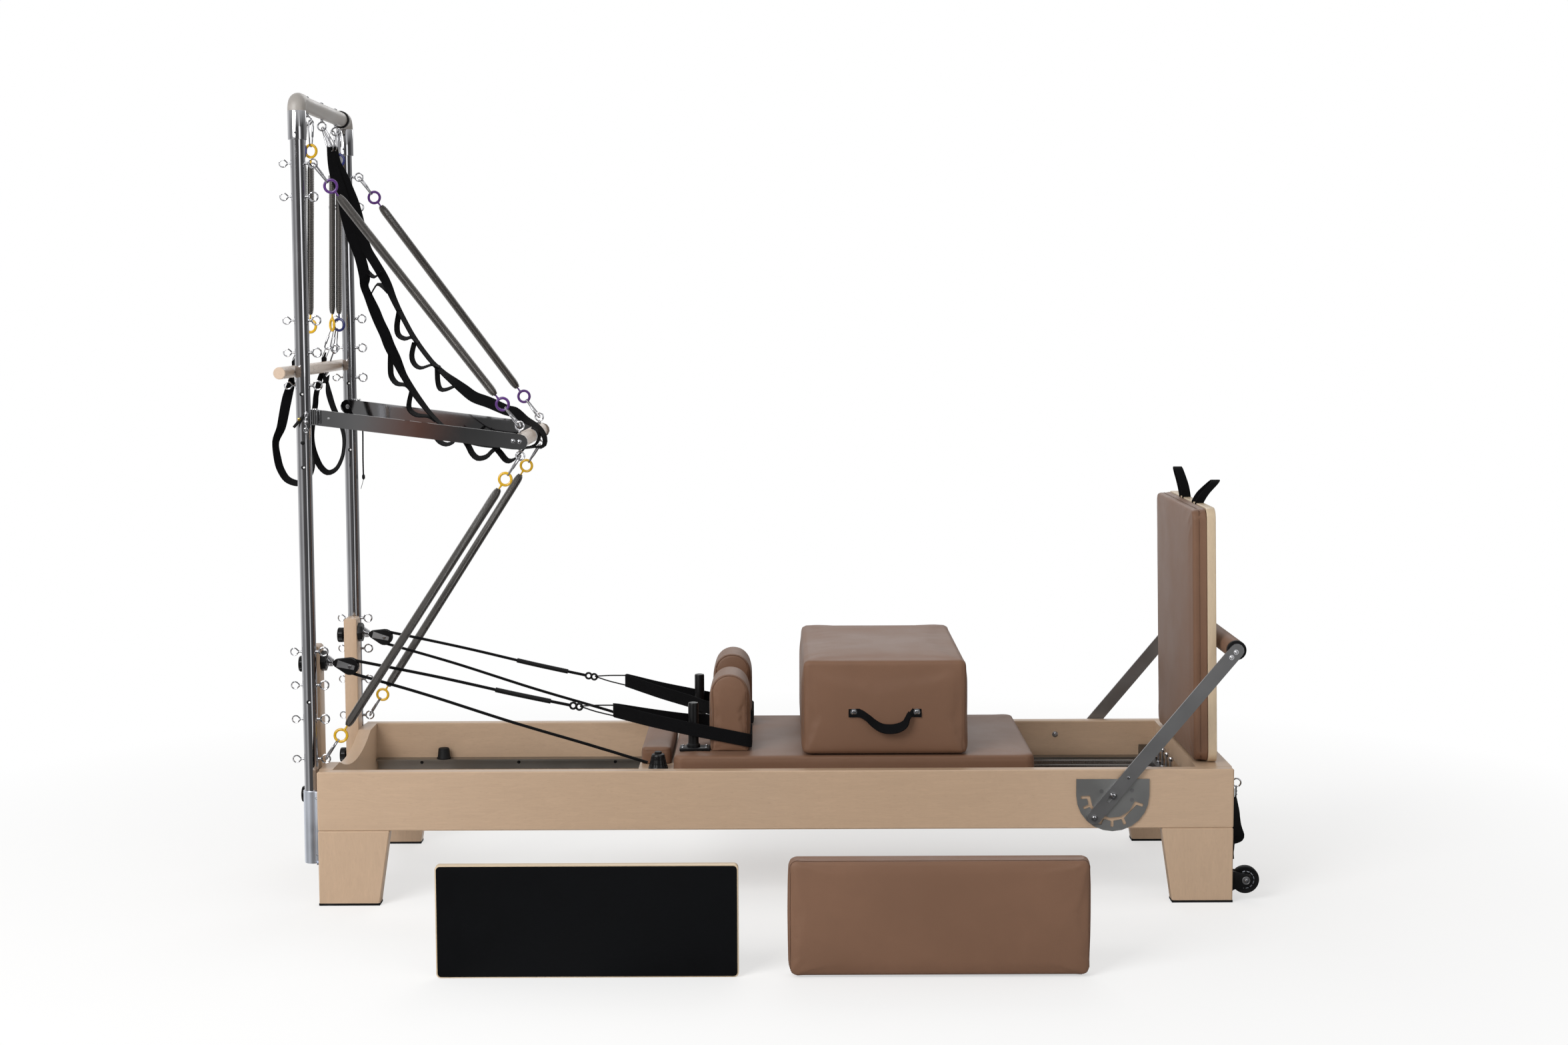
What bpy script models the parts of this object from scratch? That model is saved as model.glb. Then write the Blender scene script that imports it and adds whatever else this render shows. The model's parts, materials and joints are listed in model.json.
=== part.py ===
"""Pilates reformer with a tower, modelled as separate pieces in metres.

X runs along the machine: the tower stands at -X and the foot bar at +X.
Y runs across it, with the near side at -Y, and Z is up from the floor.
Every place below is measured from the middle of the rails on the floor. The
whole machine hangs on one empty, which moves it so that the box round the
machine and its two loose boards is centred on the world's origin.
"""

import math

import bmesh
import bpy
from mathutils import Matrix, Vector

# Clearance between pieces that touch, and between a pin and its hole
GAP = 0.0003
PIN_PLAY = 0.0003

# The machine's place in the world
MACHINE_X = 0.025
MACHINE_Y = 0.3025

# Frame: two rails, two end boards and four legs
RAIL_LENGTH = 2.400
FRAME_WIDTH = 0.750
RAIL_TOP = 0.3557
RAIL_HEIGHT = 0.1565
RAIL_THICK = 0.035
END_BOARD_THICK = 0.035
SHELF_DEPTH = 0.095
SHELF_THICK = 0.050
SCOOP_DEPTH = 0.040
SCOOP_HALF_WIDTH = 0.235
LEG_TOP_LENGTH = 0.188
LEG_FOOT_LENGTH = 0.158
LEG_THICK = 0.045
ROUND_OVER = 0.003

# Tracks inside the rails, with the rubber stops that end the carriage's run
TRACK_DROP = 0.1007
TRACK_HEIGHT = 0.034
TRACK_WIDTH = 0.036
TRACK_WALL = 0.004
TRACK_END_SPACE = 0.002
STOP_RUN = 0.743
STOP_FOOT_RADIUS = 0.019
STOP_TOP_RADIUS = 0.014
STOP_HEIGHT = 0.030

# Tower: two poles joined by a top bar
POLE_STAND_OFF = 0.0025
POLE_INSET = 0.046
POLE_RADIUS = 0.019
POLE_BOTTOM = 0.1125
POLE_TOP = 2.040
SLEEVE_RADIUS = 0.0235
SLEEVE_OVERLAP = 0.043
TOP_BAR_RISE = 0.053
TOP_BAR_RADIUS = 0.020
ELBOW_BEND = 0.048
ELBOW_OVERLAP = 0.012
HOLDER_WALL = 0.0095
HOLDER_WIDTH = 0.054
HOLDER_BOTTOM = 0.107
HOLDER_TOP = 0.300

# Eyebolts: a stem that ends in an open ring of wire
EYE_WIRE_RADIUS = 0.0017
EYE_RING_RADIUS = 0.0105
EYE_NECK = 0.0090
EYE_RING_POINTS = 5
HELD_EYE_RING_POINTS = 11
EYE_OPENING_DEG = 34.0
HIGH_EYE_DROPS = (0.105, 0.190, 0.507, 0.590, 0.675)
LOW_EYE_HEIGHTS = (0.668, 0.579, 0.489, 0.383)
TOP_EYE_SPACING = 0.195

# Push-through bar: two flat arms and a wooden handle, hung on the poles
PUSH_PIVOT_DROP = 0.757
PUSH_ARM_SPACE = 0.0175
PUSH_ARM_THICK = 0.005
PUSH_ARM_HEIGHT = 0.041
PUSH_ARM_REACH = 0.556
PUSH_ARM_SLOPE_DEG = -7.1
PUSH_ARM_TIP = 0.025
PUSH_HANDLE_RADIUS = 0.020
PUSH_EYE_INSET = 0.040
PIVOT_BOLT_RADIUS = 0.006
PIVOT_HEAD_RADIUS = 0.010
PIVOT_HEAD_THICK = 0.004

# Springs: a tube wound in a helix, straight at both ends
SPRING_RADIUS = 0.0110
SPRING_WIRE_RADIUS = 0.0035
SPRING_END_SHARE = 0.125
PUSH_SPRING_CURL_COUNT = 8
ROLL_SPRING_RADIUS = 0.0083
ROLL_SPRING_WIRE_RADIUS = 0.0028
ROLL_SPRING_SPACING = 0.0185
ROLL_SPRING_CURL_COUNT = 3
ROLL_SPRING_END = 0.105
ROLL_LINK_RADIUS = 0.004
CURL_POINTS = 8

# Roll-down bar, which leans on the outside of the poles, and its hand loops
ROLL_BAR_RADIUS = 0.0155
ROLL_BAR_LENGTH = 0.900
ROLL_BAR_DROP = 0.640
ROLL_EYE_Y = 0.200
HAND_LOOP_YS = (-0.255, 0.110)
HAND_LOOP_DROP = 0.295
HAND_LOOP_HALF_WIDTH = 0.062
HAND_LOOP_WEB = 0.026
WEB_THICK = 0.003
STRAP_WIDTH = 0.034
STRAP_HOOK_RADIUS = 0.004
STRAND_A = (
    (-1.200, 0.044), (-1.172, 0.153), (-1.146, 0.263), (-1.116, 0.416), (-1.089, 0.466),
    (-1.068, 0.527), (-1.047, 0.589), (-1.026, 0.639), (-0.994, 0.711), (-0.956, 0.756),
    (-0.906, 0.792), (-0.840, 0.808), (-0.760, 0.808),
)
STRAND_B = (
    (-1.190, 0.044), (-1.154, 0.110), (-1.107, 0.230), (-1.075, 0.319), (-1.055, 0.400),
    (-1.039, 0.455), (-1.012, 0.516), (-0.980, 0.572), (-0.926, 0.639), (-0.860, 0.689),
    (-0.793, 0.734), (-0.721, 0.757),
)

# Rope risers on the tower end, with their knobs and pulleys
RISER_INSET = 0.059
RISER_WIDTH = 0.060
RISER_DEPTH = 0.037
RISER_BOTTOM = 0.150
RISER_TOP = 0.678
KNOB_RADIUS = 0.020
KNOB_LENGTH = 0.020
KNOB_NECK_RADIUS = 0.011
KNOB_NECK_LENGTH = 0.0125
KNOB_HEIGHTS = (0.627, 0.277)
FLANGE_RADIUS = 0.0265
FLANGE_LENGTH = 0.013
STEM_BASE_RADIUS = 0.012
STEM_TIP_RADIUS = 0.007

PULLEY_REACH = 0.075
PULLEY_Z = 0.620
PULLEY_NOSE_LENGTH = 0.035
PULLEY_NOSE_RISE = 0.009
STEM_RISE = 0.006
PULLEY_NOSE_RADIUS = 0.010
CHEEK_RADIUS = 0.0225
CHEEK_THICK = 0.0022
BRIDGE_SPACE = 0.0045
SHEAVE_RADIUS = 0.0208
SHEAVE_GROOVE_RADIUS = 0.0124
SHEAVE_HALF_WIDTH = 0.0070
GROOVE_HALF_WIDTH_BOTTOM = 0.0032
GROOVE_HALF_WIDTH_TOP = 0.0056
SHEAVE_PIN_RADIUS = 0.0040
ROPE_RADIUS = 0.0040
ROPE_LAY_RADIUS = 0.0172
ROPE_TOP_RUN = ((-0.530, 0.020, 0.506), (-0.700, 0.015, 0.543), (-0.900, 0.008, 0.590))
ROPE_LOW_RUN = ((-0.930, 0.001, 0.5445), (-0.700, 0.0015, 0.4690), (-0.500, 0.002, 0.4085))

# Carriage: a board on wheels, with its mat, rests and posts
CARRIAGE_LEFT = -0.365
CARRIAGE_RIGHT = 0.685
CARRIAGE_SIDE_SPACE = 0.040
WHEEL_CLEARANCE = 0.005
PLATFORM_THICK = 0.040
MAT_LEFT = -0.275
MAT_RIGHT = 0.690
MAT_OVERHANG = 0.015
MAT_THICK = 0.045
MAT_CORNER = 0.030
PAD_CROWN = 0.006
PAD_TUCK = 0.003
WHEEL_RADIUS = 0.020
WHEEL_WIDTH = 0.014
WHEEL_INSET = 0.020
TOWER_WHEEL_INSET = 0.140
FOOT_WHEEL_INSET = 0.085
WHEEL_AXLE_RADIUS = 0.006
AXLE_BLOCK_INSET = 0.040
AXLE_BLOCK_SIZE = 0.030
SPRING_HOOK_INSET = 0.020
SPRING_HOOK_THICK = 0.020
SPRING_HOOK_DROP = 0.045
HEADREST_LENGTH = 0.085
HEADREST_HALF_WIDTH = 0.205
HEADREST_THICK = 0.048
HEADREST_CORNER = 0.022
HEADREST_SPACE = 0.003
REST_INSET = 0.101
REST_LENGTH = 0.104
REST_SIDE_INSET = 0.040
REST_WIDTH = 0.153
REST_HEIGHT = 0.209
REST_EDGE = 0.010
POST_SPACE = 0.045
POST_SIDE_INSET = 0.022
POST_RADIUS = 0.014
POST_HEIGHT = 0.129
POST_PLATE_LENGTH = 0.082
POST_PLATE_WIDTH = 0.050
POST_PLATE_THICK = 0.009
CLEAT_INSET = 0.053
CLEAT_SIDE_INSET = 0.028
CLEAT_RADIUS = 0.024
CLEAT_TOP_RADIUS = 0.013
CLEAT_HEIGHT = 0.040

# Springs under the carriage, and the bar that they hook on to
SPRING_BAR_INSET = 0.125
SPRING_BAR_WIDTH = 0.032
SPRING_BAR_HEIGHT = 0.030
SPRING_PEG_COUNT = 5
SPRING_PEG_PITCH = 0.067
SPRING_PEG_RADIUS = 0.0045
SPRING_PEG_HEIGHT = 0.050
CARRIAGE_SPRING_CURL_COUNT = 2
CARRIAGE_SPRING_RADIUS = 0.012
CARRIAGE_SPRING_END = 0.030
CARRIAGE_LINK_RADIUS = 0.004

# Sitting box on the mat, with its webbing handle
BOX_LEFT = 0.070
BOX_RIGHT = 0.508
BOX_NEAR = -0.315
BOX_FAR = 0.385
BOX_HEIGHT = 0.254
BOX_CORNER = 0.020
BOX_CROWN = 0.003
BOX_TUCK = 0.002
BOX_HANDLE_TAB_SHARE = 0.16
BOX_HANDLE_LEFT = 0.193
BOX_HANDLE_RIGHT = 0.385
BOX_HANDLE_DROP = 0.140
BOX_HANDLE_SAG = 0.043
BOX_HANDLE_STAND_OFF = 0.016
BOX_HANDLE_WEB = 0.026

# Jump board, which stands on the shelf at the foot end
JUMP_PAD_INSET = 0.004
JUMP_PAD_THICK = 0.0305
JUMP_PANEL_THICK = 0.018
JUMP_CORNER = 0.030
JUMP_CROWN = 0.004
JUMP_HEIGHT = 0.666
JUMP_LOOP_SEAT = 0.010
JUMP_LOOP_YS = (-0.115, 0.085)
JUMP_LOOP_HEIGHT = 0.075
JUMP_LOOP_SPAN = 0.052

# Foot bar: gear plates on the rails, flat arms and a padded roller
FOOT_PIVOT_INSET = 0.318
FOOT_PIVOT_DROP = 0.0677
FOOT_ARM_REACH = 0.497
FOOT_ARM_ANGLE_DEG = 50.1
FOOT_ARM_WIDTH = 0.037
FOOT_ARM_THICK = 0.006
FOOT_PIN_RADIUS_FROM_PIVOT = 0.076
FOOT_SLOT_LENGTH = 0.018
FOOT_BOLT_RADIUS = 0.005
FOOT_ROLLER_RADIUS = 0.025
GEAR_PLATE_WIDTH = 0.191
GEAR_PLATE_RADIUS = 0.0955
GEAR_PLATE_DROP = 0.0247
GEAR_PLATE_THICK = 0.004
GEAR_NOTCH_ANGLES_DEG = (184.0, 204.0, 231.0, 246.5, 269.0, 293.0, 341.0)
GEAR_NOTCH_WIDTH = 0.0080
GEAR_SLOT_INNER = 0.060
GEAR_SLOT_OUTER = 0.068
GEAR_NOTCH_OUTER = 0.084

# Transport wheels on the two legs at the foot end
TRANSPORT_SPACE = 0.001
TRANSPORT_Z = 0.055
TRANSPORT_RADIUS = 0.0365
TRANSPORT_WIDTH = 0.022
TRANSPORT_INSET = 0.030
TRANSPORT_PIN_RADIUS = 0.005
TRANSPORT_SHOULDER = 0.006
TRANSPORT_FORK_WIDTH = 0.006
TRANSPORT_FORK_HEIGHT = 0.030

# Loose boards that stand on their long edges in front of the machine
STANDING_LEFT = -0.795
STANDING_LENGTH = 0.709
STANDING_HEIGHT = 0.269
STANDING_FRONT = -1.040
STANDING_THICK = 0.021
PADDED_LEFT = 0.029
PADDED_LENGTH = 0.711
PADDED_HEIGHT = 0.283
PADDED_FRONT = -1.055
PADDED_THICK = 0.048
PADDED_CORNER = 0.025
PADDED_CROWN = 0.004

# Shared values worked out from the sizes above
HALF_LENGTH = RAIL_LENGTH / 2
HALF_WIDTH = FRAME_WIDTH / 2
RAIL_BOTTOM = RAIL_TOP - RAIL_HEIGHT
INNER_HALF_WIDTH = HALF_WIDTH - RAIL_THICK
POLE_Y = HALF_WIDTH - POLE_INSET
RISER_Y = POLE_Y - RISER_INSET
TRANSPORT_Y = HALF_WIDTH - TRANSPORT_INSET
CARRIAGE_HALF_WIDTH = INNER_HALF_WIDTH - CARRIAGE_SIDE_SPACE
MAT_HALF_WIDTH = CARRIAGE_HALF_WIDTH + MAT_OVERHANG
AXLE_BLOCK_Y = CARRIAGE_HALF_WIDTH - AXLE_BLOCK_INSET
CLEAT_Y = CARRIAGE_HALF_WIDTH - CLEAT_SIDE_INSET
REST_OUTER_Y = CARRIAGE_HALF_WIDTH - REST_SIDE_INSET
REST_INNER_Y = REST_OUTER_Y - REST_WIDTH
POST_Y = REST_OUTER_Y - POST_SIDE_INSET
TRACK_TOP = RAIL_TOP - TRACK_DROP
WHEEL_Y = INNER_HALF_WIDTH - WHEEL_INSET
WHEEL_Z = TRACK_TOP + GAP + WHEEL_RADIUS
WHEEL_XS = (CARRIAGE_LEFT + TOWER_WHEEL_INSET, CARRIAGE_RIGHT - FOOT_WHEEL_INSET)
STOP_X = WHEEL_XS[0] - STOP_RUN
PLATFORM_BOTTOM = WHEEL_Z + WHEEL_RADIUS + WHEEL_CLEARANCE
PLATFORM_TOP = PLATFORM_BOTTOM + PLATFORM_THICK
SPRING_HOOK_X = CARRIAGE_RIGHT - SPRING_HOOK_INSET
CLEAT_X = CARRIAGE_LEFT + CLEAT_INSET
MAT_BOTTOM = PLATFORM_TOP + GAP
MAT_TOP = MAT_BOTTOM + MAT_THICK
SEAT = MAT_TOP + GAP
REST_LEFT = MAT_LEFT + REST_INSET
REST_RIGHT = REST_LEFT + REST_LENGTH
REST_TOP = SEAT + REST_HEIGHT
POST_X = REST_LEFT - POST_SPACE
POLE_X = -(HALF_LENGTH + POLE_STAND_OFF + POLE_RADIUS)
TOP_BAR_Z = POLE_TOP + TOP_BAR_RISE
SLEEVE_BOTTOM = POLE_TOP - SLEEVE_OVERLAP
POLE_BORE_RADIUS = POLE_RADIUS + 2 * GAP
POLE_EYE_HEIGHTS = tuple(POLE_TOP - drop for drop in HIGH_EYE_DROPS) + LOW_EYE_HEIGHTS
PUSH_PIVOT_Z = POLE_TOP - PUSH_PIVOT_DROP
ROLL_BAR_Z = POLE_TOP - ROLL_BAR_DROP
PULLEY_X = -HALF_LENGTH + PULLEY_REACH
PULLEY_NOSE_X = PULLEY_X - PULLEY_NOSE_LENGTH
PULLEY_NOSE_Z = PULLEY_Z + PULLEY_NOSE_RISE
PUSH_ARM_Y = POLE_Y - POLE_RADIUS - PUSH_ARM_SPACE - PUSH_ARM_THICK / 2
PUSH_EYE_Y = PUSH_ARM_Y - PUSH_EYE_INSET
EYE_REACH = EYE_NECK + EYE_RING_RADIUS
EYE_OUTER = EYE_RING_RADIUS + EYE_WIRE_RADIUS
PUSH_SLOPE = math.radians(PUSH_ARM_SLOPE_DEG)
PUSH_HANDLE_X = POLE_X + PUSH_ARM_REACH * math.cos(PUSH_SLOPE)
PUSH_HANDLE_Z = PUSH_PIVOT_Z + PUSH_ARM_REACH * math.sin(PUSH_SLOPE)
ROLL_BAR_X = POLE_X - POLE_RADIUS - ROLL_BAR_RADIUS - GAP
FOOT_ANGLE = math.radians(FOOT_ARM_ANGLE_DEG)
FOOT_PIVOT_X = HALF_LENGTH - FOOT_PIVOT_INSET
FOOT_PIVOT_Z = RAIL_TOP - FOOT_PIVOT_DROP
GEAR_PLATE_TOP = RAIL_TOP - GEAR_PLATE_DROP
FOOT_ARM_INNER = HALF_WIDTH + GAP + GEAR_PLATE_THICK + GAP
ROLLER_X = FOOT_PIVOT_X + FOOT_ARM_REACH * math.cos(FOOT_ANGLE)
ROLLER_Z = FOOT_PIVOT_Z + FOOT_ARM_REACH * math.sin(FOOT_ANGLE)
SPRING_BAR_X = HALF_LENGTH - SPRING_BAR_INSET
SPRING_BAR_BOTTOM = TRACK_TOP + GAP
JUMP_PAD_LEFT = HALF_LENGTH - SHELF_DEPTH + JUMP_PAD_INSET
JUMP_BOTTOM = RAIL_TOP + GAP
JUMP_TOP = JUMP_BOTTOM + JUMP_HEIGHT
TRANSPORT_X = HALF_LENGTH + TRANSPORT_SPACE + TRANSPORT_RADIUS
SIDES = {"near": -1, "far": 1}

PARTS = bpy.data.collections.new("pilates_reformer")
CUTTERS = bpy.data.collections.new("cutters")
FINISHES = {
    "maple": ((0.56, 0.40, 0.27), 0.45, 0.0),
    "tan_leather": ((0.21, 0.115, 0.065), 0.50, 0.0),
    "chrome": ((0.75, 0.75, 0.76), 0.12, 1.0),
    "grey_steel": ((0.23, 0.23, 0.22), 0.45, 1.0),
    "aluminium": ((0.62, 0.63, 0.64), 0.35, 1.0),
    "pale_paint": ((0.58, 0.56, 0.53), 0.40, 0.0),
    "black_rubber": ((0.020, 0.020, 0.021), 0.65, 0.0),
    "black_webbing": ((0.012, 0.012, 0.013), 0.85, 0.0),
    "spring_steel": ((0.42, 0.41, 0.39), 0.30, 1.0),
}


def clear_scene():
    """Remove every object that the scene starts with."""
    for obj in list(bpy.data.objects):
        bpy.data.objects.remove(obj, do_unlink=True)
    for group in (PARTS, CUTTERS):
        bpy.context.scene.collection.children.link(group)


def finish(name):
    """Return the named material, made on its first use."""
    if name in bpy.data.materials:
        return bpy.data.materials[name]
    colour, roughness, metallic = FINISHES[name]
    material = bpy.data.materials.new(name)
    material.use_nodes = True
    shader = material.node_tree.nodes["Principled BSDF"]
    shader.inputs["Base Color"].default_value = (*colour, 1.0)
    shader.inputs["Roughness"].default_value = roughness
    shader.inputs["Metallic"].default_value = metallic
    return material


def put_in(obj, group):
    """Move an object to one collection."""
    for old in list(obj.users_collection):
        old.objects.unlink(obj)
    group.objects.link(obj)


class Machine:
    """The empties that the pieces hang on, each at its own place."""

    def __init__(self):
        self.places = {}

    def add(self, name, place, parent="machine"):
        """Add an empty, such as a joint's axis, at a place on the machine."""
        empty = bpy.data.objects.new(name, None)
        PARTS.objects.link(empty)
        empty.location = place
        self.places[name] = (empty, Vector(place))
        if parent:
            self.hang(empty, parent)

    def hang(self, obj, parent):
        """Parent an object to an empty and leave it where it is."""
        holder, place = self.places[parent]
        obj.parent = holder
        obj.matrix_parent_inverse = Matrix.Translation(place).inverted()

    def settle(self):
        """Move the whole machine to its place in the world."""
        self.places["machine"][0].location = (MACHINE_X, MACHINE_Y, 0.0)


MACHINE = Machine()


def part(obj, name, material, parent="machine", smooth=False):
    """Name an object as one of the machine's pieces and dress it."""
    obj.name = name
    put_in(obj, PARTS)
    obj.data.materials.clear()
    obj.data.materials.append(finish(material))
    if smooth and obj.type == "MESH":
        obj.data.shade_smooth()
        obj.data.set_sharp_from_angle(angle=math.radians(40))
    MACHINE.hang(obj, parent)
    return obj


def cutter(obj):
    """Hide an object that only shapes another one."""
    put_in(obj, CUTTERS)
    obj.hide_render = True
    obj.display_type = "WIRE"
    MACHINE.hang(obj, "machine")
    return obj


def boolean(obj, tool, operation):
    """Cut a tool from a piece, or join it to the piece."""
    if tool.name not in CUTTERS.objects:
        cutter(tool)
    modifier = obj.modifiers.new(f"{operation.lower()}_{tool.name}", "BOOLEAN")
    modifier.operation = operation
    modifier.solver = "EXACT"
    modifier.object = tool
    return obj


def cut(obj, tool):
    """Cut one hidden object from a piece."""
    return boolean(obj, tool, "DIFFERENCE")


def fuse(obj, *tools):
    """Join hidden objects to a piece, so that they are one solid."""
    for tool in tools:
        boolean(obj, tool, "UNION")
    return obj


def round_edges(obj, width, segments=1, angle_deg=40):
    """Round an object's sharp edges."""
    modifier = obj.modifiers.new("round_edges", "BEVEL")
    modifier.width = width
    modifier.segments = segments
    modifier.limit_method = "ANGLE"
    modifier.angle_limit = math.radians(angle_deg)
    return obj


def block(low, high):
    """Make a box between two corners."""
    low, high = Vector(low), Vector(high)
    bpy.ops.mesh.primitive_cube_add(size=1.0, location=(low + high) / 2)
    obj = bpy.context.object
    obj.data.transform(Matrix.Diagonal((*(high - low), 1.0)))
    return obj


def mirrored_block(side, low, high):
    """Make a box given for the far side, on the side asked for."""
    ys = sorted((side * low[1], side * high[1]))
    return block((low[0], ys[0], low[2]), (high[0], ys[1], high[2]))


def rod(start, end, radius, end_radius=None, sides=24):
    """Make a cylinder, or a cone with a flat top, between two points."""
    start, end = Vector(start), Vector(end)
    bpy.ops.mesh.primitive_cone_add(
        vertices=sides,
        radius1=radius,
        radius2=radius if end_radius is None else end_radius,
        depth=(end - start).length,
        location=(start + end) / 2,
        rotation=(end - start).to_track_quat("Z", "Y").to_euler(),
    )
    return bpy.context.object


def as_mesh(obj):
    """Turn a curve object into a mesh object with welded caps."""
    bpy.context.view_layer.update()
    evaluated = obj.evaluated_get(bpy.context.evaluated_depsgraph_get())
    mesh = bpy.data.meshes.new_from_object(evaluated)
    shape = bmesh.new()
    shape.from_mesh(mesh)
    bmesh.ops.remove_doubles(shape, verts=shape.verts, dist=1e-6)
    shape.to_mesh(mesh)
    shape.free()
    solid = bpy.data.objects.new(obj.name, mesh)
    bpy.context.scene.collection.objects.link(solid)
    solid.matrix_world = obj.matrix_world
    bpy.data.objects.remove(obj, do_unlink=True)
    return solid


def tube(points, radius, resolution=2):
    """Make a round tube along a list of points, with flat caps."""
    data = bpy.data.curves.new("tube", "CURVE")
    data.dimensions = "3D"
    data.bevel_depth = radius
    data.bevel_resolution = resolution
    data.use_fill_caps = True
    spline = data.splines.new("POLY")
    spline.points.add(len(points) - 1)
    for point, place in zip(spline.points, points):
        point.co = (*place, 1.0)
    obj = bpy.data.objects.new("tube", data)
    bpy.context.scene.collection.objects.link(obj)
    return as_mesh(obj)


def plate(outline, thickness, y_middle):
    """Make a flat plate from an outline in X and Z, standing across Y."""
    data = bpy.data.curves.new("plate", "CURVE")
    data.dimensions = "2D"
    data.fill_mode = "BOTH"
    data.extrude = thickness / 2
    spline = data.splines.new("POLY")
    spline.points.add(len(outline) - 1)
    for point, (x, z) in zip(spline.points, outline):
        point.co = (x, z, 0.0, 1.0)
    spline.use_cyclic_u = True
    obj = bpy.data.objects.new("plate", data)
    bpy.context.scene.collection.objects.link(obj)
    obj.rotation_euler = (math.pi / 2, 0.0, 0.0)
    obj.location = (0.0, y_middle, 0.0)
    return as_mesh(obj)


def turned(profile, centre, axis="Y", steps=24):
    """Turn a closed outline of (radius, along) points about an axis."""
    mesh = bpy.data.meshes.new("turned")
    points = [(radius, 0.0, along) for radius, along in profile]
    count = len(points)
    edges = [(i, (i + 1) % count) for i in range(count)]
    mesh.from_pydata(points, edges, [])
    obj = bpy.data.objects.new("turned", mesh)
    bpy.context.scene.collection.objects.link(obj)
    screw = obj.modifiers.new("turn", "SCREW")
    screw.steps = steps
    screw.render_steps = steps
    screw.use_merge_vertices = True
    screw.merge_threshold = 0.00001
    screw.use_normal_calculate = True
    if axis == "Y":
        obj.rotation_euler = (-math.pi / 2, 0.0, 0.0)
    obj.location = centre
    return obj


def strip(points, width, thickness, closed=False):
    """Make a band of webbing along points, as wide as the vector given."""
    half = Vector(width) / 2
    shape = bmesh.new()
    rows = []
    for place in points:
        low = shape.verts.new(Vector(place) - half)
        high = shape.verts.new(Vector(place) + half)
        rows.append((low, high))
    pairs = list(zip(rows, rows[1:]))
    if closed:
        pairs.append((rows[-1], rows[0]))
    for first, second in pairs:
        shape.faces.new((first[0], second[0], second[1], first[1]))
    mesh = bpy.data.meshes.new("strip")
    shape.to_mesh(mesh)
    shape.free()
    obj = bpy.data.objects.new("strip", mesh)
    bpy.context.scene.collection.objects.link(obj)
    solid = obj.modifiers.new("thickness", "SOLIDIFY")
    solid.thickness = thickness
    solid.offset = 0.0
    solid.use_even_offset = True
    return obj


def arc(centre, radius, start_deg, end_deg, steps):
    """Return points along an arc in a plane, both ends with them."""
    points = []
    for i in range(steps + 1):
        angle = math.radians(start_deg + (end_deg - start_deg) * i / steps)
        points.append((centre[0] + radius * math.cos(angle), centre[1] + radius * math.sin(angle)))
    return points


def capsule(start, end, radius, steps=6):
    """Return the outline of a bar with round ends."""
    heading = math.degrees(math.atan2(end[1] - start[1], end[0] - start[0]))
    return arc(end, radius, heading - 90, heading + 90, steps) + arc(
        start, radius, heading + 90, heading + 270, steps
    )


def eyebolt(root, direction, across, ring_points=HELD_EYE_RING_POINTS):
    """Make an eyebolt: a stem from root, and a ring in the plane it shares with across.

    The ring's middle lies EYE_REACH beyond the surface that root names.
    """
    root, direction, across = Vector(root), Vector(direction).normalized(), Vector(across)
    centre = root + direction * EYE_REACH
    points = [root - direction * EYE_NECK / 2]
    turn = 360.0 - EYE_OPENING_DEG
    for i in range(ring_points):
        angle = math.radians(180.0 - turn * i / (ring_points - 1))
        offset = direction * math.cos(angle) + across * math.sin(angle)
        points.append(centre + offset * EYE_RING_RADIUS)
    return tube(points, EYE_WIRE_RADIUS, resolution=0)


def eye_centre(root, direction):
    """Return the middle of the ring of an eyebolt."""
    return Vector(root) + Vector(direction).normalized() * EYE_REACH


def spring_path(start, end, radius, wire, curls, end_length):
    """Return points of a spring: straight ends along the axis, a helix between."""
    start, end = Vector(start), Vector(end)
    axis = end - start
    length = axis.length
    along = axis.normalized()
    side = along.cross(Vector((0.0, 1.0, 0.0)))
    if side.length < 0.1:
        side = along.cross(Vector((1.0, 0.0, 0.0)))
    side.normalize()
    other = along.cross(side)
    mean = radius - wire
    coil = length - 2 * end_length
    lead = 2 * wire
    points = [start, start + along * (end_length - lead)]
    total = curls * CURL_POINTS
    for i in range(total + 1):
        angle = 2 * math.pi * i / CURL_POINTS
        offset = side * math.cos(angle) + other * math.sin(angle)
        points.append(start + along * (end_length + coil * i / total) + offset * mean)
    points += [end - along * (end_length - lead), end]
    return points


def least_self_gap(points, wire, curl_points=CURL_POINTS):
    """Return the least clear distance between stretches of one tube that pass each other."""
    apart = curl_points // 2 + 1
    least = math.inf
    for i in range(len(points) - 1):
        for j in range(i + apart, len(points) - 1):
            for share in (0.0, 0.5):
                place = Vector(points[i]).lerp(Vector(points[i + 1]), share)
                first, second = Vector(points[j]), Vector(points[j + 1])
                line = second - first
                t = max(0.0, min(1.0, (place - first).dot(line) / line.length_squared))
                least = min(least, (place - first - line * t).length - 2 * wire)
    return least


def spring(name, start, end, radius, wire, curls, end_length):
    """Make a spring as one unbroken tube, and print its least gap to itself."""
    points = spring_path(start, end, radius, wire, curls, end_length)
    gap = least_self_gap(points, wire)
    print(f"{name}: {curls} curls, least gap to itself {gap * 1000:.2f} mm")
    return tube(points, wire, resolution=1)


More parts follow.
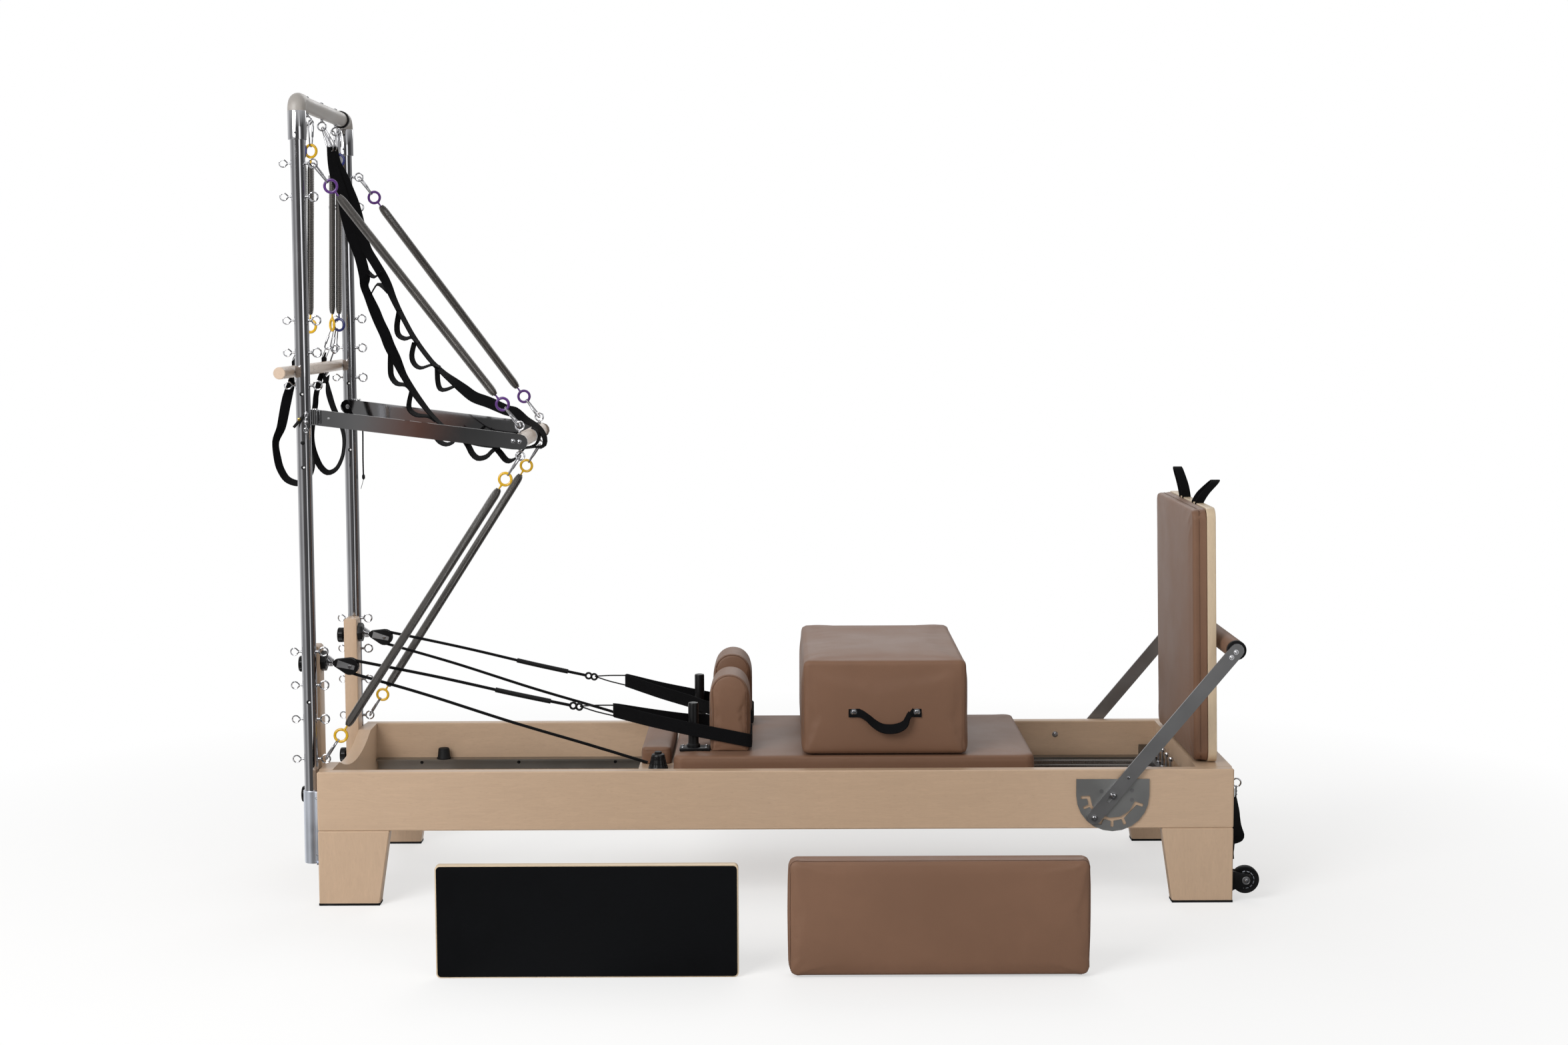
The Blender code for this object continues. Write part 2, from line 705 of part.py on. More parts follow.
def cushion(low, high, corner, crown, tuck, crown_axis=2, crown_sign=1, flat=False):
    """Make a cushion: a crowned face, sides drawn in between the corners, a flat back.

    The crown rises along crown_axis on the crown_sign side, and the opposite
    face stays flat, because it lies on something. A flat cushion gets a second
    ring of loops, which keeps the middle of its crown level.
    """
    low, high = Vector(low), Vector(high)
    middle, half = (low + high) / 2, (high - low) / 2
    shape = bmesh.new()
    bmesh.ops.create_cube(shape, size=2.0)
    for axis in range(3):
        if axis == crown_axis:
            cuts = [0.0]
        else:
            rings = (corner, corner * 2.0) if flat else (corner,)
            cuts = [hand * (half[axis] - ring) / half[axis] for ring in rings for hand in (-1, 1)]
        for place in cuts:
            point, normal = Vector((0.0, 0.0, 0.0)), Vector((0.0, 0.0, 0.0))
            point[axis], normal[axis] = place, 1.0
            everything = shape.verts[:] + shape.edges[:] + shape.faces[:]
            bmesh.ops.bisect_plane(shape, geom=everything, plane_co=point, plane_no=normal)
    sides = [axis for axis in range(3) if axis != crown_axis]
    for vertex in shape.verts:
        place = vertex.co.copy()
        inner = [abs(place[axis]) < 0.999 for axis in sides]
        front = place[crown_axis] * crown_sign > 0.999
        waist = abs(place[crown_axis]) < 0.5
        for axis in range(3):
            vertex.co[axis] = middle[axis] + place[axis] * half[axis]
        if front and not all(inner):
            vertex.co[crown_axis] -= crown_sign * crown
        for axis, free, other_free in ((sides[0], inner[0], inner[1]), (sides[1], inner[1], inner[0])):
            if waist and not free and other_free:
                vertex.co[axis] -= math.copysign(tuck, place[axis])
    mesh = bpy.data.meshes.new("cushion")
    bmesh.ops.recalc_face_normals(shape, faces=shape.faces)
    shape.to_mesh(mesh)
    shape.free()
    obj = bpy.data.objects.new("cushion", mesh)
    bpy.context.scene.collection.objects.link(obj)
    smooth = obj.modifiers.new("soft", "SUBSURF")
    smooth.levels = 1
    smooth.render_levels = 1
    return obj


def make_rails():
    """Two side rails."""
    for label, side in SIDES.items():
        low, high = (-HALF_LENGTH, INNER_HALF_WIDTH, RAIL_BOTTOM), (HALF_LENGTH, HALF_WIDTH, RAIL_TOP)
        rail = mirrored_block(side, low, high)
        part(round_edges(rail, ROUND_OVER), f"side_rail_{label}", "maple")


def make_end_boards():
    """The scooped board at the tower end, and the board with the shelf at the foot end."""
    reach = INNER_HALF_WIDTH - GAP
    board = block((-HALF_LENGTH, -reach, RAIL_BOTTOM), (-HALF_LENGTH + END_BOARD_THICK, reach, RAIL_TOP))
    scoop_radius = (SCOOP_HALF_WIDTH**2 + SCOOP_DEPTH**2) / (2 * SCOOP_DEPTH)
    centre_z = RAIL_TOP - SCOOP_DEPTH + scoop_radius
    start = (-HALF_LENGTH - END_BOARD_THICK / 2, 0.0, centre_z)
    end = (-HALF_LENGTH + END_BOARD_THICK * 1.5, 0.0, centre_z)
    scoop = rod(start, end, scoop_radius, sides=96)
    part(cut(board, scoop), "head_board", "maple")

    inner = HALF_LENGTH - END_BOARD_THICK
    outline = [
        (HALF_LENGTH, RAIL_BOTTOM),
        (HALF_LENGTH, RAIL_TOP),
        (HALF_LENGTH - SHELF_DEPTH, RAIL_TOP),
        (HALF_LENGTH - SHELF_DEPTH, RAIL_TOP - SHELF_THICK),
        (inner, RAIL_TOP - SHELF_THICK),
        (inner, RAIL_BOTTOM),
    ]
    part(plate(outline, 2 * reach, 0.0), "foot_board", "maple")


def make_legs():
    """Four legs under the rails. The two at the foot end carry the wheel forks."""
    top = RAIL_BOTTOM - GAP
    for end_name, end in (("tower", -1), ("foot", 1)):
        for label, side in SIDES.items():
            outline = [
                (end * HALF_LENGTH, 0.0),
                (end * HALF_LENGTH, top),
                (end * (HALF_LENGTH - LEG_TOP_LENGTH), top),
                (end * (HALF_LENGTH - LEG_FOOT_LENGTH), 0.0),
            ]
            leg = round_edges(plate(outline, LEG_THICK, side * (HALF_WIDTH - LEG_THICK / 2)), ROUND_OVER)
            if end > 0:
                add_wheel_fork(leg, side)
            part(leg, f"leg_{end_name}_{label}", "maple")


def add_wheel_fork(leg, side):
    """Join the two cheeks and the pin of a transport wheel's fork to a leg."""
    half_space = TRANSPORT_WIDTH / 2 + GAP
    inside = HALF_LENGTH - LEG_THICK / 2
    for hand in (-1, 1):
        near_y = side * TRANSPORT_Y + hand * half_space
        far_y = near_y + hand * TRANSPORT_FORK_WIDTH
        low_y, high_y = sorted((near_y, far_y))
        half_height = TRANSPORT_FORK_HEIGHT / 2
        fuse(
            leg,
            block(
                (inside, low_y, TRANSPORT_Z - half_height),
                (TRANSPORT_X + TRANSPORT_PIN_RADIUS * 2, high_y, TRANSPORT_Z + half_height),
            ),
        )
    reach = half_space + TRANSPORT_FORK_WIDTH / 2
    start = (TRANSPORT_X, side * TRANSPORT_Y - reach, TRANSPORT_Z)
    end = (TRANSPORT_X, side * TRANSPORT_Y + reach, TRANSPORT_Z)
    fuse(leg, rod(start, end, TRANSPORT_PIN_RADIUS, sides=16))


def make_transport_wheels():
    """Two wheels that meet the floor when the tower end is lifted."""
    half = TRANSPORT_WIDTH / 2
    bore = TRANSPORT_PIN_RADIUS + PIN_PLAY
    shoulder = TRANSPORT_RADIUS - TRANSPORT_SHOULDER
    profile = [(TRANSPORT_RADIUS, half / 2), (TRANSPORT_RADIUS, -half / 2)]
    profile += [(shoulder, -half), (bore, -half), (bore, half), (shoulder, half)]
    for label, side in SIDES.items():
        wheel = turned(profile, (TRANSPORT_X, side * TRANSPORT_Y, TRANSPORT_Z), steps=16)
        part(wheel, f"transport_wheel_{label}", "black_rubber", smooth=True)


def make_tracks():
    """Angle tracks on the rails, and the rubber stops that stand on them."""
    left = -HALF_LENGTH + END_BOARD_THICK + TRACK_END_SPACE
    right = HALF_LENGTH - SHELF_DEPTH - TRACK_END_SPACE
    outer = INNER_HALF_WIDTH - GAP
    inner = outer - TRACK_WIDTH
    stop_low = TRACK_TOP + GAP
    for label, side in SIDES.items():
        low, high = (left, inner, TRACK_TOP - TRACK_HEIGHT), (right, outer, TRACK_TOP)
        track = mirrored_block(side, low, high)
        hollow = mirrored_block(
            side,
            (left - TRACK_WALL, inner - TRACK_WALL, TRACK_TOP - TRACK_HEIGHT - TRACK_WALL),
            (right + TRACK_WALL, outer - TRACK_WALL, TRACK_TOP - TRACK_WALL),
        )
        cut(track, hollow)
        part(track, f"track_{label}", "aluminium")
        stop_y = side * WHEEL_Y
        stop = rod(
            (STOP_X, stop_y, stop_low),
            (STOP_X, stop_y, stop_low + STOP_HEIGHT),
            STOP_FOOT_RADIUS,
            STOP_TOP_RADIUS,
            sides=16,
        )
        part(stop, f"track_stop_{label}", "black_rubber")


def make_spring_bar():
    """The bar that the carriage springs hook on to, with its pegs."""
    reach = INNER_HALF_WIDTH - GAP
    top = SPRING_BAR_BOTTOM + SPRING_BAR_HEIGHT
    bar = block(
        (SPRING_BAR_X - SPRING_BAR_WIDTH / 2, -reach, SPRING_BAR_BOTTOM),
        (SPRING_BAR_X + SPRING_BAR_WIDTH / 2, reach, top),
    )
    for y in peg_places():
        start = (SPRING_BAR_X, y, top - SPRING_BAR_HEIGHT / 2)
        end = (SPRING_BAR_X, y, top + SPRING_PEG_HEIGHT)
        fuse(bar, rod(start, end, SPRING_PEG_RADIUS, sides=8))
    part(bar, "spring_bar", "black_rubber")


def peg_places():
    """Return the places across the machine of the carriage springs and their pegs."""
    first = -SPRING_PEG_PITCH * (SPRING_PEG_COUNT - 1) / 2
    return [first + SPRING_PEG_PITCH * i for i in range(SPRING_PEG_COUNT)]


def make_poles():
    """Two chrome poles, each with its holder, its pairs of eyebolts and the pivot of the push bar."""
    for label, side in SIDES.items():
        y = side * POLE_Y
        pole = rod((POLE_X, y, POLE_BOTTOM), (POLE_X, y, POLE_TOP), POLE_RADIUS, sides=20)
        low = (POLE_X - POLE_RADIUS - HOLDER_WALL, y - HOLDER_WIDTH / 2, HOLDER_BOTTOM)
        high = (-HALF_LENGTH - GAP, y + HOLDER_WIDTH / 2, HOLDER_TOP)
        fuse(pole, round_edges(block(low, high), ROUND_OVER))
        for z in POLE_EYE_HEIGHTS:
            for hand in (-1, 1):
                direction = Vector((hand, 0.0, 0.0))
                root = Vector((POLE_X + hand * POLE_RADIUS, y, z))
                held = hand > 0 and z in (POLE_EYE_HEIGHTS[0], POLE_EYE_HEIGHTS[-1])
                ring_points = HELD_EYE_RING_POINTS if held else EYE_RING_POINTS
                fuse(pole, eyebolt(root, direction, Vector((0.0, 0.0, 1.0)), ring_points))
        arm_inside = side * (PUSH_ARM_Y - PUSH_ARM_THICK / 2 - GAP)
        head_end = arm_inside - side * PIVOT_HEAD_THICK
        shank_end = arm_inside - side * GAP
        start, end = (POLE_X, y, PUSH_PIVOT_Z), (POLE_X, shank_end, PUSH_PIVOT_Z)
        shank = rod(start, end, PIVOT_BOLT_RADIUS, sides=12)
        start, end = (POLE_X, arm_inside, PUSH_PIVOT_Z), (POLE_X, head_end, PUSH_PIVOT_Z)
        fuse(pole, shank, rod(start, end, PIVOT_HEAD_RADIUS, sides=12))
        part(pole, f"pole_{label}", "chrome", smooth=False)


def make_top_bar():
    """The bar across the top, its elbows and sleeves, and three eyebolts."""
    elbow_start = POLE_Y - ELBOW_BEND
    bar = rod((POLE_X, -elbow_start, TOP_BAR_Z), (POLE_X, elbow_start, TOP_BAR_Z), TOP_BAR_RADIUS, sides=20)
    for side in SIDES.values():
        bend = arc((elbow_start, TOP_BAR_Z - ELBOW_BEND), ELBOW_BEND, 0.0, 90.0, 5)
        path = [(POLE_X, side * POLE_Y, SLEEVE_BOTTOM)]
        path += [(POLE_X, side * y, z) for y, z in bend]
        path.append((POLE_X, side * (elbow_start - ELBOW_OVERLAP), TOP_BAR_Z))
        fuse(bar, tube(path, SLEEVE_RADIUS, resolution=3))
        start = (POLE_X, side * POLE_Y, SLEEVE_BOTTOM - HOLDER_WALL)
        end = (POLE_X, side * POLE_Y, POLE_TOP + GAP)
        cut(bar, rod(start, end, POLE_BORE_RADIUS, sides=20))
    for y in top_eye_places():
        root = (POLE_X, y, TOP_BAR_Z - TOP_BAR_RADIUS)
        fuse(bar, eyebolt(root, (0.0, 0.0, -1.0), (1.0, 0.0, 0.0)))
    part(bar, "top_bar", "pale_paint")


def top_eye_places():
    """Return where the eyebolts of the top bar are, across the machine."""
    return (-TOP_EYE_SPACING, 0.0, TOP_EYE_SPACING)


def make_push_bar():
    """The push-through bar: flat arms that turn on the poles, and a wooden handle."""
    MACHINE.add("push_bar_axis", (POLE_X, 0.0, PUSH_PIVOT_Z))
    heading = Vector((math.cos(PUSH_SLOPE), math.sin(PUSH_SLOPE)))
    pivot = Vector((POLE_X, PUSH_PIVOT_Z))
    half_height = PUSH_ARM_HEIGHT / 2
    tip = pivot + heading * (PUSH_ARM_REACH + PUSH_ARM_TIP - half_height)
    for label, side in SIDES.items():
        y = side * PUSH_ARM_Y
        arm = plate(capsule(pivot, tip, half_height), PUSH_ARM_THICK, y)
        hole = rod(
            (POLE_X, y - PUSH_ARM_THICK, PUSH_PIVOT_Z),
            (POLE_X, y + PUSH_ARM_THICK, PUSH_PIVOT_Z),
            PIVOT_BOLT_RADIUS + PIN_PLAY,
            sides=12,
        )
        part(cut(arm, hole), f"push_arm_{label}", "chrome", "push_bar_axis")

    reach = PUSH_ARM_Y - PUSH_ARM_THICK / 2 - GAP
    start, end = (PUSH_HANDLE_X, -reach, PUSH_HANDLE_Z), (PUSH_HANDLE_X, reach, PUSH_HANDLE_Z)
    handle = rod(start, end, PUSH_HANDLE_RADIUS, sides=20)
    for side in SIDES.values():
        for up in (-1, 1):
            fuse(handle, eyebolt(handle_eye_root(side, up), (0.0, 0.0, up), (1.0, 0.0, 0.0)))
    part(handle, "push_handle", "maple", "push_bar_axis")


def handle_eye_root(side, up):
    """Return where an eyebolt leaves the push handle."""
    return (PUSH_HANDLE_X, side * PUSH_EYE_Y, PUSH_HANDLE_Z + up * PUSH_HANDLE_RADIUS)


def make_push_springs():
    """Four springs from the poles' eyebolts to the push handle's."""
    pole_eyes = {"upper": POLE_EYE_HEIGHTS[0], "lower": POLE_EYE_HEIGHTS[-1]}
    for level, up in (("upper", 1), ("lower", -1)):
        for label, side in SIDES.items():
            pole_root = (POLE_X + POLE_RADIUS, side * POLE_Y, pole_eyes[level])
            start = eye_centre(pole_root, (1.0, 0.0, 0.0))
            end = eye_centre(handle_eye_root(side, up), (0.0, 0.0, up))
            along = (end - start).normalized()
            clear = EYE_OUTER + GAP
            start, end = start + along * clear, end - along * clear
            end_length = (end - start).length * SPRING_END_SHARE
            name = f"{level}_spring_{label}"
            radius, wire, curls = SPRING_RADIUS, SPRING_WIRE_RADIUS, PUSH_SPRING_CURL_COUNT
            coil = spring(name, start, end, radius, wire, curls, end_length)
            part(coil, name, "spring_steel")


def make_roll_down():
    """The roll-down bar with its eyebolts and hand loops, and its two pairs of springs."""
    half = ROLL_BAR_LENGTH / 2
    bar = rod((ROLL_BAR_X, -half, ROLL_BAR_Z), (ROLL_BAR_X, half, ROLL_BAR_Z), ROLL_BAR_RADIUS, sides=16)
    for side in SIDES.values():
        root = (ROLL_BAR_X, side * ROLL_EYE_Y, ROLL_BAR_Z + ROLL_BAR_RADIUS)
        fuse(bar, eyebolt(root, (0.0, 0.0, 1.0), (1.0, 0.0, 0.0)))
    for y in HAND_LOOP_YS:
        fuse(bar, strip(hand_loop_path(y), (0.0, HAND_LOOP_WEB, 0.0), WEB_THICK, closed=True))
    part(bar, "roll_down_bar", "maple")

    for label, side in SIDES.items():
        top_root = (POLE_X, side * TOP_EYE_SPACING, TOP_BAR_Z - TOP_BAR_RADIUS)
        bar_root = (ROLL_BAR_X, side * ROLL_EYE_Y, ROLL_BAR_Z + ROLL_BAR_RADIUS)
        top = eye_centre(top_root, (0.0, 0.0, -1.0))
        bottom = eye_centre(bar_root, (0.0, 0.0, 1.0))
        along = (bottom - top).normalized()
        clear = EYE_OUTER + GAP
        pair = roll_spring_pair(label, top + along * clear, bottom - along * clear)
        part(pair, f"roll_springs_{label}", "spring_steel")


def roll_spring_pair(label, top, bottom):
    """Make two springs side by side, joined by a link at each end."""
    half = Vector((ROLL_SPRING_SPACING / 2, 0.0, 0.0))
    along = (bottom - top).normalized()
    coils = []
    for hand in (-1, 1):
        start = top + hand * half + along * ROLL_LINK_RADIUS
        end = bottom + hand * half - along * ROLL_LINK_RADIUS
        name = f"roll_spring_{label}_{hand}"
        radius, wire, curls = ROLL_SPRING_RADIUS, ROLL_SPRING_WIRE_RADIUS, ROLL_SPRING_CURL_COUNT
        coil = spring(name, start, end, radius, wire, curls, ROLL_SPRING_END)
        coils.append(coil)
    reach = half * 1.5
    for place in (top + along * ROLL_LINK_RADIUS, bottom - along * ROLL_LINK_RADIUS):
        coils.append(rod(place - reach, place + reach, ROLL_LINK_RADIUS, sides=6))
    pair = coils[0]
    return fuse(pair, *coils[1:])


def hand_loop_path(y):
    """Return the points of a webbing loop that goes round the roll-down bar."""
    collar = ROLL_BAR_RADIUS + WEB_THICK / 2 - GAP
    points = [(ROLL_BAR_X + x, y, ROLL_BAR_Z + z) for x, z in arc((0.0, 0.0), collar, -50.0, 230.0, 8)]
    drop, half = HAND_LOOP_DROP, HAND_LOOP_HALF_WIDTH
    shares = ((0.22, 0.45), (0.45, 0.80), (0.68, 1.0), (0.86, 0.82), (0.97, 0.40))
    left = [(ROLL_BAR_X - half * x, y, ROLL_BAR_Z - drop * z) for z, x in shares]
    right = [(ROLL_BAR_X + half * x, y, ROLL_BAR_Z - drop * z) for z, x in reversed(shares)]
    return points + left + [(ROLL_BAR_X, y, ROLL_BAR_Z - drop)] + right


def make_ladder_strap():
    """The sewn ladder strap from the top bar's middle eyebolt to the push handle."""
    eye_bottom = TOP_BAR_Z - TOP_BAR_RADIUS - EYE_REACH - EYE_OUTER - 2 * GAP
    handle_top = (PUSH_HANDLE_X, PUSH_HANDLE_Z + PUSH_HANDLE_RADIUS + WEB_THICK / 2 + GAP)
    strand_a = [(x, POLE_TOP - drop) for x, drop in STRAND_A] + [handle_top]
    strand_b = [(x, POLE_TOP - drop) for x, drop in STRAND_B] + [handle_top]
    strap = strip([(x, 0.0, z) for x, z in strand_a], (0.0, STRAP_WIDTH, 0.0), WEB_THICK)
    fuse(strap, strip([(x, 0.0, z) for x, z in strand_b], (0.0, STRAP_WIDTH - WEB_THICK, 0.0), WEB_THICK))
    strap_top = (strand_b[0][0] - STRAP_HOOK_RADIUS, 0.0, strand_b[0][1] - STRAP_HOOK_RADIUS)
    hook_bend = (POLE_X, 0.0, eye_bottom - 2 * STRAP_HOOK_RADIUS)
    hook = tube([(POLE_X, 0.0, eye_bottom), hook_bend, strap_top], STRAP_HOOK_RADIUS)
    part(fuse(strap, hook), "ladder_strap", "black_webbing")


def knob(z):
    """Return the pieces of a clamping knob on the outside of a riser."""
    face = -HALF_LENGTH - GAP - RISER_DEPTH
    neck_end = face - KNOB_NECK_LENGTH
    return (
        ((neck_end - KNOB_LENGTH, z), (neck_end, z), KNOB_RADIUS),
        ((neck_end - KNOB_LENGTH / 2, z), (face + RISER_DEPTH / 2, z), KNOB_NECK_RADIUS),
    )


def make_risers():
    """Wooden rope risers with clamping knobs, and the flange and stem of each pulley."""
    face = -HALF_LENGTH - GAP
    for label, side in SIDES.items():
        y = side * RISER_Y
        riser = block(
            (face - RISER_DEPTH, y - RISER_WIDTH / 2, RISER_BOTTOM), (face, y + RISER_WIDTH / 2, RISER_TOP)
        )
        round_edges(riser, ROUND_OVER * 2)
        for z in KNOB_HEIGHTS:
            for start, end, radius in knob(z):
                fuse(riser, rod((start[0], y, start[1]), (end[0], y, end[1]), radius, sides=12))
        stem_z = PULLEY_NOSE_Z + STEM_RISE
        flange_end = face + FLANGE_LENGTH
        flange_start = face - RISER_DEPTH / 4
        fuse(riser, rod((flange_start, y, stem_z), (flange_end, y, stem_z), FLANGE_RADIUS, sides=16))
        nose = PULLEY_NOSE_X - PULLEY_NOSE_RADIUS - GAP
        stem_start, stem_end = (flange_end - GAP, y, stem_z), (nose, y, PULLEY_NOSE_Z)
        fuse(riser, rod(stem_start, stem_end, STEM_BASE_RADIUS, STEM_TIP_RADIUS, sides=10))
        part(riser, f"riser_{label}", "maple")


def teardrop():
    """Return the outline of a pulley's cheek: a round end drawn out to a small nose."""
    heading = math.degrees(math.atan2(PULLEY_NOSE_Z - PULLEY_Z, PULLEY_NOSE_X - PULLEY_X))
    length = math.hypot(PULLEY_NOSE_Z - PULLEY_Z, PULLEY_NOSE_X - PULLEY_X)
    lean = math.degrees(math.acos((CHEEK_RADIUS - PULLEY_NOSE_RADIUS) / length))
    round_end = arc((PULLEY_X, PULLEY_Z), CHEEK_RADIUS, heading + lean, heading + 360.0 - lean, 11)
    nose = arc((PULLEY_NOSE_X, PULLEY_NOSE_Z), PULLEY_NOSE_RADIUS, heading - lean, heading + lean, 4)
    return round_end + nose


def make_pulleys():
    """Pulley blocks with two cheeks, a bridge and a pin, and the sheaves in them."""
    bore = SHEAVE_PIN_RADIUS + PIN_PLAY
    half = SHEAVE_HALF_WIDTH
    top, bottom = GROOVE_HALF_WIDTH_TOP, GROOVE_HALF_WIDTH_BOTTOM
    profile = [(SHEAVE_RADIUS, half), (SHEAVE_RADIUS, top), (SHEAVE_GROOVE_RADIUS, bottom)]
    profile += [(SHEAVE_GROOVE_RADIUS, -bottom), (SHEAVE_RADIUS, -top), (SHEAVE_RADIUS, -half)]
    profile += [(bore, -half), (bore, half)]
    inside = half + GAP
    for label, side in SIDES.items():
        y = side * RISER_Y
        cheek = plate(teardrop(), CHEEK_THICK, y - inside - CHEEK_THICK / 2)
        other = plate(teardrop(), CHEEK_THICK, y + inside + CHEEK_THICK / 2)
        reach = inside + CHEEK_THICK / 2
        half_height = PULLEY_NOSE_RADIUS * 0.6
        bridge_left = PULLEY_NOSE_X - PULLEY_NOSE_RADIUS * 0.8
        bridge_right = PULLEY_X - SHEAVE_RADIUS - BRIDGE_SPACE
        low = (bridge_left, y - reach, PULLEY_NOSE_Z - half_height)
        high = (bridge_right, y + reach, PULLEY_NOSE_Z + half_height)
        bridge = block(low, high)
        start, end = (PULLEY_X, y - reach, PULLEY_Z), (PULLEY_X, y + reach, PULLEY_Z)
        pin = rod(start, end, SHEAVE_PIN_RADIUS, sides=12)
        part(fuse(cheek, other, bridge, pin), f"pulley_block_{label}", "black_rubber")
        sheave = turned(profile, (PULLEY_X, y, PULLEY_Z), steps=14)
        part(sheave, f"pulley_wheel_{label}", "black_rubber", smooth=True)


def strap_loop(side):
    """Return the points of the shoulder strap, which goes round the post and the rest."""
    outer = REST_OUTER_Y + WEB_THICK / 2 + GAP + 0.004
    inner = REST_INNER_Y - WEB_THICK / 2 - GAP - 0.004
    right = REST_RIGHT + WEB_THICK / 2 + 0.004
    tip_y = (POST_Y + REST_OUTER_Y) / 2
    plan = [
        (-0.428, tip_y + 0.006, 0.495),
        (-0.330, outer - 0.006, 0.470),
        (-0.234, outer, 0.449),
        (-0.160, outer, 0.434),
        (right - 0.012, outer, 0.417),
        (right - 0.002, outer - 0.005, 0.414),
        (right, outer - 0.016, 0.413),
        (right, inner + 0.016, 0.413),
        (right - 0.004, inner + 0.004, 0.414),
        (right - 0.014, inner, 0.417),
        (-0.184, inner, 0.439),
        (-0.240, inner + 0.045, 0.450),
        (-0.330, tip_y - 0.060, 0.470),
        (-0.420, tip_y - 0.014, 0.493),
        (-0.431, tip_y - 0.004, 0.495),
    ]
    return [(x, side * y, z) for x, y, z in plan]


def rope_path(side):
    """Return the points of a rope: from its strap, round its pulley, to its cleat."""
    tip_y = (POST_Y + REST_OUTER_Y) / 2
    y = RISER_Y
    start = (-0.4295, side * tip_y, 0.495)
    top = [(x, side * (y - inward), z) for x, inward, z in ROPE_TOP_RUN]
    wrap = arc((PULLEY_X, PULLEY_Z), ROPE_LAY_RADIUS, 78.0, 256.0, 9)
    bend = [(x, side * y, z) for x, z in wrap]
    cleat_side = CLEAT_X - CLEAT_RADIUS - ROPE_RADIUS
    low = [(x, side * (y + outward), z) for x, outward, z in ROPE_LOW_RUN]
    end = (cleat_side, side * CLEAT_Y, PLATFORM_TOP + 0.018)
    return [start] + top + bend + low + [end]


def make_ropes():
    """Two ropes, each with the webbing strap that it pulls."""
    for label, side in SIDES.items():
        rope = tube(rope_path(side), ROPE_RADIUS, resolution=2)
        strap = strip(strap_loop(side), (0.0, 0.0, 0.036), WEB_THICK, closed=True)
        part(fuse(rope, strap), f"rope_{label}", "black_webbing")


def make_carriage():
    """The carriage board with its axle blocks, hook bar and cleats, and its wheels."""
    low, high = PLATFORM_BOTTOM, PLATFORM_TOP
    board = block((CARRIAGE_LEFT, -CARRIAGE_HALF_WIDTH, low), (CARRIAGE_RIGHT, CARRIAGE_HALF_WIDTH, high))
    hook_low, hook_high = SPRING_HOOK_X - SPRING_HOOK_THICK / 2, SPRING_HOOK_X + SPRING_HOOK_THICK / 2
    hook_reach = SPRING_PEG_PITCH * SPRING_PEG_COUNT / 2
    hook_bottom = (hook_low, -hook_reach, low - SPRING_HOOK_DROP)
    fuse(board, block(hook_bottom, (hook_high, hook_reach, low + GAP)))
    half = AXLE_BLOCK_SIZE / 2
    for x in WHEEL_XS:
        for side in SIDES.values():
            y = side * AXLE_BLOCK_Y
            bottom = WHEEL_Z - WHEEL_AXLE_RADIUS * 2
            fuse(board, block((x - half, y - half, bottom), (x + half, y + half, low + GAP)))
            hole_start, hole_end = (x, y - AXLE_BLOCK_SIZE, WHEEL_Z), (x, y + AXLE_BLOCK_SIZE, WHEEL_Z)
            cut(board, rod(hole_start, hole_end, WHEEL_AXLE_RADIUS + PIN_PLAY, sides=12))
    for side in SIDES.values():
        y = side * CLEAT_Y
        base, top = (CLEAT_X, y, high - GAP), (CLEAT_X, y, high + CLEAT_HEIGHT)
        fuse(board, rod(base, top, CLEAT_RADIUS, CLEAT_TOP_RADIUS, sides=12))
    part(board, "carriage_platform", "maple")

    half_width = WHEEL_WIDTH / 2
    for label, x in zip(("tower", "foot"), WHEEL_XS):
        reach = WHEEL_Y + half_width
        axle_end = WHEEL_Y
        axle = rod((x, -axle_end, WHEEL_Z), (x, axle_end, WHEEL_Z), WHEEL_AXLE_RADIUS, sides=12)
        for side in SIDES.values():
            inner, outer = side * (WHEEL_Y - half_width), side * reach
            fuse(axle, rod((x, inner, WHEEL_Z), (x, outer, WHEEL_Z), WHEEL_RADIUS, sides=16))
        part(axle, f"carriage_wheels_{label}", "black_rubber")


def make_carriage_pads():
    """The mat, the headrest and the two shoulder rests."""
    low, high = (MAT_LEFT, -MAT_HALF_WIDTH, MAT_BOTTOM), (MAT_RIGHT, MAT_HALF_WIDTH, MAT_TOP)
    mat = cushion(low, high, MAT_CORNER, PAD_CROWN, PAD_TUCK, flat=True)
    part(mat, "carriage_mat", "tan_leather", smooth=True)
    head_right = MAT_LEFT - HEADREST_SPACE
    MACHINE.add("headrest_axis", (head_right, 0.0, MAT_BOTTOM + HEADREST_THICK))
    low = (head_right - HEADREST_LENGTH, -HEADREST_HALF_WIDTH, MAT_BOTTOM)
    high = (head_right, HEADREST_HALF_WIDTH, MAT_BOTTOM + HEADREST_THICK)
    headrest = cushion(low, high, HEADREST_CORNER, PAD_CROWN, PAD_TUCK)
    part(headrest, "headrest", "tan_leather", "headrest_axis", smooth=True)
    radius = REST_LENGTH / 2
    middle = REST_LEFT + radius
    outline = [(REST_LEFT, SEAT), (REST_RIGHT, SEAT)]
    outline += arc((middle, REST_TOP - radius), radius, 0.0, 180.0, 8)
    for label, side in SIDES.items():
        depth = REST_OUTER_Y - REST_INNER_Y
        rest = plate(outline, depth, side * (REST_INNER_Y + REST_OUTER_Y) / 2)
        round_edges(rest, REST_EDGE, segments=2, angle_deg=60)
        part(rest, f"shoulder_rest_{label}", "tan_leather", smooth=True)


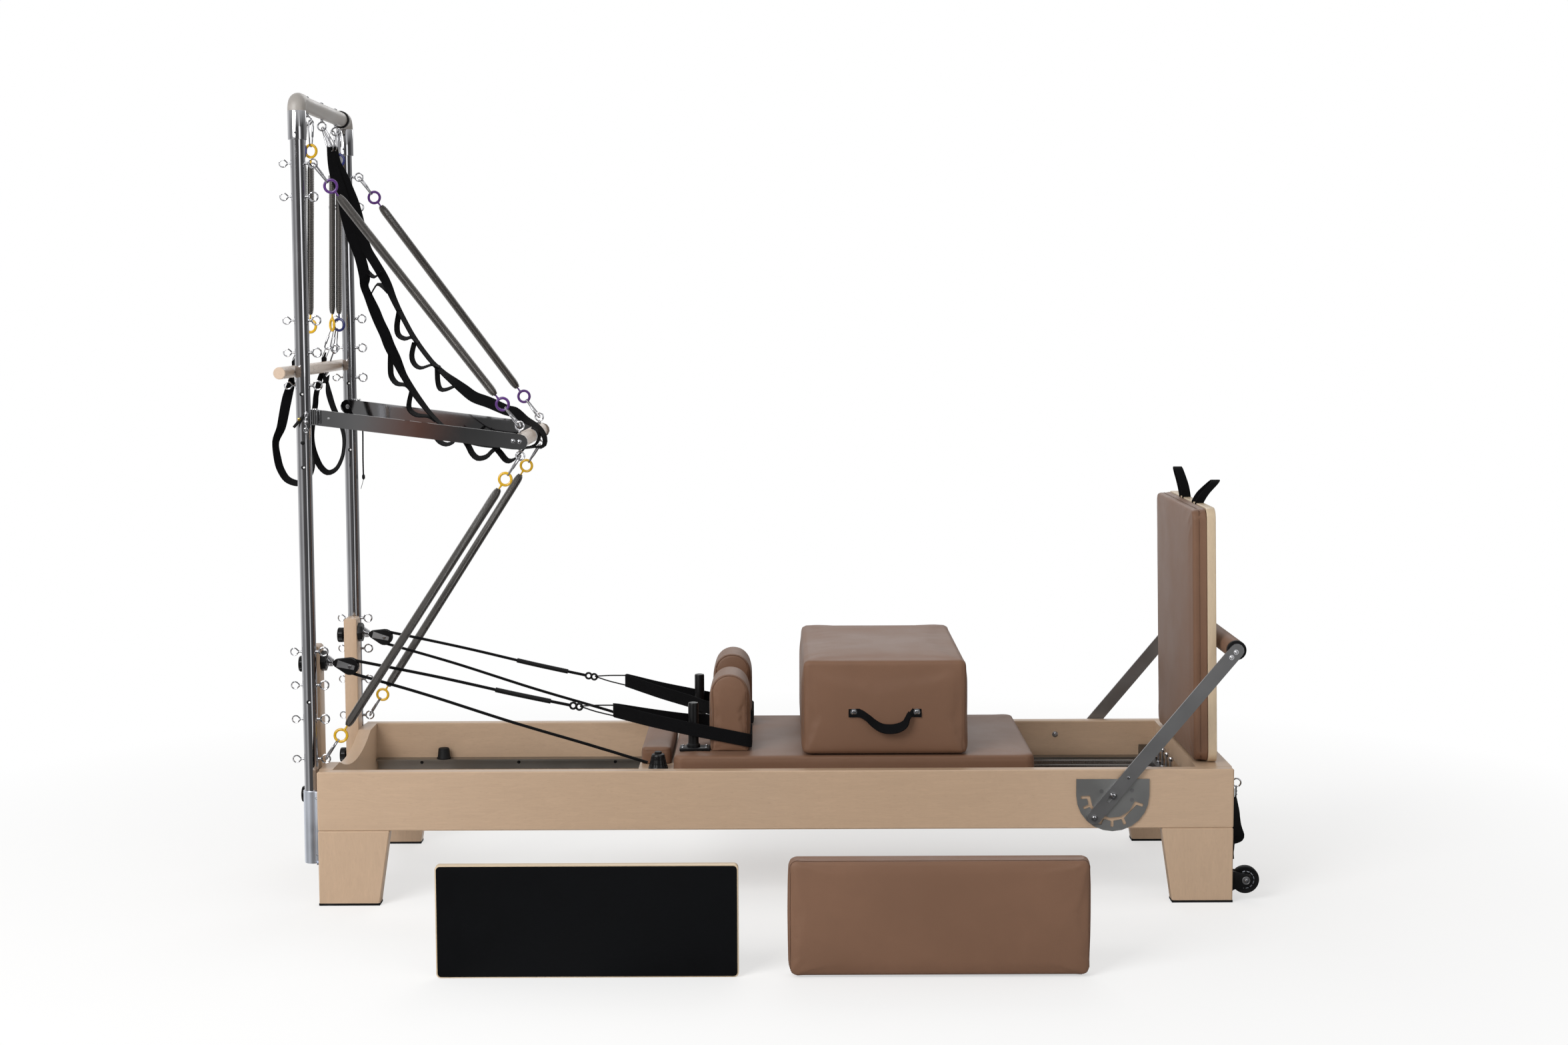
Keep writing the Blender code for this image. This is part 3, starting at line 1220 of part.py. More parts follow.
def make_strap_posts():
    """Black posts on plates that hold the shoulder straps."""
    for label, side in SIDES.items():
        y = side * POST_Y
        half_width = POST_PLATE_WIDTH / 2
        right = REST_LEFT - GAP
        low = (right - POST_PLATE_LENGTH, y - half_width, SEAT)
        base = block(low, (right, y + half_width, SEAT + POST_PLATE_THICK))
        start, end = (POST_X, y, SEAT + POST_PLATE_THICK / 2), (POST_X, y, SEAT + POST_HEIGHT)
        part(fuse(base, rod(start, end, POST_RADIUS, sides=12)), f"strap_post_{label}", "black_rubber")


def make_carriage_springs():
    """The springs under the carriage, joined by the bars that they hook on to."""
    left = SPRING_HOOK_X + SPRING_HOOK_THICK / 2 + GAP
    right = SPRING_BAR_X - SPRING_BAR_WIDTH / 2 - GAP
    z = SPRING_BAR_BOTTOM + SPRING_BAR_HEIGHT / 2
    link = CARRIAGE_LINK_RADIUS
    low_y = peg_places()[0] - CARRIAGE_SPRING_RADIUS
    high_y = peg_places()[-1] + CARRIAGE_SPRING_RADIUS
    group = rod((left + link, low_y, z), (left + link, high_y, z), link, sides=6)
    fuse(group, rod((right - link, low_y, z), (right - link, high_y, z), link, sides=6))
    for number, y in enumerate(peg_places()):
        start, end = (left + link, y, z), (right - link, y, z)
        name = f"carriage_spring_{number}"
        radius, wire, curls = CARRIAGE_SPRING_RADIUS, SPRING_WIRE_RADIUS, CARRIAGE_SPRING_CURL_COUNT
        fuse(group, spring(name, start, end, radius, wire, curls, CARRIAGE_SPRING_END))
    part(group, "carriage_springs", "spring_steel")


def make_sitting_box():
    """The padded sitting box and its webbing handle."""
    low, high = (BOX_LEFT, BOX_NEAR, SEAT), (BOX_RIGHT, BOX_FAR, SEAT + BOX_HEIGHT)
    box = cushion(low, high, BOX_CORNER, BOX_CROWN, BOX_TUCK)
    part(box, "sitting_box", "tan_leather", smooth=True)
    face = BOX_NEAR + BOX_TUCK / 2 - WEB_THICK / 2 - GAP
    handle_z = SEAT + BOX_HEIGHT - BOX_HANDLE_DROP
    steps = 14
    points = []
    for i in range(steps + 1):
        share = i / steps
        inside = min(1.0, max(0.0, (share - BOX_HANDLE_TAB_SHARE) / (1 - 2 * BOX_HANDLE_TAB_SHARE)))
        wave = (1 - math.cos(2 * math.pi * inside)) / 2
        x = BOX_HANDLE_LEFT + (BOX_HANDLE_RIGHT - BOX_HANDLE_LEFT) * share
        points.append((x, face - BOX_HANDLE_STAND_OFF * wave, handle_z - BOX_HANDLE_SAG * wave))
    part(strip(points, (0.0, 0.0, BOX_HANDLE_WEB), WEB_THICK), "box_handle", "black_webbing")


def make_jump_board():
    """The jump board: a wooden panel with two webbing loops, and its pad."""
    pad_right = JUMP_PAD_LEFT + JUMP_PAD_THICK
    reach = CARRIAGE_HALF_WIDTH
    low, high = (JUMP_PAD_LEFT, -reach, JUMP_BOTTOM), (pad_right, reach, JUMP_TOP)
    pad = cushion(low, high, JUMP_CORNER, JUMP_CROWN, JUMP_CROWN / 2, crown_axis=0, crown_sign=-1)
    part(pad, "jump_board_pad", "tan_leather", smooth=True)
    left = pad_right + GAP
    right = left + JUMP_PANEL_THICK
    panel = block((left, -reach, JUMP_BOTTOM), (right, reach, JUMP_TOP))
    round_edges(panel, ROUND_OVER)
    middle = (left + right) / 2
    for y in JUMP_LOOP_YS:
        half = JUMP_LOOP_SPAN / 2
        rise = JUMP_LOOP_HEIGHT - half
        points = [(middle, y - half, JUMP_TOP - JUMP_LOOP_SEAT)]
        points += [(middle, y + a, JUMP_TOP + rise + b) for a, b in arc((0.0, 0.0), half, 180.0, 0.0, 6)]
        points.append((middle, y + half, JUMP_TOP - JUMP_LOOP_SEAT))
        fuse(panel, strip(points, (JUMP_PANEL_THICK * 0.7, 0.0, 0.0), WEB_THICK))
    part(panel, "jump_board_panel", "maple")


def gear_slot():
    """Return the outline of the arc slot and its notches in a gear plate."""
    first, last = GEAR_NOTCH_ANGLES_DEG[0], GEAR_NOTCH_ANGLES_DEG[-1]
    half_at_notch = math.degrees(GEAR_NOTCH_WIDTH / 2 / GEAR_NOTCH_OUTER)
    half_at_slot = math.degrees(GEAR_NOTCH_WIDTH / 2 / GEAR_SLOT_OUTER)
    polar = []
    for angle in GEAR_NOTCH_ANGLES_DEG:
        polar.append((GEAR_SLOT_OUTER, angle - half_at_slot))
        polar.append((GEAR_NOTCH_OUTER, angle - half_at_notch))
        polar.append((GEAR_NOTCH_OUTER, angle + half_at_notch))
        polar.append((GEAR_SLOT_OUTER, angle + half_at_slot))
    steps = 6
    start, end = last + half_at_slot, first - half_at_slot
    polar += [(GEAR_SLOT_INNER, start + (end - start) * i / steps) for i in range(steps + 1)]
    return [
        (FOOT_PIVOT_X + r * math.cos(math.radians(a)), FOOT_PIVOT_Z + r * math.sin(math.radians(a)))
        for r, a in polar
    ]


def make_gear_plates():
    """Steel plates on the rails with the notches that set the foot bar's angle."""
    half = GEAR_PLATE_WIDTH / 2
    outline = [(FOOT_PIVOT_X + half, GEAR_PLATE_TOP), (FOOT_PIVOT_X - half, GEAR_PLATE_TOP)]
    outline += arc((FOOT_PIVOT_X, FOOT_PIVOT_Z), GEAR_PLATE_RADIUS, 180.0, 360.0, 12)
    for label, side in SIDES.items():
        y = side * (HALF_WIDTH + GAP + GEAR_PLATE_THICK / 2)
        gear = plate(outline, GEAR_PLATE_THICK, y)
        cut(gear, plate(gear_slot(), GEAR_PLATE_THICK * 2, y))
        hole_start = (FOOT_PIVOT_X, y - GEAR_PLATE_THICK, FOOT_PIVOT_Z)
        hole_end = (FOOT_PIVOT_X, y + GEAR_PLATE_THICK, FOOT_PIVOT_Z)
        cut(gear, rod(hole_start, hole_end, FOOT_BOLT_RADIUS + PIN_PLAY, sides=12))
        part(gear, f"gear_plate_{label}", "grey_steel")


def make_foot_bar():
    """The foot bar: pivot bolts, slotted flat arms with lock pins, and the roller."""
    MACHINE.add("foot_bar_axis", (FOOT_PIVOT_X, 0.0, FOOT_PIVOT_Z))
    pivot = Vector((FOOT_PIVOT_X, FOOT_PIVOT_Z))
    heading = Vector((math.cos(FOOT_ANGLE), math.sin(FOOT_ANGLE)))
    half_width = FOOT_ARM_WIDTH / 2
    low_end, high_end = pivot - heading * FOOT_PIN_RADIUS_FROM_PIVOT, pivot + heading * FOOT_ARM_REACH
    slot_low = pivot - heading * FOOT_SLOT_LENGTH
    outer_face = FOOT_ARM_INNER + FOOT_ARM_THICK
    for label, side in SIDES.items():
        y = side * (FOOT_ARM_INNER + FOOT_ARM_THICK / 2)
        arm = plate(capsule(low_end, high_end, half_width), FOOT_ARM_THICK, y)
        slot = capsule(slot_low, pivot, FOOT_BOLT_RADIUS + PIN_PLAY, steps=8)
        cut(arm, plate(slot, FOOT_ARM_THICK * 2, y))
        pin_start = (low_end.x, side * (FOOT_ARM_INNER + FOOT_ARM_THICK / 2), low_end.y)
        pin_end = (low_end.x, side * (outer_face + PIVOT_HEAD_THICK), low_end.y)
        fuse(arm, rod(pin_start, pin_end, FOOT_BOLT_RADIUS * 1.6, sides=12))
        part(arm, f"footbar_arm_{label}", "grey_steel", "foot_bar_axis")

        bolt_start = (FOOT_PIVOT_X, side * (HALF_WIDTH + 2 * GAP), FOOT_PIVOT_Z)
        bolt_end = (FOOT_PIVOT_X, side * (outer_face + 2 * GAP), FOOT_PIVOT_Z)
        head_start = (FOOT_PIVOT_X, side * (outer_face + GAP), FOOT_PIVOT_Z)
        head_end = (FOOT_PIVOT_X, side * (outer_face + GAP + PIVOT_HEAD_THICK), FOOT_PIVOT_Z)
        bolt = rod(bolt_start, bolt_end, FOOT_BOLT_RADIUS, sides=12)
        fuse(bolt, rod(head_start, head_end, FOOT_BOLT_RADIUS * 1.8, sides=12))
        part(bolt, f"footbar_pivot_{label}", "chrome", "foot_bar_axis")

    reach = FOOT_ARM_INNER - GAP
    roller = rod((ROLLER_X, -reach, ROLLER_Z), (ROLLER_X, reach, ROLLER_Z), FOOT_ROLLER_RADIUS, sides=24)
    part(roller, "footbar_roller", "tan_leather", "foot_bar_axis")


def make_boards():
    """The two loose boards that stand in front of the machine."""
    standing = block(
        (STANDING_LEFT, STANDING_FRONT, 0.0),
        (STANDING_LEFT + STANDING_LENGTH, STANDING_FRONT + STANDING_THICK, STANDING_HEIGHT),
    )
    part(round_edges(standing, ROUND_OVER), "standing_platform", "black_rubber")
    low = (PADDED_LEFT, PADDED_FRONT, 0.0)
    high = (PADDED_LEFT + PADDED_LENGTH, PADDED_FRONT + PADDED_THICK, PADDED_HEIGHT)
    padded = cushion(low, high, PADDED_CORNER, PADDED_CROWN, 0.0, crown_axis=1, crown_sign=-1)
    part(padded, "padded_platform", "tan_leather", smooth=True)


def build():
    """Make every piece of the machine, then move it to its place."""
    clear_scene()
    MACHINE.add("machine", (0.0, 0.0, 0.0), parent=None)
    make_rails()
    make_end_boards()
    make_legs()
    make_transport_wheels()
    make_tracks()
    make_spring_bar()
    make_poles()
    make_top_bar()
    make_push_bar()
    make_push_springs()
    make_roll_down()
    make_ladder_strap()
    make_risers()
    make_pulleys()
    make_ropes()
    make_carriage()
    make_carriage_pads()
    make_strap_posts()
    make_carriage_springs()
    make_sitting_box()
    make_jump_board()
    make_gear_plates()
    make_foot_bar()
    make_boards()
    MACHINE.settle()


if __name__ == "__main__":
    build()
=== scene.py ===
"""The look of the pilates reformer with its tower.

Every piece is shaped in the machine's own metres: X runs along it with the
tower at -X, Y across it with the near side at -Y, and Z up from the floor.
settle() moves a finished mesh to the machine's place and dresses it.
"""

import json
import logging
import math
from dataclasses import dataclass
from enum import Enum
from typing import Callable, Dict, List, Optional, Sequence, Tuple

import bpy
import numpy as np
from mathutils import Matrix, Vector, kdtree

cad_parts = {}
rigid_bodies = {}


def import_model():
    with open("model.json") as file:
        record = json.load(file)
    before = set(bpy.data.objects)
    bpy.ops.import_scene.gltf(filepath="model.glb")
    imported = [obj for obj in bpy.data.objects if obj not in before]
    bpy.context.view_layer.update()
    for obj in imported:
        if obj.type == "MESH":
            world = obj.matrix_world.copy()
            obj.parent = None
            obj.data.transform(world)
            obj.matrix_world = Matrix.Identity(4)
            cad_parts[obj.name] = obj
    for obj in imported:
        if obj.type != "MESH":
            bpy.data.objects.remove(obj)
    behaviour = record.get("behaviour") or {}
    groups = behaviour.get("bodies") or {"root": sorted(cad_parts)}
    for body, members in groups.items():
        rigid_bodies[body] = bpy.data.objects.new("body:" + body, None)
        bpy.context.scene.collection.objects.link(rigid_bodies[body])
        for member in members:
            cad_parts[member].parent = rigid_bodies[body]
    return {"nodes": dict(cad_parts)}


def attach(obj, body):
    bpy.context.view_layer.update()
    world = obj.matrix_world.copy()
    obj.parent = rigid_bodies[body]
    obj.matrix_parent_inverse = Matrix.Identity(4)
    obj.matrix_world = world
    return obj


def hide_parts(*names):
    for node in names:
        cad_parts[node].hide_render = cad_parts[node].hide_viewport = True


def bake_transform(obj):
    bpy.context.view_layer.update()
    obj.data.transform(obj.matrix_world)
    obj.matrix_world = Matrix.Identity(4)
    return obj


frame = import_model()

LOG = logging.getLogger("reformer")
ORIGIN = Vector((0.025, 0.3025, 0.0))
# How far a head is sunk into its surface, and how near still counts as on a face
GAP = 0.0003
TOUCH = 0.0001
# Edges sharper than this many degrees stay sharp, on soft pieces and on wound wire
SOFT, WOUND = 60.0, 70.0
X_AXIS, Y_AXIS, Z_AXIS = Vector((1, 0, 0)), Vector((0, 1, 0)), Vector((0, 0, 1))

Object = bpy.types.Object
Tree, Node, Socket = bpy.types.NodeTree, bpy.types.Node, bpy.types.NodeSocket
Test = Callable[[Vector, Vector], bool]
Profile = Sequence[Tuple[float, float]]
Triple = Sequence[float]
Colour = Tuple[float, float, float]


class Side(Enum):
    """The two long sides of the machine, as a sign on Y."""

    NEAR = -1
    FAR = 1

    @property
    def label(self) -> str:
        """The word that ends the names of this side's pieces."""
        return self.name.lower()


class Pick(Enum):
    """What an edit acts on."""

    POINTS = "VERT"
    EDGES = "EDGE"
    FACES = "FACE"


# Modelling by hand: selections, primitives and edits


def rest() -> None:
    """Leave edit mode and deselect every object."""
    if bpy.context.mode != "OBJECT":
        bpy.ops.object.mode_set(mode="OBJECT")
    bpy.ops.object.select_all(action="DESELECT")


def hold(obj: Object) -> None:
    """Make one object the only selected and active one.

    Args:
        obj: The object.
    """
    rest()
    bpy.context.view_layer.objects.active = obj
    obj.select_set(True)


def pick(obj: Object, kind: Pick, test: Test) -> None:
    """Open an object in edit mode with the parts that pass a test selected.

    Args:
        obj: The object to edit.
        kind: Points, edges or faces.
        test: Called with a part's middle and its normal, or an edge's direction.
    """
    hold(obj)
    bpy.ops.object.mode_set(mode="EDIT")
    bpy.ops.mesh.select_mode(type=kind.value)
    bpy.ops.mesh.select_all(action="DESELECT")
    bpy.ops.object.mode_set(mode="OBJECT")
    data = obj.data
    if kind is Pick.POINTS:
        for vertex in data.vertices:
            vertex.select = test(vertex.co, vertex.normal)
    elif kind is Pick.EDGES:
        for edge in data.edges:
            a, b = (data.vertices[i].co for i in edge.vertices)
            edge.select = test((a + b) / 2, (b - a).normalized())
    else:
        for face in data.polygons:
            face.select = test(face.center, face.normal)
    bpy.ops.object.mode_set(mode="EDIT")


def everything(obj: Object) -> None:
    """Open an object in edit mode with all of it selected.

    Args:
        obj: The object.
    """
    hold(obj)
    bpy.ops.object.mode_set(mode="EDIT")
    bpy.ops.mesh.select_mode(type="VERT")
    bpy.ops.mesh.select_all(action="SELECT")


def soften(obj: Object, radius: float, segments: int, test: Test) -> None:
    """Round the edges that pass a test.

    Args:
        obj: The object.
        radius: The size of the rounding.
        segments: How many steps it has.
        test: Called with an edge's middle and its direction.
    """
    pick(obj, Pick.EDGES, test)
    bpy.ops.mesh.bevel(offset=radius, segments=segments, affect="EDGES")
    rest()


def outward(obj: Object, weld: float = 1e-6) -> Object:
    """Merge an object's doubles and turn its faces outwards.

    Args:
        obj: The mesh object.
        weld: Points nearer than this are merged.

    Returns:
        The same object, in object mode.
    """
    everything(obj)
    bpy.ops.mesh.remove_doubles(threshold=weld)
    bpy.ops.mesh.normals_make_consistent(inside=False)
    rest()
    return obj


def apply_all(obj: Object) -> Object:
    """Apply every modifier of an object, in order, and return it.

    Args:
        obj: The object.

    Returns:
        The same object.
    """
    hold(obj)
    for modifier in list(obj.modifiers):
        bpy.ops.object.modifier_apply(modifier=modifier.name)
    return obj


def block(low: Triple, high: Triple, edge: float = 0.0, segments: int = 2) -> Object:
    """Make a block between two corners, with rounded edges.

    Args:
        low: Its lowest corner.
        high: Its highest corner.
        edge: The radius of its edges, or 0 to leave them sharp.
        segments: How many steps each round edge has.

    Returns:
        The mesh object.
    """
    rest()
    low, high = Vector(low), Vector(high)
    bpy.ops.mesh.primitive_cube_add(size=1.0, location=(low + high) / 2, scale=high - low)
    obj = bpy.context.object
    bpy.ops.object.transform_apply(location=True, rotation=True, scale=True)
    if edge:
        everything(obj)
        bpy.ops.mesh.bevel(offset=edge, segments=segments, affect="EDGES")
        rest()
    return obj


def aim(obj: Object, base: Triple, direction: Triple, roll: Optional[Triple] = None) -> Object:
    """Turn a mesh made along +Z to a direction, and move it to its base.

    Args:
        obj: The object, whose mesh stands on the origin.
        base: Where the origin goes.
        direction: Where +Z goes.
        roll: Where +X goes, as near as it can.

    Returns:
        The same object.
    """
    z = Vector(direction).normalized()
    x = Vector(roll) if roll is not None else (X_AXIS if abs(z.x) < 0.9 else Y_AXIS)
    x = (x - z * x.dot(z)).normalized()
    y = z.cross(x)
    turn = Matrix((x, y, z)).transposed().to_4x4()
    obj.data.transform(Matrix.Translation(Vector(base)) @ turn)
    return obj


def turned(
    base: Triple, direction: Triple, profile: Profile, sides: int = 32, hollow: bool = False
) -> Object:
    """Turn a piece on a lathe: a circle is extruded and resized along its profile.

    Args:
        base: The point on the axis where heights are 0.
        direction: The way the axis points.
        profile: (radius, height) steps.
        sides: How many points the circle has.
        hollow: True for a ring, whose profile comes back to its first step.

    Returns:
        The mesh object.
    """
    rest()
    radius, height = profile[0]
    fill = "NOTHING" if hollow else "NGON"
    bpy.ops.mesh.primitive_circle_add(
        vertices=sides, radius=radius, fill_type=fill, location=(0, 0, height)
    )
    obj = bpy.context.object
    bpy.ops.object.transform_apply(location=True, rotation=False, scale=False)
    everything(obj)
    steps = list(profile[1:]) + ([profile[0]] if hollow else [])
    for new_radius, new_height in steps:
        bpy.ops.mesh.extrude_region_move(TRANSFORM_OT_translate={"value": (0, 0, new_height - height)})
        share = new_radius / radius
        bpy.ops.transform.resize(value=(share, share, 1.0), center_override=(0, 0, new_height))
        radius, height = new_radius, new_height
    rest()
    return aim(outward(obj), base, direction)


def ring(
    centre: Triple, axis: Triple, radius: float, wire: float, stretch: float = 0.0,
    roll: Optional[Triple] = None
) -> Object:
    """Make a ring of wire, or a long link when its far half is moved away.

    Args:
        centre: The middle of its first half circle.
        axis: The way its plane faces.
        radius: From its middle to the middle of its wire.
        wire: The wire's radius.
        stretch: How far the half on the roll side is moved along roll.
        roll: The direction of the stretch.

    Returns:
        The mesh object.
    """
    rest()
    bpy.ops.mesh.primitive_torus_add(
        major_segments=28, minor_segments=8, major_radius=radius, minor_radius=wire, location=(0, 0, 0)
    )
    obj = bpy.context.object
    if stretch:
        pick(obj, Pick.POINTS, lambda place, normal: place.x > 1e-5)
        bpy.ops.transform.translate(value=(stretch, 0, 0))
        rest()
    return aim(obj, centre, axis, roll)


def copy_of(obj: Object, shift: Triple = (0, 0, 0)) -> Object:
    """Return a copy of an object with its own mesh, moved by a shift.

    Args:
        obj: The object to copy.
        shift: How far the copy is moved.

    Returns:
        The copy.
    """
    other = obj.copy()
    other.data = obj.data.copy()
    bpy.context.scene.collection.objects.link(other)
    other.data.transform(Matrix.Translation(Vector(shift)))
    return other


def joined(objects: Sequence[Object]) -> Object:
    """Join objects into the first one and return it.

    Args:
        objects: The objects, which end up in the first.

    Returns:
        The first object.
    """
    hold(objects[0])
    for obj in objects[1:]:
        obj.select_set(True)
    if len(objects) > 1:
        bpy.ops.object.join()
    rest()
    return objects[0]


def mesh_object(
    points: np.ndarray, faces: Sequence[Sequence[int]], uvs: Optional[np.ndarray] = None
) -> Object:
    """Make an object from points and faces.

    Args:
        points: The points, one row each.
        faces: Point numbers of each face.
        uvs: A pair for each corner of each face, in order.

    Returns:
        The mesh object.
    """
    mesh = bpy.data.meshes.new("piece")
    mesh.from_pydata([tuple(p) for p in points], [], [tuple(f) for f in faces])
    if uvs is not None:
        layer = mesh.uv_layers.new(name="cloth")
        layer.data.foreach_set("uv", np.asarray(uvs, np.float32).reshape(-1))
    obj = bpy.data.objects.new("piece", mesh)
    bpy.context.scene.collection.objects.link(obj)
    return obj


def points_of(obj: Object, what: str = "co") -> np.ndarray:
    """Read a value of each of a mesh's points.

    Args:
        obj: The mesh object.
        what: The value's name: co or normal.

    Returns:
        The values, one row for each point.
    """
    values = np.empty(len(obj.data.vertices) * 3)
    obj.data.vertices.foreach_get(what, values)
    return values.reshape(-1, 3)


def smooth_path(points: Sequence[Triple], step: float, closed: bool = False) -> List[Vector]:
    """Draw a smooth curve through points.

    Args:
        points: The points that it passes through.
        step: About how far apart the new points are.
        closed: True where the last point runs on to the first.

    Returns:
        The new points.
    """
    knots = [Vector(p) for p in points]
    count = len(knots)
    spans = count if closed else count - 1
    result: List[Vector] = []
    for i in range(spans):
        if closed:
            a, b, c, d = (knots[(i + k) % count] for k in (-1, 0, 1, 2))
        else:
            a, b, c, d = (knots[max(0, min(count - 1, i + k))] for k in (-1, 0, 1, 2))
        pieces = max(1, round((c - b).length / step))
        for j in range(pieces):
            t = j / pieces
            result.append(
                0.5 * (
                    (2 * b)
                    + (c - a) * t
                    + (2 * a - 5 * b + 4 * c - d) * t**2
                    + (3 * b - a - 3 * c + d) * t**3
                )
            )
    if not closed:
        result.append(knots[-1])
    return result


def sweep(points: Sequence[Triple], radius: float, sides: int = 8, closed: bool = False) -> Object:
    """Make a round tube along points, with a UV map in metres along and round it.

    Args:
        points: The middle line.
        radius: The tube's radius.
        sides: How many sides its section has.
        closed: True for a loop.

    Returns:
        The mesh object.
    """
    line = [Vector(p) for p in points]
    count = len(line)
    tangents = []
    for i in range(count):
        before = line[(i - 1) % count] if closed or i else line[0]
        after = line[(i + 1) % count] if closed or i < count - 1 else line[-1]
        tangents.append((after - before).normalized())
    side = tangents[0].orthogonal().normalized()
    rows, lengths, run = [], [], 0.0
    for i, (place, along) in enumerate(zip(line, tangents)):
        side = (side - along * side.dot(along)).normalized()
        other = along.cross(side)
        run += (place - line[i - 1]).length if i else 0.0
        lengths.append(run)
        for k in range(sides):
            angle = 2 * math.pi * k / sides
            rows.append(place + (side * math.cos(angle) + other * math.sin(angle)) * radius)
    faces, uvs = [], []
    around = 2 * math.pi * radius / sides
    for i in range(count if closed else count - 1):
        j = (i + 1) % count
        v0, v1 = lengths[i], lengths[j] if j else run + (line[0] - line[-1]).length
        for k in range(sides):
            n = (k + 1) % sides
            faces.append((i * sides + k, i * sides + n, j * sides + n, j * sides + k))
            uvs += [(k * around, v0), ((k + 1) * around, v0), ((k + 1) * around, v1), (k * around, v1)]
    if not closed:
        faces += [tuple(reversed(range(sides))), tuple(range((count - 1) * sides, count * sides))]
        uvs += [(0.0, 0.0)] * (2 * sides)
    return mesh_object(np.array([tuple(p) for p in rows]), faces, np.array(uvs))


def ribbon(
    points: Sequence[Triple], across: Sequence[Triple], width: float, thick: float, closed: bool = False
) -> Object:
    """Make a band of webbing, with a UV map in metres.

    Args:
        points: The middle line.
        across: The direction of the width at each point, or one for all.
        width: The webbing's width.
        thick: The webbing's thickness.
        closed: True for a loop.

    Returns:
        The mesh object, with its thickness and its soft edges applied.
    """
    line = [Vector(p) for p in points]
    count = len(line)
    ways = [Vector(a).normalized() for a in across]
    if len(ways) != count:
        ways = ways[:1] * count
    run, lengths, rows = 0.0, [], []
    for i, place in enumerate(line):
        run += (place - line[i - 1]).length if i else 0.0
        lengths.append(run)
        rows += [tuple(place - ways[i] * width / 2), tuple(place + ways[i] * width / 2)]
    faces, uvs = [], []
    for i in range(count if closed else count - 1):
        j = (i + 1) % count
        v0, v1 = lengths[i], lengths[j] if j else run + (line[0] - line[-1]).length
        faces.append((2 * i, 2 * j, 2 * j + 1, 2 * i + 1))
        uvs += [(0, v0), (0, v1), (width, v1), (width, v0)]
    obj = mesh_object(np.array(rows), faces, np.array(uvs))
    wall = obj.modifiers.new("thickness", "SOLIDIFY")
    wall.thickness, wall.offset, wall.use_even_offset = thick, 0.0, True
    soft = obj.modifiers.new("edges", "BEVEL")
    soft.width, soft.segments, soft.limit_method = thick * 0.3, 1, "ANGLE"
    soft.angle_limit = math.radians(60)
    return apply_all(obj)


def twisted(
    rows: Sequence[Triple], width: float, thick: float, closed: bool = False, step: float = 0.008
) -> Object:
    """Make a band that turns its flat side towards the machine's long side and away again.

    Args:
        rows: (x, y, z, shown) points, where shown is how wide it looks from the long side.
        width: The webbing's width.
        thick: The webbing's thickness.
        closed: True for a loop.
        step: About how far apart its points are.

    Returns:
        The mesh object.
    """
    line = smooth_path(rows, step, closed)
    count = len(line)
    across = []
    for i, place in enumerate(line):
        after = line[(i + 1) % count if closed else min(i + 1, count - 1)]
        before = line[i - 1 if closed else max(i - 1, 0)]
        level = (after - before).xyz.cross(Y_AXIS).normalized()
        lean = min(0.98, max(0.0, place[3] / width))
        across.append(Y_AXIS * math.sqrt(1 - lean * lean) + level * lean)
    return ribbon([place.xyz for place in line], across, width, thick, closed)


def plate(outline: Sequence[Tuple[float, float]], low_y: float, high_y: float, edge: float) -> Object:
    """Cut a flat plate to an outline of (x, z) points, and soften its edges.

    Args:
        outline: Its corners, in order.
        low_y: Its nearer face.
        high_y: Its farther face.
        edge: The radius of its edges.

    Returns:
        The mesh object.
    """
    obj = mesh_object(np.array([(x, low_y, z) for x, z in outline]), [range(len(outline))])
    everything(obj)
    bpy.ops.mesh.extrude_region_move(TRANSFORM_OT_translate={"value": (0, high_y - low_y, 0)})
    outward(obj)
    soften(obj, edge, 2, lambda place, way: abs(way.y) < 0.5)
    return obj


# Finishes


def srgb(red: int, green: int, blue: int) -> Colour:
    """Turn a colour read from the photograph into the renderer's own values.

    Args:
        red: Its red, from 0 to 255.
        green: Its green.
        blue: Its blue.

    Returns:
        The linear colour, from 0 to 1.
    """
    return tuple(
        (c / 255 / 12.92) if c <= 10 else ((c / 255 + 0.055) / 1.055) ** 2.4 for c in (red, green, blue)
    )


class Group:
    """A shader node group while it is built."""

    def __init__(self, name: str, inputs: Dict[str, object], outputs: Dict[str, str]) -> None:
        """Make the group with its sockets.

        Args:
            name: The group's name.
            inputs: Each input's default value; None makes a vector.
            outputs: Each output's socket type.
        """
        self.tree = bpy.data.node_groups.new(name, "ShaderNodeTree")
        for label, value in inputs.items():
            kind = "NodeSocketVector" if value is None else "NodeSocketFloat"
            socket = self.tree.interface.new_socket(name=label, in_out="INPUT", socket_type=kind)
            if value is not None:
                socket.default_value = value
        for label, kind in outputs.items():
            self.tree.interface.new_socket(name=label, in_out="OUTPUT", socket_type=kind)
        self.source = self.tree.nodes.new("NodeGroupInput")
        self.sink = self.tree.nodes.new("NodeGroupOutput")

    def node(self, kind: str, settings: Optional[Dict[str, object]] = None, **links: object) -> Node:
        """Add a node and set or link its inputs by name."""
        return add_node(self.tree, kind, settings, **links)

    def maths(self, operation: str, first: object, second: object = 0.0) -> Socket:
        """Add a maths node and return its output."""
        return maths(self.tree, operation, first, second)

    def ramp(self, factor: Socket, stops: Sequence[Tuple[float, object]]) -> Socket:
        """Add a colour ramp and return its output."""
        return ramp(self.tree, factor, stops)

    def out(self, label: str, socket: Socket) -> None:
        """Link a socket to one of the group's outputs."""
        self.tree.links.new(socket, self.sink.inputs[label])


def feed(tree: Tree, socket: Socket, value: object) -> None:
    """Link another socket to an input, or set any other value there.

    Args:
        tree: The tree that they are in.
        socket: The input.
        value: The socket or value.
    """
    if isinstance(value, Socket):
        tree.links.new(value, socket)
    else:
        socket.default_value = value


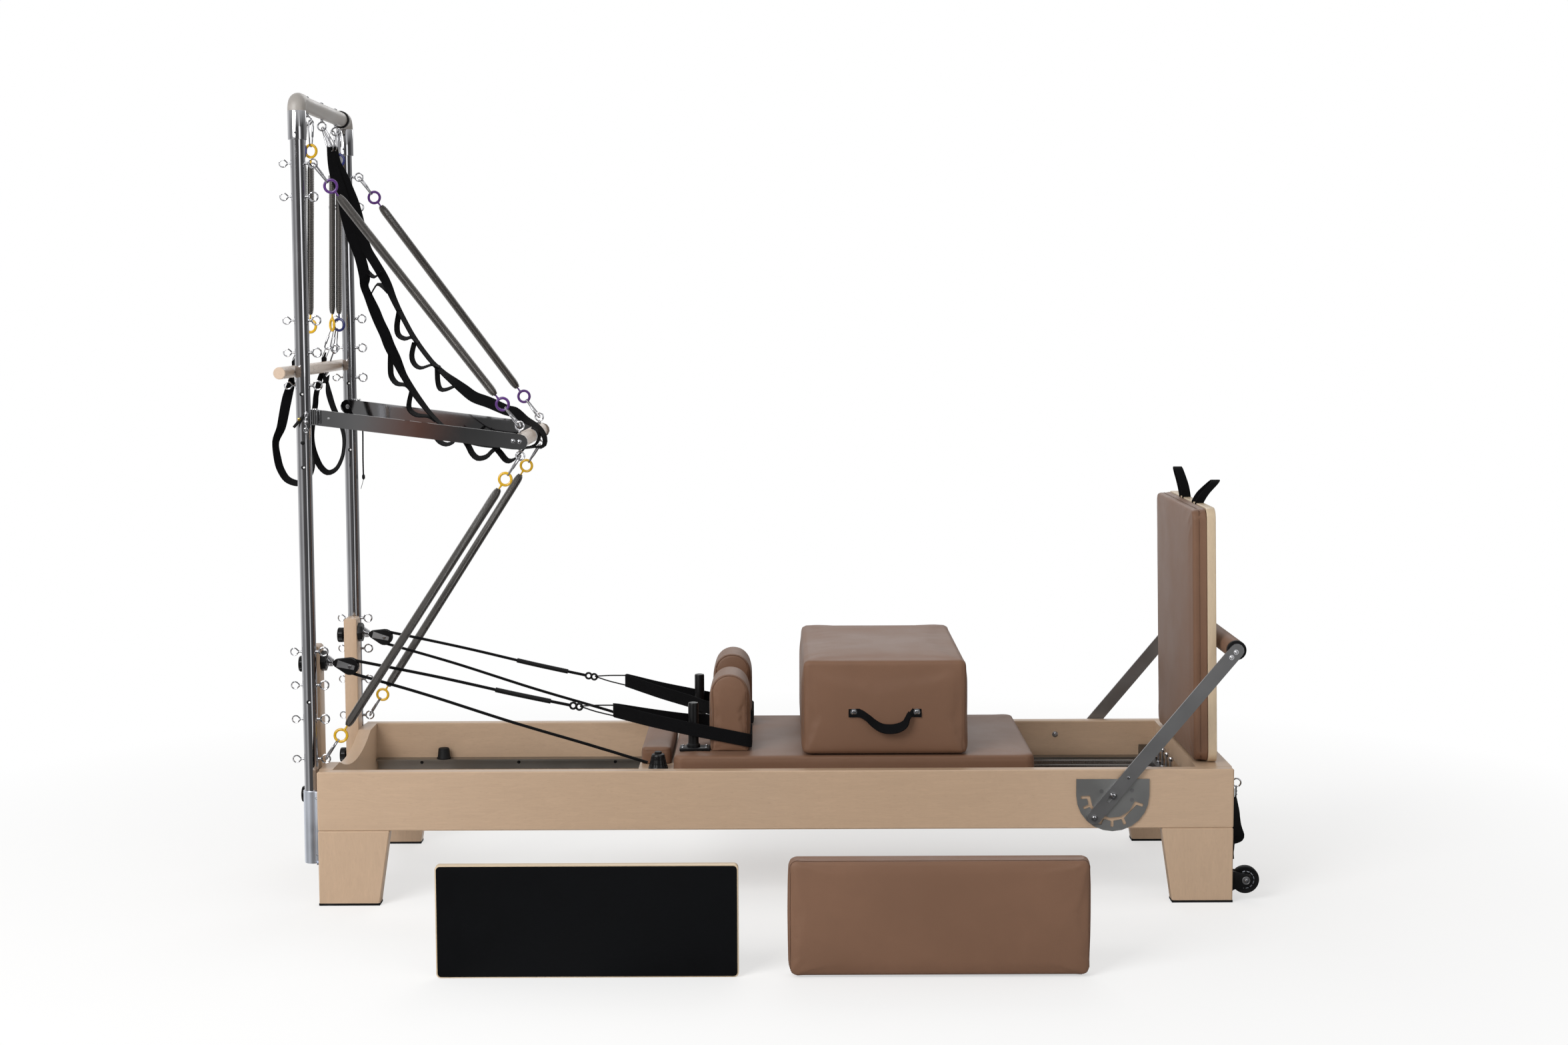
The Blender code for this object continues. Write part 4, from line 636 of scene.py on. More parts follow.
def add_node(
    tree: Tree, kind: str, settings: Optional[Dict[str, object]] = None, **links: object
) -> Node:
    """Add a node to a tree.

    Args:
        tree: The tree.
        kind: The node's type, without the words ShaderNode.
        settings: Properties of the node.
        **links: Inputs by name, with _ for a blank, or iN for input number N. A
            socket is linked and any other value is set.

    Returns:
        The node.
    """
    node = tree.nodes.new("ShaderNode" + kind)
    for label, value in (settings or {}).items():
        setattr(node, label, value)
    for label, value in links.items():
        numbered = label[0] == "i" and label[1:].isdigit()
        feed(tree, node.inputs[int(label[1:]) if numbered else label.replace("_", " ")], value)
    return node


def ramp(tree: Tree, factor: Socket, stops: Sequence[Tuple[float, object]]) -> Socket:
    """Add a colour ramp.

    Args:
        tree: The tree.
        factor: What it reads.
        stops: (place, grey value or colour) pairs.

    Returns:
        Its colour output.
    """
    node = add_node(tree, "ValToRGB", Fac=factor)
    elements = node.color_ramp.elements
    for i, (place, value) in enumerate(stops):
        element = elements[i] if i < 2 else elements.new(place)
        element.position = place
        element.color = (*value, 1.0) if isinstance(value, tuple) else (value, value, value, 1.0)
    return node.outputs["Color"]


def maths(tree: Tree, operation: str, first: object, second: object = 0.0) -> Socket:
    """Add a maths node and return its output."""
    return add_node(tree, "Math", {"operation": operation}, i0=first, i1=second).outputs[0]


def pebble_group() -> Tree:
    """Build the group for a fine leather pebble: a height and a mask of its valleys.

    Returns:
        The group.
    """
    group = Group(
        "pebble", {"Vector": None, "Scale": 900.0},
        {"Height": "NodeSocketFloat", "Valleys": "NodeSocketFloat"}
    )
    place, scale = group.source.outputs["Vector"], group.source.outputs["Scale"]
    cells = group.node("TexVoronoi", {"feature": "DISTANCE_TO_EDGE"}, Vector=place, Scale=scale)
    noise = group.node("TexNoise", Vector=place, Scale=group.maths("MULTIPLY", scale, 0.25), Detail=3.0)
    rise = group.ramp(cells.outputs["Distance"], ((0.0, 0.0), (0.22, 1.0)))
    height = group.maths("MULTIPLY", rise, group.maths("ADD", noise.outputs["Fac"], 0.35))
    group.out("Height", height)
    group.out("Valleys", group.maths("SUBTRACT", 1.0, rise))
    return group.tree


def figure_group() -> Tree:
    """Build the group for wood figure: grain lines along X, with soft cathedral rings and pores.

    Returns:
        The group.
    """
    group = Group(
        "figure",
        {"Vector": None, "Ring Scale": 9.0},
        {"Grain": "NodeSocketFloat", "Pores": "NodeSocketFloat", "Height": "NodeSocketFloat"},
    )
    place = group.source.outputs["Vector"]
    bend = group.node("TexNoise", Vector=place, Scale=2.2, Detail=3.0)
    long = group.node("Mapping", Vector=place, Scale=(1.0, 7.0, 7.0))
    swirl = group.node(
        "VectorMath", {"operation": "MULTIPLY_ADD"}, i0=bend.outputs["Color"], i1=(0.55, 0.55, 0.55),
        i2=long.outputs["Vector"]
    )
    rings = group.node(
        "TexNoise", Vector=swirl.outputs[0], Scale=group.source.outputs["Ring Scale"], Detail=1.5
    )
    bands = group.maths("PINGPONG", group.maths("MULTIPLY", rings.outputs["Fac"], 9.0), 1.0)
    fine = group.node("Mapping", Vector=place, Scale=(6.0, 260.0, 260.0))
    fibres = group.node("TexNoise", Vector=fine.outputs["Vector"], Scale=3.0, Detail=4.0, Roughness=0.6)
    dash = group.node("Mapping", Vector=place, Scale=(38.0, 620.0, 620.0))
    flecks = group.node("TexNoise", Vector=dash.outputs["Vector"], Scale=1.6, Detail=1.0)
    pores = group.ramp(flecks.outputs["Fac"], ((0.63, 0.0), (0.74, 1.0)))
    soft = group.ramp(bands, ((0.0, 1.0), (0.35, 0.0)))
    grain = group.maths(
        "ADD", group.maths("MULTIPLY", soft, 0.14), group.maths("MULTIPLY", fibres.outputs["Fac"], 0.5)
    )
    grain = group.maths("ADD", grain, group.maths("MULTIPLY", rings.outputs["Fac"], 0.36))
    group.out("Grain", grain)
    group.out("Pores", pores)
    group.out("Height", group.maths("SUBTRACT", fibres.outputs["Fac"], group.maths("MULTIPLY", pores, 0.6)))
    return group.tree


def weave_group() -> Tree:
    """Build the group for webbing: herringbone threads on a UV map in metres, with their height also given
    as a mask for painted shade in the gaps and painted light on the thread tops.

    Returns:
        The group.
    """
    group = Group(
        "weave", {"Vector": None, "Threads": 900.0},
        {"Height": "NodeSocketFloat", "Mask": "NodeSocketFloat"}
    )
    place, threads = group.source.outputs["Vector"], group.source.outputs["Threads"]
    split = group.node("SeparateXYZ", Vector=place)
    u = group.maths("MULTIPLY", split.outputs["X"], threads)
    v = group.maths("MULTIPLY", split.outputs["Y"], threads)
    lean = group.maths("PINGPONG", u, 4.0)
    twill = group.maths("SINE", group.maths("MULTIPLY", group.maths("ADD", v, lean), 2.2))
    warp = group.maths("SINE", group.maths("MULTIPLY", u, 6.2832))
    height = group.maths("ADD", group.maths("MULTIPLY", twill, 0.6), group.maths("MULTIPLY", warp, 0.4))
    level = group.maths("MULTIPLY_ADD", height, 0.5)
    level.node.inputs[2].default_value = 0.5
    group.out("Height", level)
    # The height again, as the mask that paints shade in the gaps and light on the thread tops
    group.out("Mask", level)
    return group.tree


def patina_group() -> Tree:
    """Build the group for handling: broad smudges and fine dust, as two masks.

    Returns:
        The group.
    """
    group = Group(
        "patina", {"Vector": None, "Scale": 6.0}, {"Smudge": "NodeSocketFloat", "Dust": "NodeSocketFloat"}
    )
    place, scale = group.source.outputs["Vector"], group.source.outputs["Scale"]
    broad = group.node("TexNoise", Vector=place, Scale=scale, Detail=5.0, Roughness=0.55)
    fine = group.node("TexNoise", Vector=place, Scale=group.maths("MULTIPLY", scale, 60.0), Detail=2.0)
    group.out("Smudge", group.ramp(broad.outputs["Fac"], ((0.35, 0.0), (0.68, 1.0))))
    group.out("Dust", group.ramp(fine.outputs["Fac"], ((0.55, 0.0), (0.75, 1.0))))
    return group.tree


GROUP_BUILDERS = {
    "pebble": pebble_group, "figure": figure_group, "weave": weave_group, "patina": patina_group
}


@dataclass(frozen=True)
class Finish:
    """A surface finish: its name, its slot in the record, its colour and its gloss."""

    name: str
    slot: str
    colour: Colour
    roughness: float = 0.5
    metallic: float = 0.0
    uv: bool = False
    shine: float = 0.5

    def material(self) -> bpy.types.Material:
        """Return the material, built on its first use.

        Returns:
            The material.
        """
        if self.name in bpy.data.materials:
            return bpy.data.materials[self.name]
        material = bpy.data.materials.new(self.name)
        material.use_nodes = True
        tree = material.node_tree
        shader = tree.nodes["Principled BSDF"]
        shader.inputs["Metallic"].default_value = self.metallic
        shader.inputs["Roughness"].default_value = self.roughness
        shader.inputs["Specular IOR Level"].default_value = self.shine
        source = add_node(tree, "TexCoord")
        self.dress(tree, shader, source.outputs["UV" if self.uv else "Object"])
        return material

    def dress(self, tree: Tree, shader: Node, place: Socket) -> None:
        """Wire the finish's own detail into the shader.

        Args:
            tree: The material's tree.
            shader: The Principled BSDF.
            place: The coordinates that its patterns read.
        """
        raise NotImplementedError

    @staticmethod
    def group(tree: Tree, name: str, **links: object) -> Node:
        """Place one of the shared groups in a tree and return its node.

        Args:
            tree: The tree to place it in.
            name: The group's name.
            **links: A socket or value for each input, by its label.

        Returns:
            The group's node.
        """
        shared = bpy.data.node_groups.get(name) or GROUP_BUILDERS[name]()
        node = add_node(tree, "Group", {"node_tree": shared})
        for label, value in links.items():
            feed(tree, node.inputs[label.replace("_", " ")], value)
        return node

    def tones(
        self, tree: Tree, shader: Node, mask: object, low: float, high: float, warm: float = 0.0
    ) -> None:
        """Vary the colour between a darker and a lighter tone of it by a mask.

        Args:
            tree: The material's node tree.
            shader: Its principled shader.
            mask: The mask, from 0 to 1.
            low: The darker tone, as a share of the colour.
            high: The lighter tone, as a share of the colour.
            warm: How much warmer the lighter tone is.
        """
        dark = tuple(c * low for c in self.colour)
        light = tuple(min(1.0, c * high * (1 + warm * k)) for k, c in zip((1, 0, -1), self.colour))
        tree.links.new(ramp(tree, mask, ((0.0, dark), (1.0, light))), shader.inputs["Base Color"])

    def gloss(self, tree: Tree, shader: Node, mask: object, spread: float) -> None:
        """Vary the roughness by a mask, about the finish's own value.

        Args:
            tree: The material's node tree.
            shader: Its principled shader.
            mask: The mask, from 0 to 1.
            spread: How far the roughness moves.
        """
        low, high = max(0.02, self.roughness - spread), min(1.0, self.roughness + spread)
        value = add_node(tree, "MapRange", i0=mask, i3=low, i4=high).outputs[0]
        tree.links.new(value, shader.inputs["Roughness"])

    def relief(self, tree: Tree, shader: Node, height: object, depth: float, strength: float) -> None:
        """Raise the surface by a height map, depth metres at most."""
        bump = add_node(tree, "Bump", Height=height, Distance=depth, Strength=strength)
        tree.links.new(bump.outputs["Normal"], shader.inputs["Normal"])


@dataclass(frozen=True)
class Leather(Finish):
    """Upholstery leather: a fine pebble with broad tone changes."""

    def dress(self, tree: Tree, shader: Node, place: Socket) -> None:
        """Wire the pebble, the tones and a soft sheen.

        Args:
            tree: The material's node tree.
            shader: Its principled shader.
            place: The texture coordinates.
        """
        pebble = self.group(tree, "pebble", Vector=place, Scale=780.0)
        patina = self.group(tree, "patina", Vector=place, Scale=4.0)
        mix = maths(
            tree, "SUBTRACT", patina.outputs["Smudge"],
            maths(tree, "MULTIPLY", pebble.outputs["Valleys"], 0.6)
        )
        self.tones(tree, shader, mix, 0.92, 1.07)
        self.gloss(tree, shader, patina.outputs["Smudge"], 0.07)
        self.relief(tree, shader, pebble.outputs["Height"], 0.00025, 0.35)
        shader.inputs["Sheen Weight"].default_value = 0.04


@dataclass(frozen=True)
class Wood(Finish):
    """Lacquered maple, with its grain turned to run along the piece."""

    turn: Tuple[float, float, float] = (0.0, 0.0, 0.0)
    coat: float = 0.25

    def dress(self, tree: Tree, shader: Node, place: Socket) -> None:
        """Wire the grain, the pores and a thin lacquer.

        Args:
            tree: The material's node tree.
            shader: Its principled shader.
            place: The texture coordinates.
        """
        turned_place = add_node(tree, "Mapping", Vector=place, Rotation=self.turn).outputs["Vector"]
        figure = self.group(tree, "figure", Vector=turned_place)
        patina = self.group(tree, "patina", Vector=place, Scale=2.0)
        sum_up = maths(
            tree, "ADD", maths(tree, "MULTIPLY", figure.outputs["Grain"], 0.85),
            maths(tree, "MULTIPLY", patina.outputs["Smudge"], 0.18)
        )
        deep = maths(tree, "SUBTRACT", sum_up, maths(tree, "MULTIPLY", figure.outputs["Pores"], 0.5))
        self.tones(tree, shader, deep, 0.84, 1.1, warm=0.02)
        self.gloss(tree, shader, figure.outputs["Grain"], 0.08)
        self.relief(tree, shader, figure.outputs["Height"], 0.0002, 0.25)
        shader.inputs["Coat Weight"].default_value = self.coat
        shader.inputs["Coat Roughness"].default_value = 0.22


@dataclass(frozen=True)
class Metal(Finish):
    """Bare or plated metal, with smudges and fine brushing where it has it."""

    brush: float = 0.0

    def dress(self, tree: Tree, shader: Node, place: Socket) -> None:
        """Wire the smudges and the brushing.

        Args:
            tree: The material's node tree.
            shader: Its principled shader.
            place: The texture coordinates.
        """
        patina = self.group(tree, "patina", Vector=place, Scale=9.0)
        self.tones(tree, shader, patina.outputs["Smudge"], 0.9, 1.04)
        fine = add_node(tree, "Mapping", Vector=place, Scale=(60.0, 900.0, 900.0)).outputs["Vector"]
        lines = add_node(tree, "TexNoise", Vector=fine, Scale=2.0, Detail=3.0).outputs["Fac"]
        self.gloss(
            tree, shader,
            maths(tree, "ADD", maths(tree, "MULTIPLY", lines, self.brush), patina.outputs["Smudge"]), 0.05
        )
        self.relief(tree, shader, lines, 0.00005, 0.05 + 0.5 * self.brush)


@dataclass(frozen=True)
class Webbing(Finish):
    """Woven nylon, on a UV map in metres."""

    threads: float = 900.0

    def dress(self, tree: Tree, shader: Node, place: Socket) -> None:
        """Wire the weave with painted shade between the threads and painted highlights on their tops, and a
        little fluff.

        Args:
            tree: The material's node tree.
            shader: Its principled shader.
            place: The texture coordinates.
        """
        weave = self.group(tree, "weave", Vector=place, Threads=self.threads)
        patina = self.group(tree, "patina", Vector=place, Scale=30.0)
        # Painted light and shade: the colour is darker in the weave's gaps and lighter on its thread tops,
        # mixed with real smudges
        mix = maths(
            tree, "ADD", maths(tree, "MULTIPLY", weave.outputs["Mask"], 0.7),
            maths(tree, "MULTIPLY", patina.outputs["Smudge"], 0.3)
        )
        self.tones(tree, shader, mix, 0.55, 1.5)
        self.gloss(tree, shader, weave.outputs["Mask"], 0.08)
        self.relief(tree, shader, weave.outputs["Height"], 0.0004, 0.6)
        shader.inputs["Sheen Weight"].default_value = 0.01


@dataclass(frozen=True)
class Moulded(Finish):
    """Moulded plastic, rubber or powder paint: a fine texture with dust."""

    texture: float = 1200.0
    depth: float = 0.00012

    def dress(self, tree: Tree, shader: Node, place: Socket) -> None:
        """Wire the mould's texture, its smudges and its dust.

        Args:
            tree: The material's node tree.
            shader: Its principled shader.
            place: The texture coordinates.
        """
        patina = self.group(tree, "patina", Vector=place, Scale=12.0)
        skin = add_node(tree, "TexNoise", Vector=place, Scale=self.texture, Detail=2.0).outputs["Fac"]
        mix = maths(
            tree, "ADD", patina.outputs["Smudge"], maths(tree, "MULTIPLY", patina.outputs["Dust"], 0.5)
        )
        self.tones(tree, shader, mix, 0.88, 1.14)
        self.gloss(tree, shader, patina.outputs["Smudge"], 0.08)
        self.relief(tree, shader, skin, self.depth, 0.3)


QUARTER = math.pi / 2
MAPLE_TONE = srgb(192, 165, 139)
MAPLE = Wood("maple_along", "maple", MAPLE_TONE, 0.42)
MAPLE_UP = Wood("maple_upright", "maple", MAPLE_TONE, 0.42, turn=(0.0, QUARTER, 0.0))
MAPLE_ACROSS = Wood("maple_across", "maple", MAPLE_TONE, 0.42, turn=(0.0, 0.0, QUARTER))
# Painted light: pale discs for the bright far side seen through the poles' holes
SEE_THROUGH_PALE = Moulded("pale_moulding", "pale_paint", (0.8, 0.8, 0.8), 0.5)
DOWEL = Wood("dowel_across", "maple", srgb(206, 184, 164), 0.3, turn=(0.0, 0.0, QUARTER), coat=0.45)
PALE_PLY = Wood("pale_panel", "maple", srgb(206, 186, 158), 0.45, turn=(0.0, QUARTER, 0.0))
LEATHER = Leather("tan_leather_cover", "tan_leather", srgb(121, 89, 69), 0.5, shine=0.3)
PIPING = Leather("tan_leather_piping", "tan_leather", srgb(110, 80, 62), 0.46, shine=0.3)
CHROME = Metal("chrome_plate", "chrome", (0.52, 0.52, 0.54), 0.07, 1.0)
POLISHED = Metal("polished_flat", "chrome", (0.6, 0.6, 0.61), 0.035, 1.0)
WIRE = Metal("spring_wire", "spring_steel", (0.21, 0.2, 0.19), 0.28, 1.0)
GREY_STEEL = Metal("brushed_grey", "grey_steel", (0.34, 0.34, 0.345), 0.44, 1.0, brush=0.8)
GEAR_STEEL = Metal("brushed_gear", "grey_steel", (0.42, 0.425, 0.42), 0.46, 1.0, brush=0.8)
ALUMINIUM = Metal("holder_aluminium", "aluminium", (0.78, 0.82, 0.9), 0.4, 1.0, brush=0.4)
# Painted shade and painted reflection: this copy of the aluminium is dark and brown for the shade the
# tracks lie in and the wood they reflect
TRACK_PAINTED_SHADE = Metal("track_aluminium", "aluminium", (0.3, 0.28, 0.255), 0.36, 1.0, brush=0.6)
BRASS = Metal("brass_screw", "chrome", (0.55, 0.38, 0.12), 0.28, 1.0)
PAINT = Moulded("pale_powder_paint", "pale_paint", srgb(152, 147, 142), 0.38, texture=900.0)
RUBBER = Moulded(
    "black_rubber_skin", "black_rubber", (0.0045, 0.0045, 0.005), 0.55, shine=0.22, texture=700.0
)
GRIP = Moulded(
    "black_grip_face", "black_rubber", (0.003, 0.0033, 0.004), 0.75, shine=0.08, texture=420.0, depth=0.0004
)
PLASTIC = Moulded("black_moulding", "black_plastic", (0.004, 0.004, 0.0045), 0.36, shine=0.28)
BLACK_STEEL = Moulded(
    "black_powder_steel", "black_steel", (0.0045, 0.0045, 0.005), 0.36, shine=0.28, texture=900.0
)
PURPLE = Moulded("purple_ring", "spring_steel", srgb(80, 34, 112), 0.35)
YELLOW = Moulded("yellow_ring", "spring_steel", srgb(214, 168, 12), 0.35)
BLUE = Moulded("blue_ring", "spring_steel", srgb(30, 36, 96), 0.35)
WEBBING = Webbing("black_webbing_weave", "black_webbing", (0.0032, 0.0032, 0.0038), 0.8, uv=True, shine=0.1)
BRAID = Webbing(
    "black_rope_braid", "black_webbing", (0.0032, 0.0032, 0.0038), 0.78, uv=True, shine=0.12, threads=700.0
)


def settle(
    obj: Object,
    name: str,
    finish: Finish,
    body: Optional[str],
    replaces: Sequence[str] = (),
    smooth: float = 35.0,
) -> Object:
    """Move a finished mesh to the machine's place, dress it and hang it on its body.

    Args:
        obj: The mesh object, made in machine metres.
        name: The piece's name.
        finish: Its finish.
        body: The body it rides on, or None for a piece that spans two bodies and rides on neither.
        replaces: The solids that it stands for.
        smooth: Edges sharper than this many degrees stay sharp.

    Returns:
        The same object.
    """
    obj.data.transform(Matrix.Translation(ORIGIN))
    obj.name = name
    obj.data.name = name
    obj.data.materials.clear()
    obj.data.materials.append(finish.material())
    hold(obj)
    bpy.ops.object.shade_smooth_by_angle(angle=math.radians(smooth))
    rest()
    if body is not None:
        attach(obj, body)
    if replaces:
        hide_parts(*replaces)
    return obj


@dataclass(frozen=True)
class Span:
    """Two bodies and the machine points where a piece leaves the one and meets the other."""

    first: str
    second: str
    start: Triple
    end: Triple

    def settle(
        self, obj: Object, name: str, finish: Finish, replaces: Sequence[str] = (), smooth: float = 35.0
    ) -> Object:
        """Settle a piece that reaches over the span, on no body, with its place baked into its mesh.

        Args:
            obj: The mesh object, made in machine metres.
            name: The piece's name.
            finish: Its finish.
            replaces: The solids that it stands for.
            smooth: Edges sharper than this many degrees stay sharp.

        Returns:
            The same object.
        """
        settle(obj, name, finish, None, replaces, smooth)
        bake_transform(obj)
        return obj


def dress(node: str, finish: Finish) -> None:
    """Give a carried-over solid a finish in each of its material slots.

    Args:
        node: The solid's name in the frame.
        finish: The finish.
    """
    obj = frame["nodes"][node]
    for slot in obj.material_slots:
        slot.material = finish.material()


def wood_screw(base: Triple, direction: Triple, radius: float = 0.004) -> Object:
    """Make a pan head with a cross recess.

    Args:
        base: The point on the surface.
        direction: The way the head faces.
        radius: The head's radius.

    Returns:
        The mesh object.
    """
    head = turned(
        (0, 0, 0), Z_AXIS,
        [
            (radius, -GAP), (radius, 0.0006), (radius * 0.82, 0.0016), (radius * 0.45, 0.0021),
            (radius * 0.3, 0.0013)
        ],
        20
    )
    return aim(head, base, direction)


def hex_bolt(base: Triple, direction: Triple, radius: float = 0.008, height: float = 0.0045) -> Object:
    """Make a button head with a socket, on a washer.

    Args:
        base: The point on the surface.
        direction: The way the head faces.
        radius: The washer's radius.
        height: The head's height.

    Returns:
        The mesh object.
    """
    washer = turned((0, 0, 0), Z_AXIS, [(radius, -GAP), (radius, 0.0009), (radius * 0.96, 0.0012)], 28)
    head = turned(
        (0, 0, 0),
        Z_AXIS,
        [
            (radius * 0.72, 0.001), (radius * 0.7, height * 0.6), (radius * 0.45, height),
            (radius * 0.3, height), (radius * 0.27, height * 0.5)
        ],
        28,
    )
    return aim(joined([washer, head]), base, direction)


# Studio


@dataclass
class Studio:
    """The camera at the photograph's place, soft lamps, and a pale floor."""

    place: Triple = (0.0173, -6.3724, 1.5719)
    yaw: float = 0.0011974
    pitch: float = 0.0937949
    roll: float = -0.0035555
    focal_pixels: float = 3491.64
    picture_width: int = 2352
    floor_size: float = 60.0
    floor_white: float = 0.55
    room_light: float = 0.5
    room_centre: Triple = (-1.2215, -0.329, 0.0)
    panels: Tuple[Tuple[float, object], ...] = (
        (-180, 0.85), (-102, 0.85), (-94, 0.4), (-54, 0.36), (-49, 0.6), (-28, 0.58), (-22, 0.13),
        (-12.4, 0.12), (-11.6, 0.2), (-11.0, 0.1), (-10.2, 0.08), (-10.0, 0.22), (-9.8, 0.2),
        (-9.6, (0.2, 0.1, 0.075)), (-8.1, (0.17, 0.08, 0.06)), (-7.9, 0.07), (-6.6, 0.05), (-5.0, 0.1),
        (32, 0.1), (35, 1.0), (47, 1.0), (50, 0.08), (96, 0.08), (108, 0.26), (150, 0.3), (180, 0.85),
    )

    def camera(self) -> None:
        """Put the camera where the photograph was taken from."""
        data = bpy.data.cameras.new("camera")
        data.sensor_width = 36.0
        data.lens = self.focal_pixels * 36.0 / self.picture_width
        data.clip_end = 200.0
        cy, sy, cp, sp = math.cos(self.yaw), math.sin(self.yaw), math.cos(self.pitch), math.sin(self.pitch)
        forward = Vector((sy * cp, cy * cp, -sp))
        right = Vector((cy, -sy, 0.0))
        up = right.cross(forward)
        cr, sr = math.cos(self.roll), math.sin(self.roll)
        x, y = cr * right + sr * up, -sr * right + cr * up
        turn = Matrix((x, y, -forward)).transposed().to_4x4()
        obj = bpy.data.objects.new("camera", data)
        obj.matrix_world = Matrix.Translation(ORIGIN + Vector(self.place)) @ turn
        bpy.context.scene.collection.objects.link(obj)
        bpy.context.scene.camera = obj

    def lamp(self, name: str, place: Triple, target: Triple, size: float, watts: float) -> None:
        """Add one square soft lamp that faces a target.

        Args:
            name: The lamp's name.
            place: Where it hangs.
            target: The point that it faces.
            size: Its side length.
            watts: Its power.
        """
        data = bpy.data.lights.new(name, "AREA")
        data.size, data.energy = size, watts
        obj = bpy.data.objects.new(name, data)
        obj.location = place
        obj.rotation_euler = (Vector(target) - Vector(place)).to_track_quat("-Z", "Y").to_euler()
        bpy.context.scene.collection.objects.link(obj)

    def walls(self, tree: Tree, way: Socket) -> Socket:
        """Return the studio's upright panels, as metal sees them along a direction.

        Args:
            tree: The world's node tree.
            way: The direction looked along.

        Returns:
            How bright the panels are there.
        """
        parts = add_node(tree, "SeparateXYZ", Vector=way).outputs
        bearing = maths(tree, "ARCTAN2", parts["X"], maths(tree, "MULTIPLY", parts["Y"], -1.0))
        share = maths(tree, "ADD", maths(tree, "MULTIPLY", bearing, 0.5 / math.pi), 0.5)
        return ramp(tree, share, [((degrees + 180) / 360, level) for degrees, level in self.panels])

    def world(self) -> None:
        """Light the room evenly, show white behind the machine, and show metal a studio of panels."""
        world = bpy.data.worlds.new("room")
        bpy.context.scene.world = world
        world.use_nodes = True
        tree = world.node_tree
        tree.nodes.clear()
        path = add_node(tree, "LightPath").outputs
        way = add_node(tree, "TexCoord").outputs["Generated"]
        height = add_node(tree, "SeparateXYZ", Vector=way).outputs["Z"]
        ceiling = ramp(tree, height, ((0.3, 0.0), (0.62, 1.0)))
        panels = add_node(
            tree, "Mix", {"data_type": "RGBA"}, i0=ceiling, i6=self.walls(tree, way),
            i7=(0.75, 0.75, 0.75, 1.0)
        )
        room = add_node(tree, "Background", Color=(1.0, 0.99, 0.97, 1.0), Strength=self.room_light)
        white = add_node(tree, "Background", Color=(1.0, 1.0, 1.0, 1.0), Strength=1.0)
        studio = add_node(tree, "Background", Color=panels.outputs[2], Strength=1.0)
        seen = maths(tree, "MAXIMUM", path["Is Camera Ray"], path["Is Transmission Ray"])
        behind = add_node(tree, "MixShader", i0=seen, i1=room.outputs[0], i2=white.outputs[0])
        mirrored = add_node(
            tree, "MixShader", i0=path["Is Glossy Ray"], i1=behind.outputs[0], i2=studio.outputs[0]
        )
        add_node(tree, "OutputWorld", Surface=mirrored.outputs[0])

    def floor(self) -> None:
        """Lay the pale floor, which fades to white away from the machine and keeps its shadow."""
        rest()
        bpy.ops.mesh.primitive_plane_add(size=self.floor_size, location=(0, 0, 0))
        obj = bpy.context.object
        bpy.ops.object.transform_apply(location=True, rotation=True, scale=True)
        obj.name = "floor"
        material = bpy.data.materials.new("pale_floor")
        material.use_nodes = True
        tree = material.node_tree
        shader = tree.nodes["Principled BSDF"]
        shader.inputs["Roughness"].default_value = 0.9
        shader.inputs["Specular IOR Level"].default_value = 0.0
        place = add_node(tree, "TexCoord").outputs["Object"]
        noise = add_node(tree, "TexNoise", Vector=place, Scale=3.0).outputs["Fac"]
        tone = ramp(tree, noise, ((0.0, (0.92, 0.92, 0.915)), (1.0, (0.94, 0.94, 0.935))))
        tree.links.new(tone, shader.inputs["Base Color"])
        centre = add_node(
            tree, "VectorMath", {"operation": "SUBTRACT"}, i0=place, i1=tuple(ORIGIN)
        ).outputs[0]
        away = add_node(tree, "VectorMath", {"operation": "LENGTH"}, i0=centre).outputs[1]
        fade = ramp(tree, maths(tree, "MULTIPLY", away, 0.1), ((0.12, self.floor_white), (0.3, 1.0)))
        path = add_node(tree, "LightPath").outputs
        seen = maths(tree, "MAXIMUM", path["Is Camera Ray"], path["Is Transmission Ray"])
        amount = maths(tree, "MULTIPLY", fade, seen)
        white = add_node(tree, "Emission", Color=(1.0, 1.0, 1.0, 1.0), Strength=1.0)
        mix = add_node(tree, "MixShader", i0=amount, i1=shader.outputs[0], i2=white.outputs[0])
        spot = add_node(
            tree, "VectorMath", {"operation": "SUBTRACT"}, i0=place,
            i1=tuple(ORIGIN + Vector(self.room_centre))
        ).outputs[0]
        mirror = add_node(tree, "Emission", Color=self.walls(tree, spot), Strength=1.0)
        both = add_node(
            tree, "MixShader", i0=path["Is Glossy Ray"], i1=mix.outputs[0], i2=mirror.outputs[0]
        )
        tree.links.new(both.outputs[0], tree.nodes["Material Output"].inputs["Surface"])
        obj.data.materials.append(material)

    def build(self) -> None:
        """Set up the whole studio."""
        self.camera()
        bpy.context.scene.view_settings.view_transform = "Standard"
        self.world()
        self.lamp("key", (-3.2, -4.2, 3.9), (0.0, 0.2, 0.6), 3.0, 230.0)
        self.lamp("fill", (3.4, -4.6, 2.6), (0.2, 0.2, 0.6), 3.0, 22.0)
        self.lamp("back", (0.5, 4.4, 4.4), (0.0, 0.3, 0.8), 3.0, 60.0)
        self.floor()
        LOG.info("studio: camera, three lamps and the floor")


# Upholstery


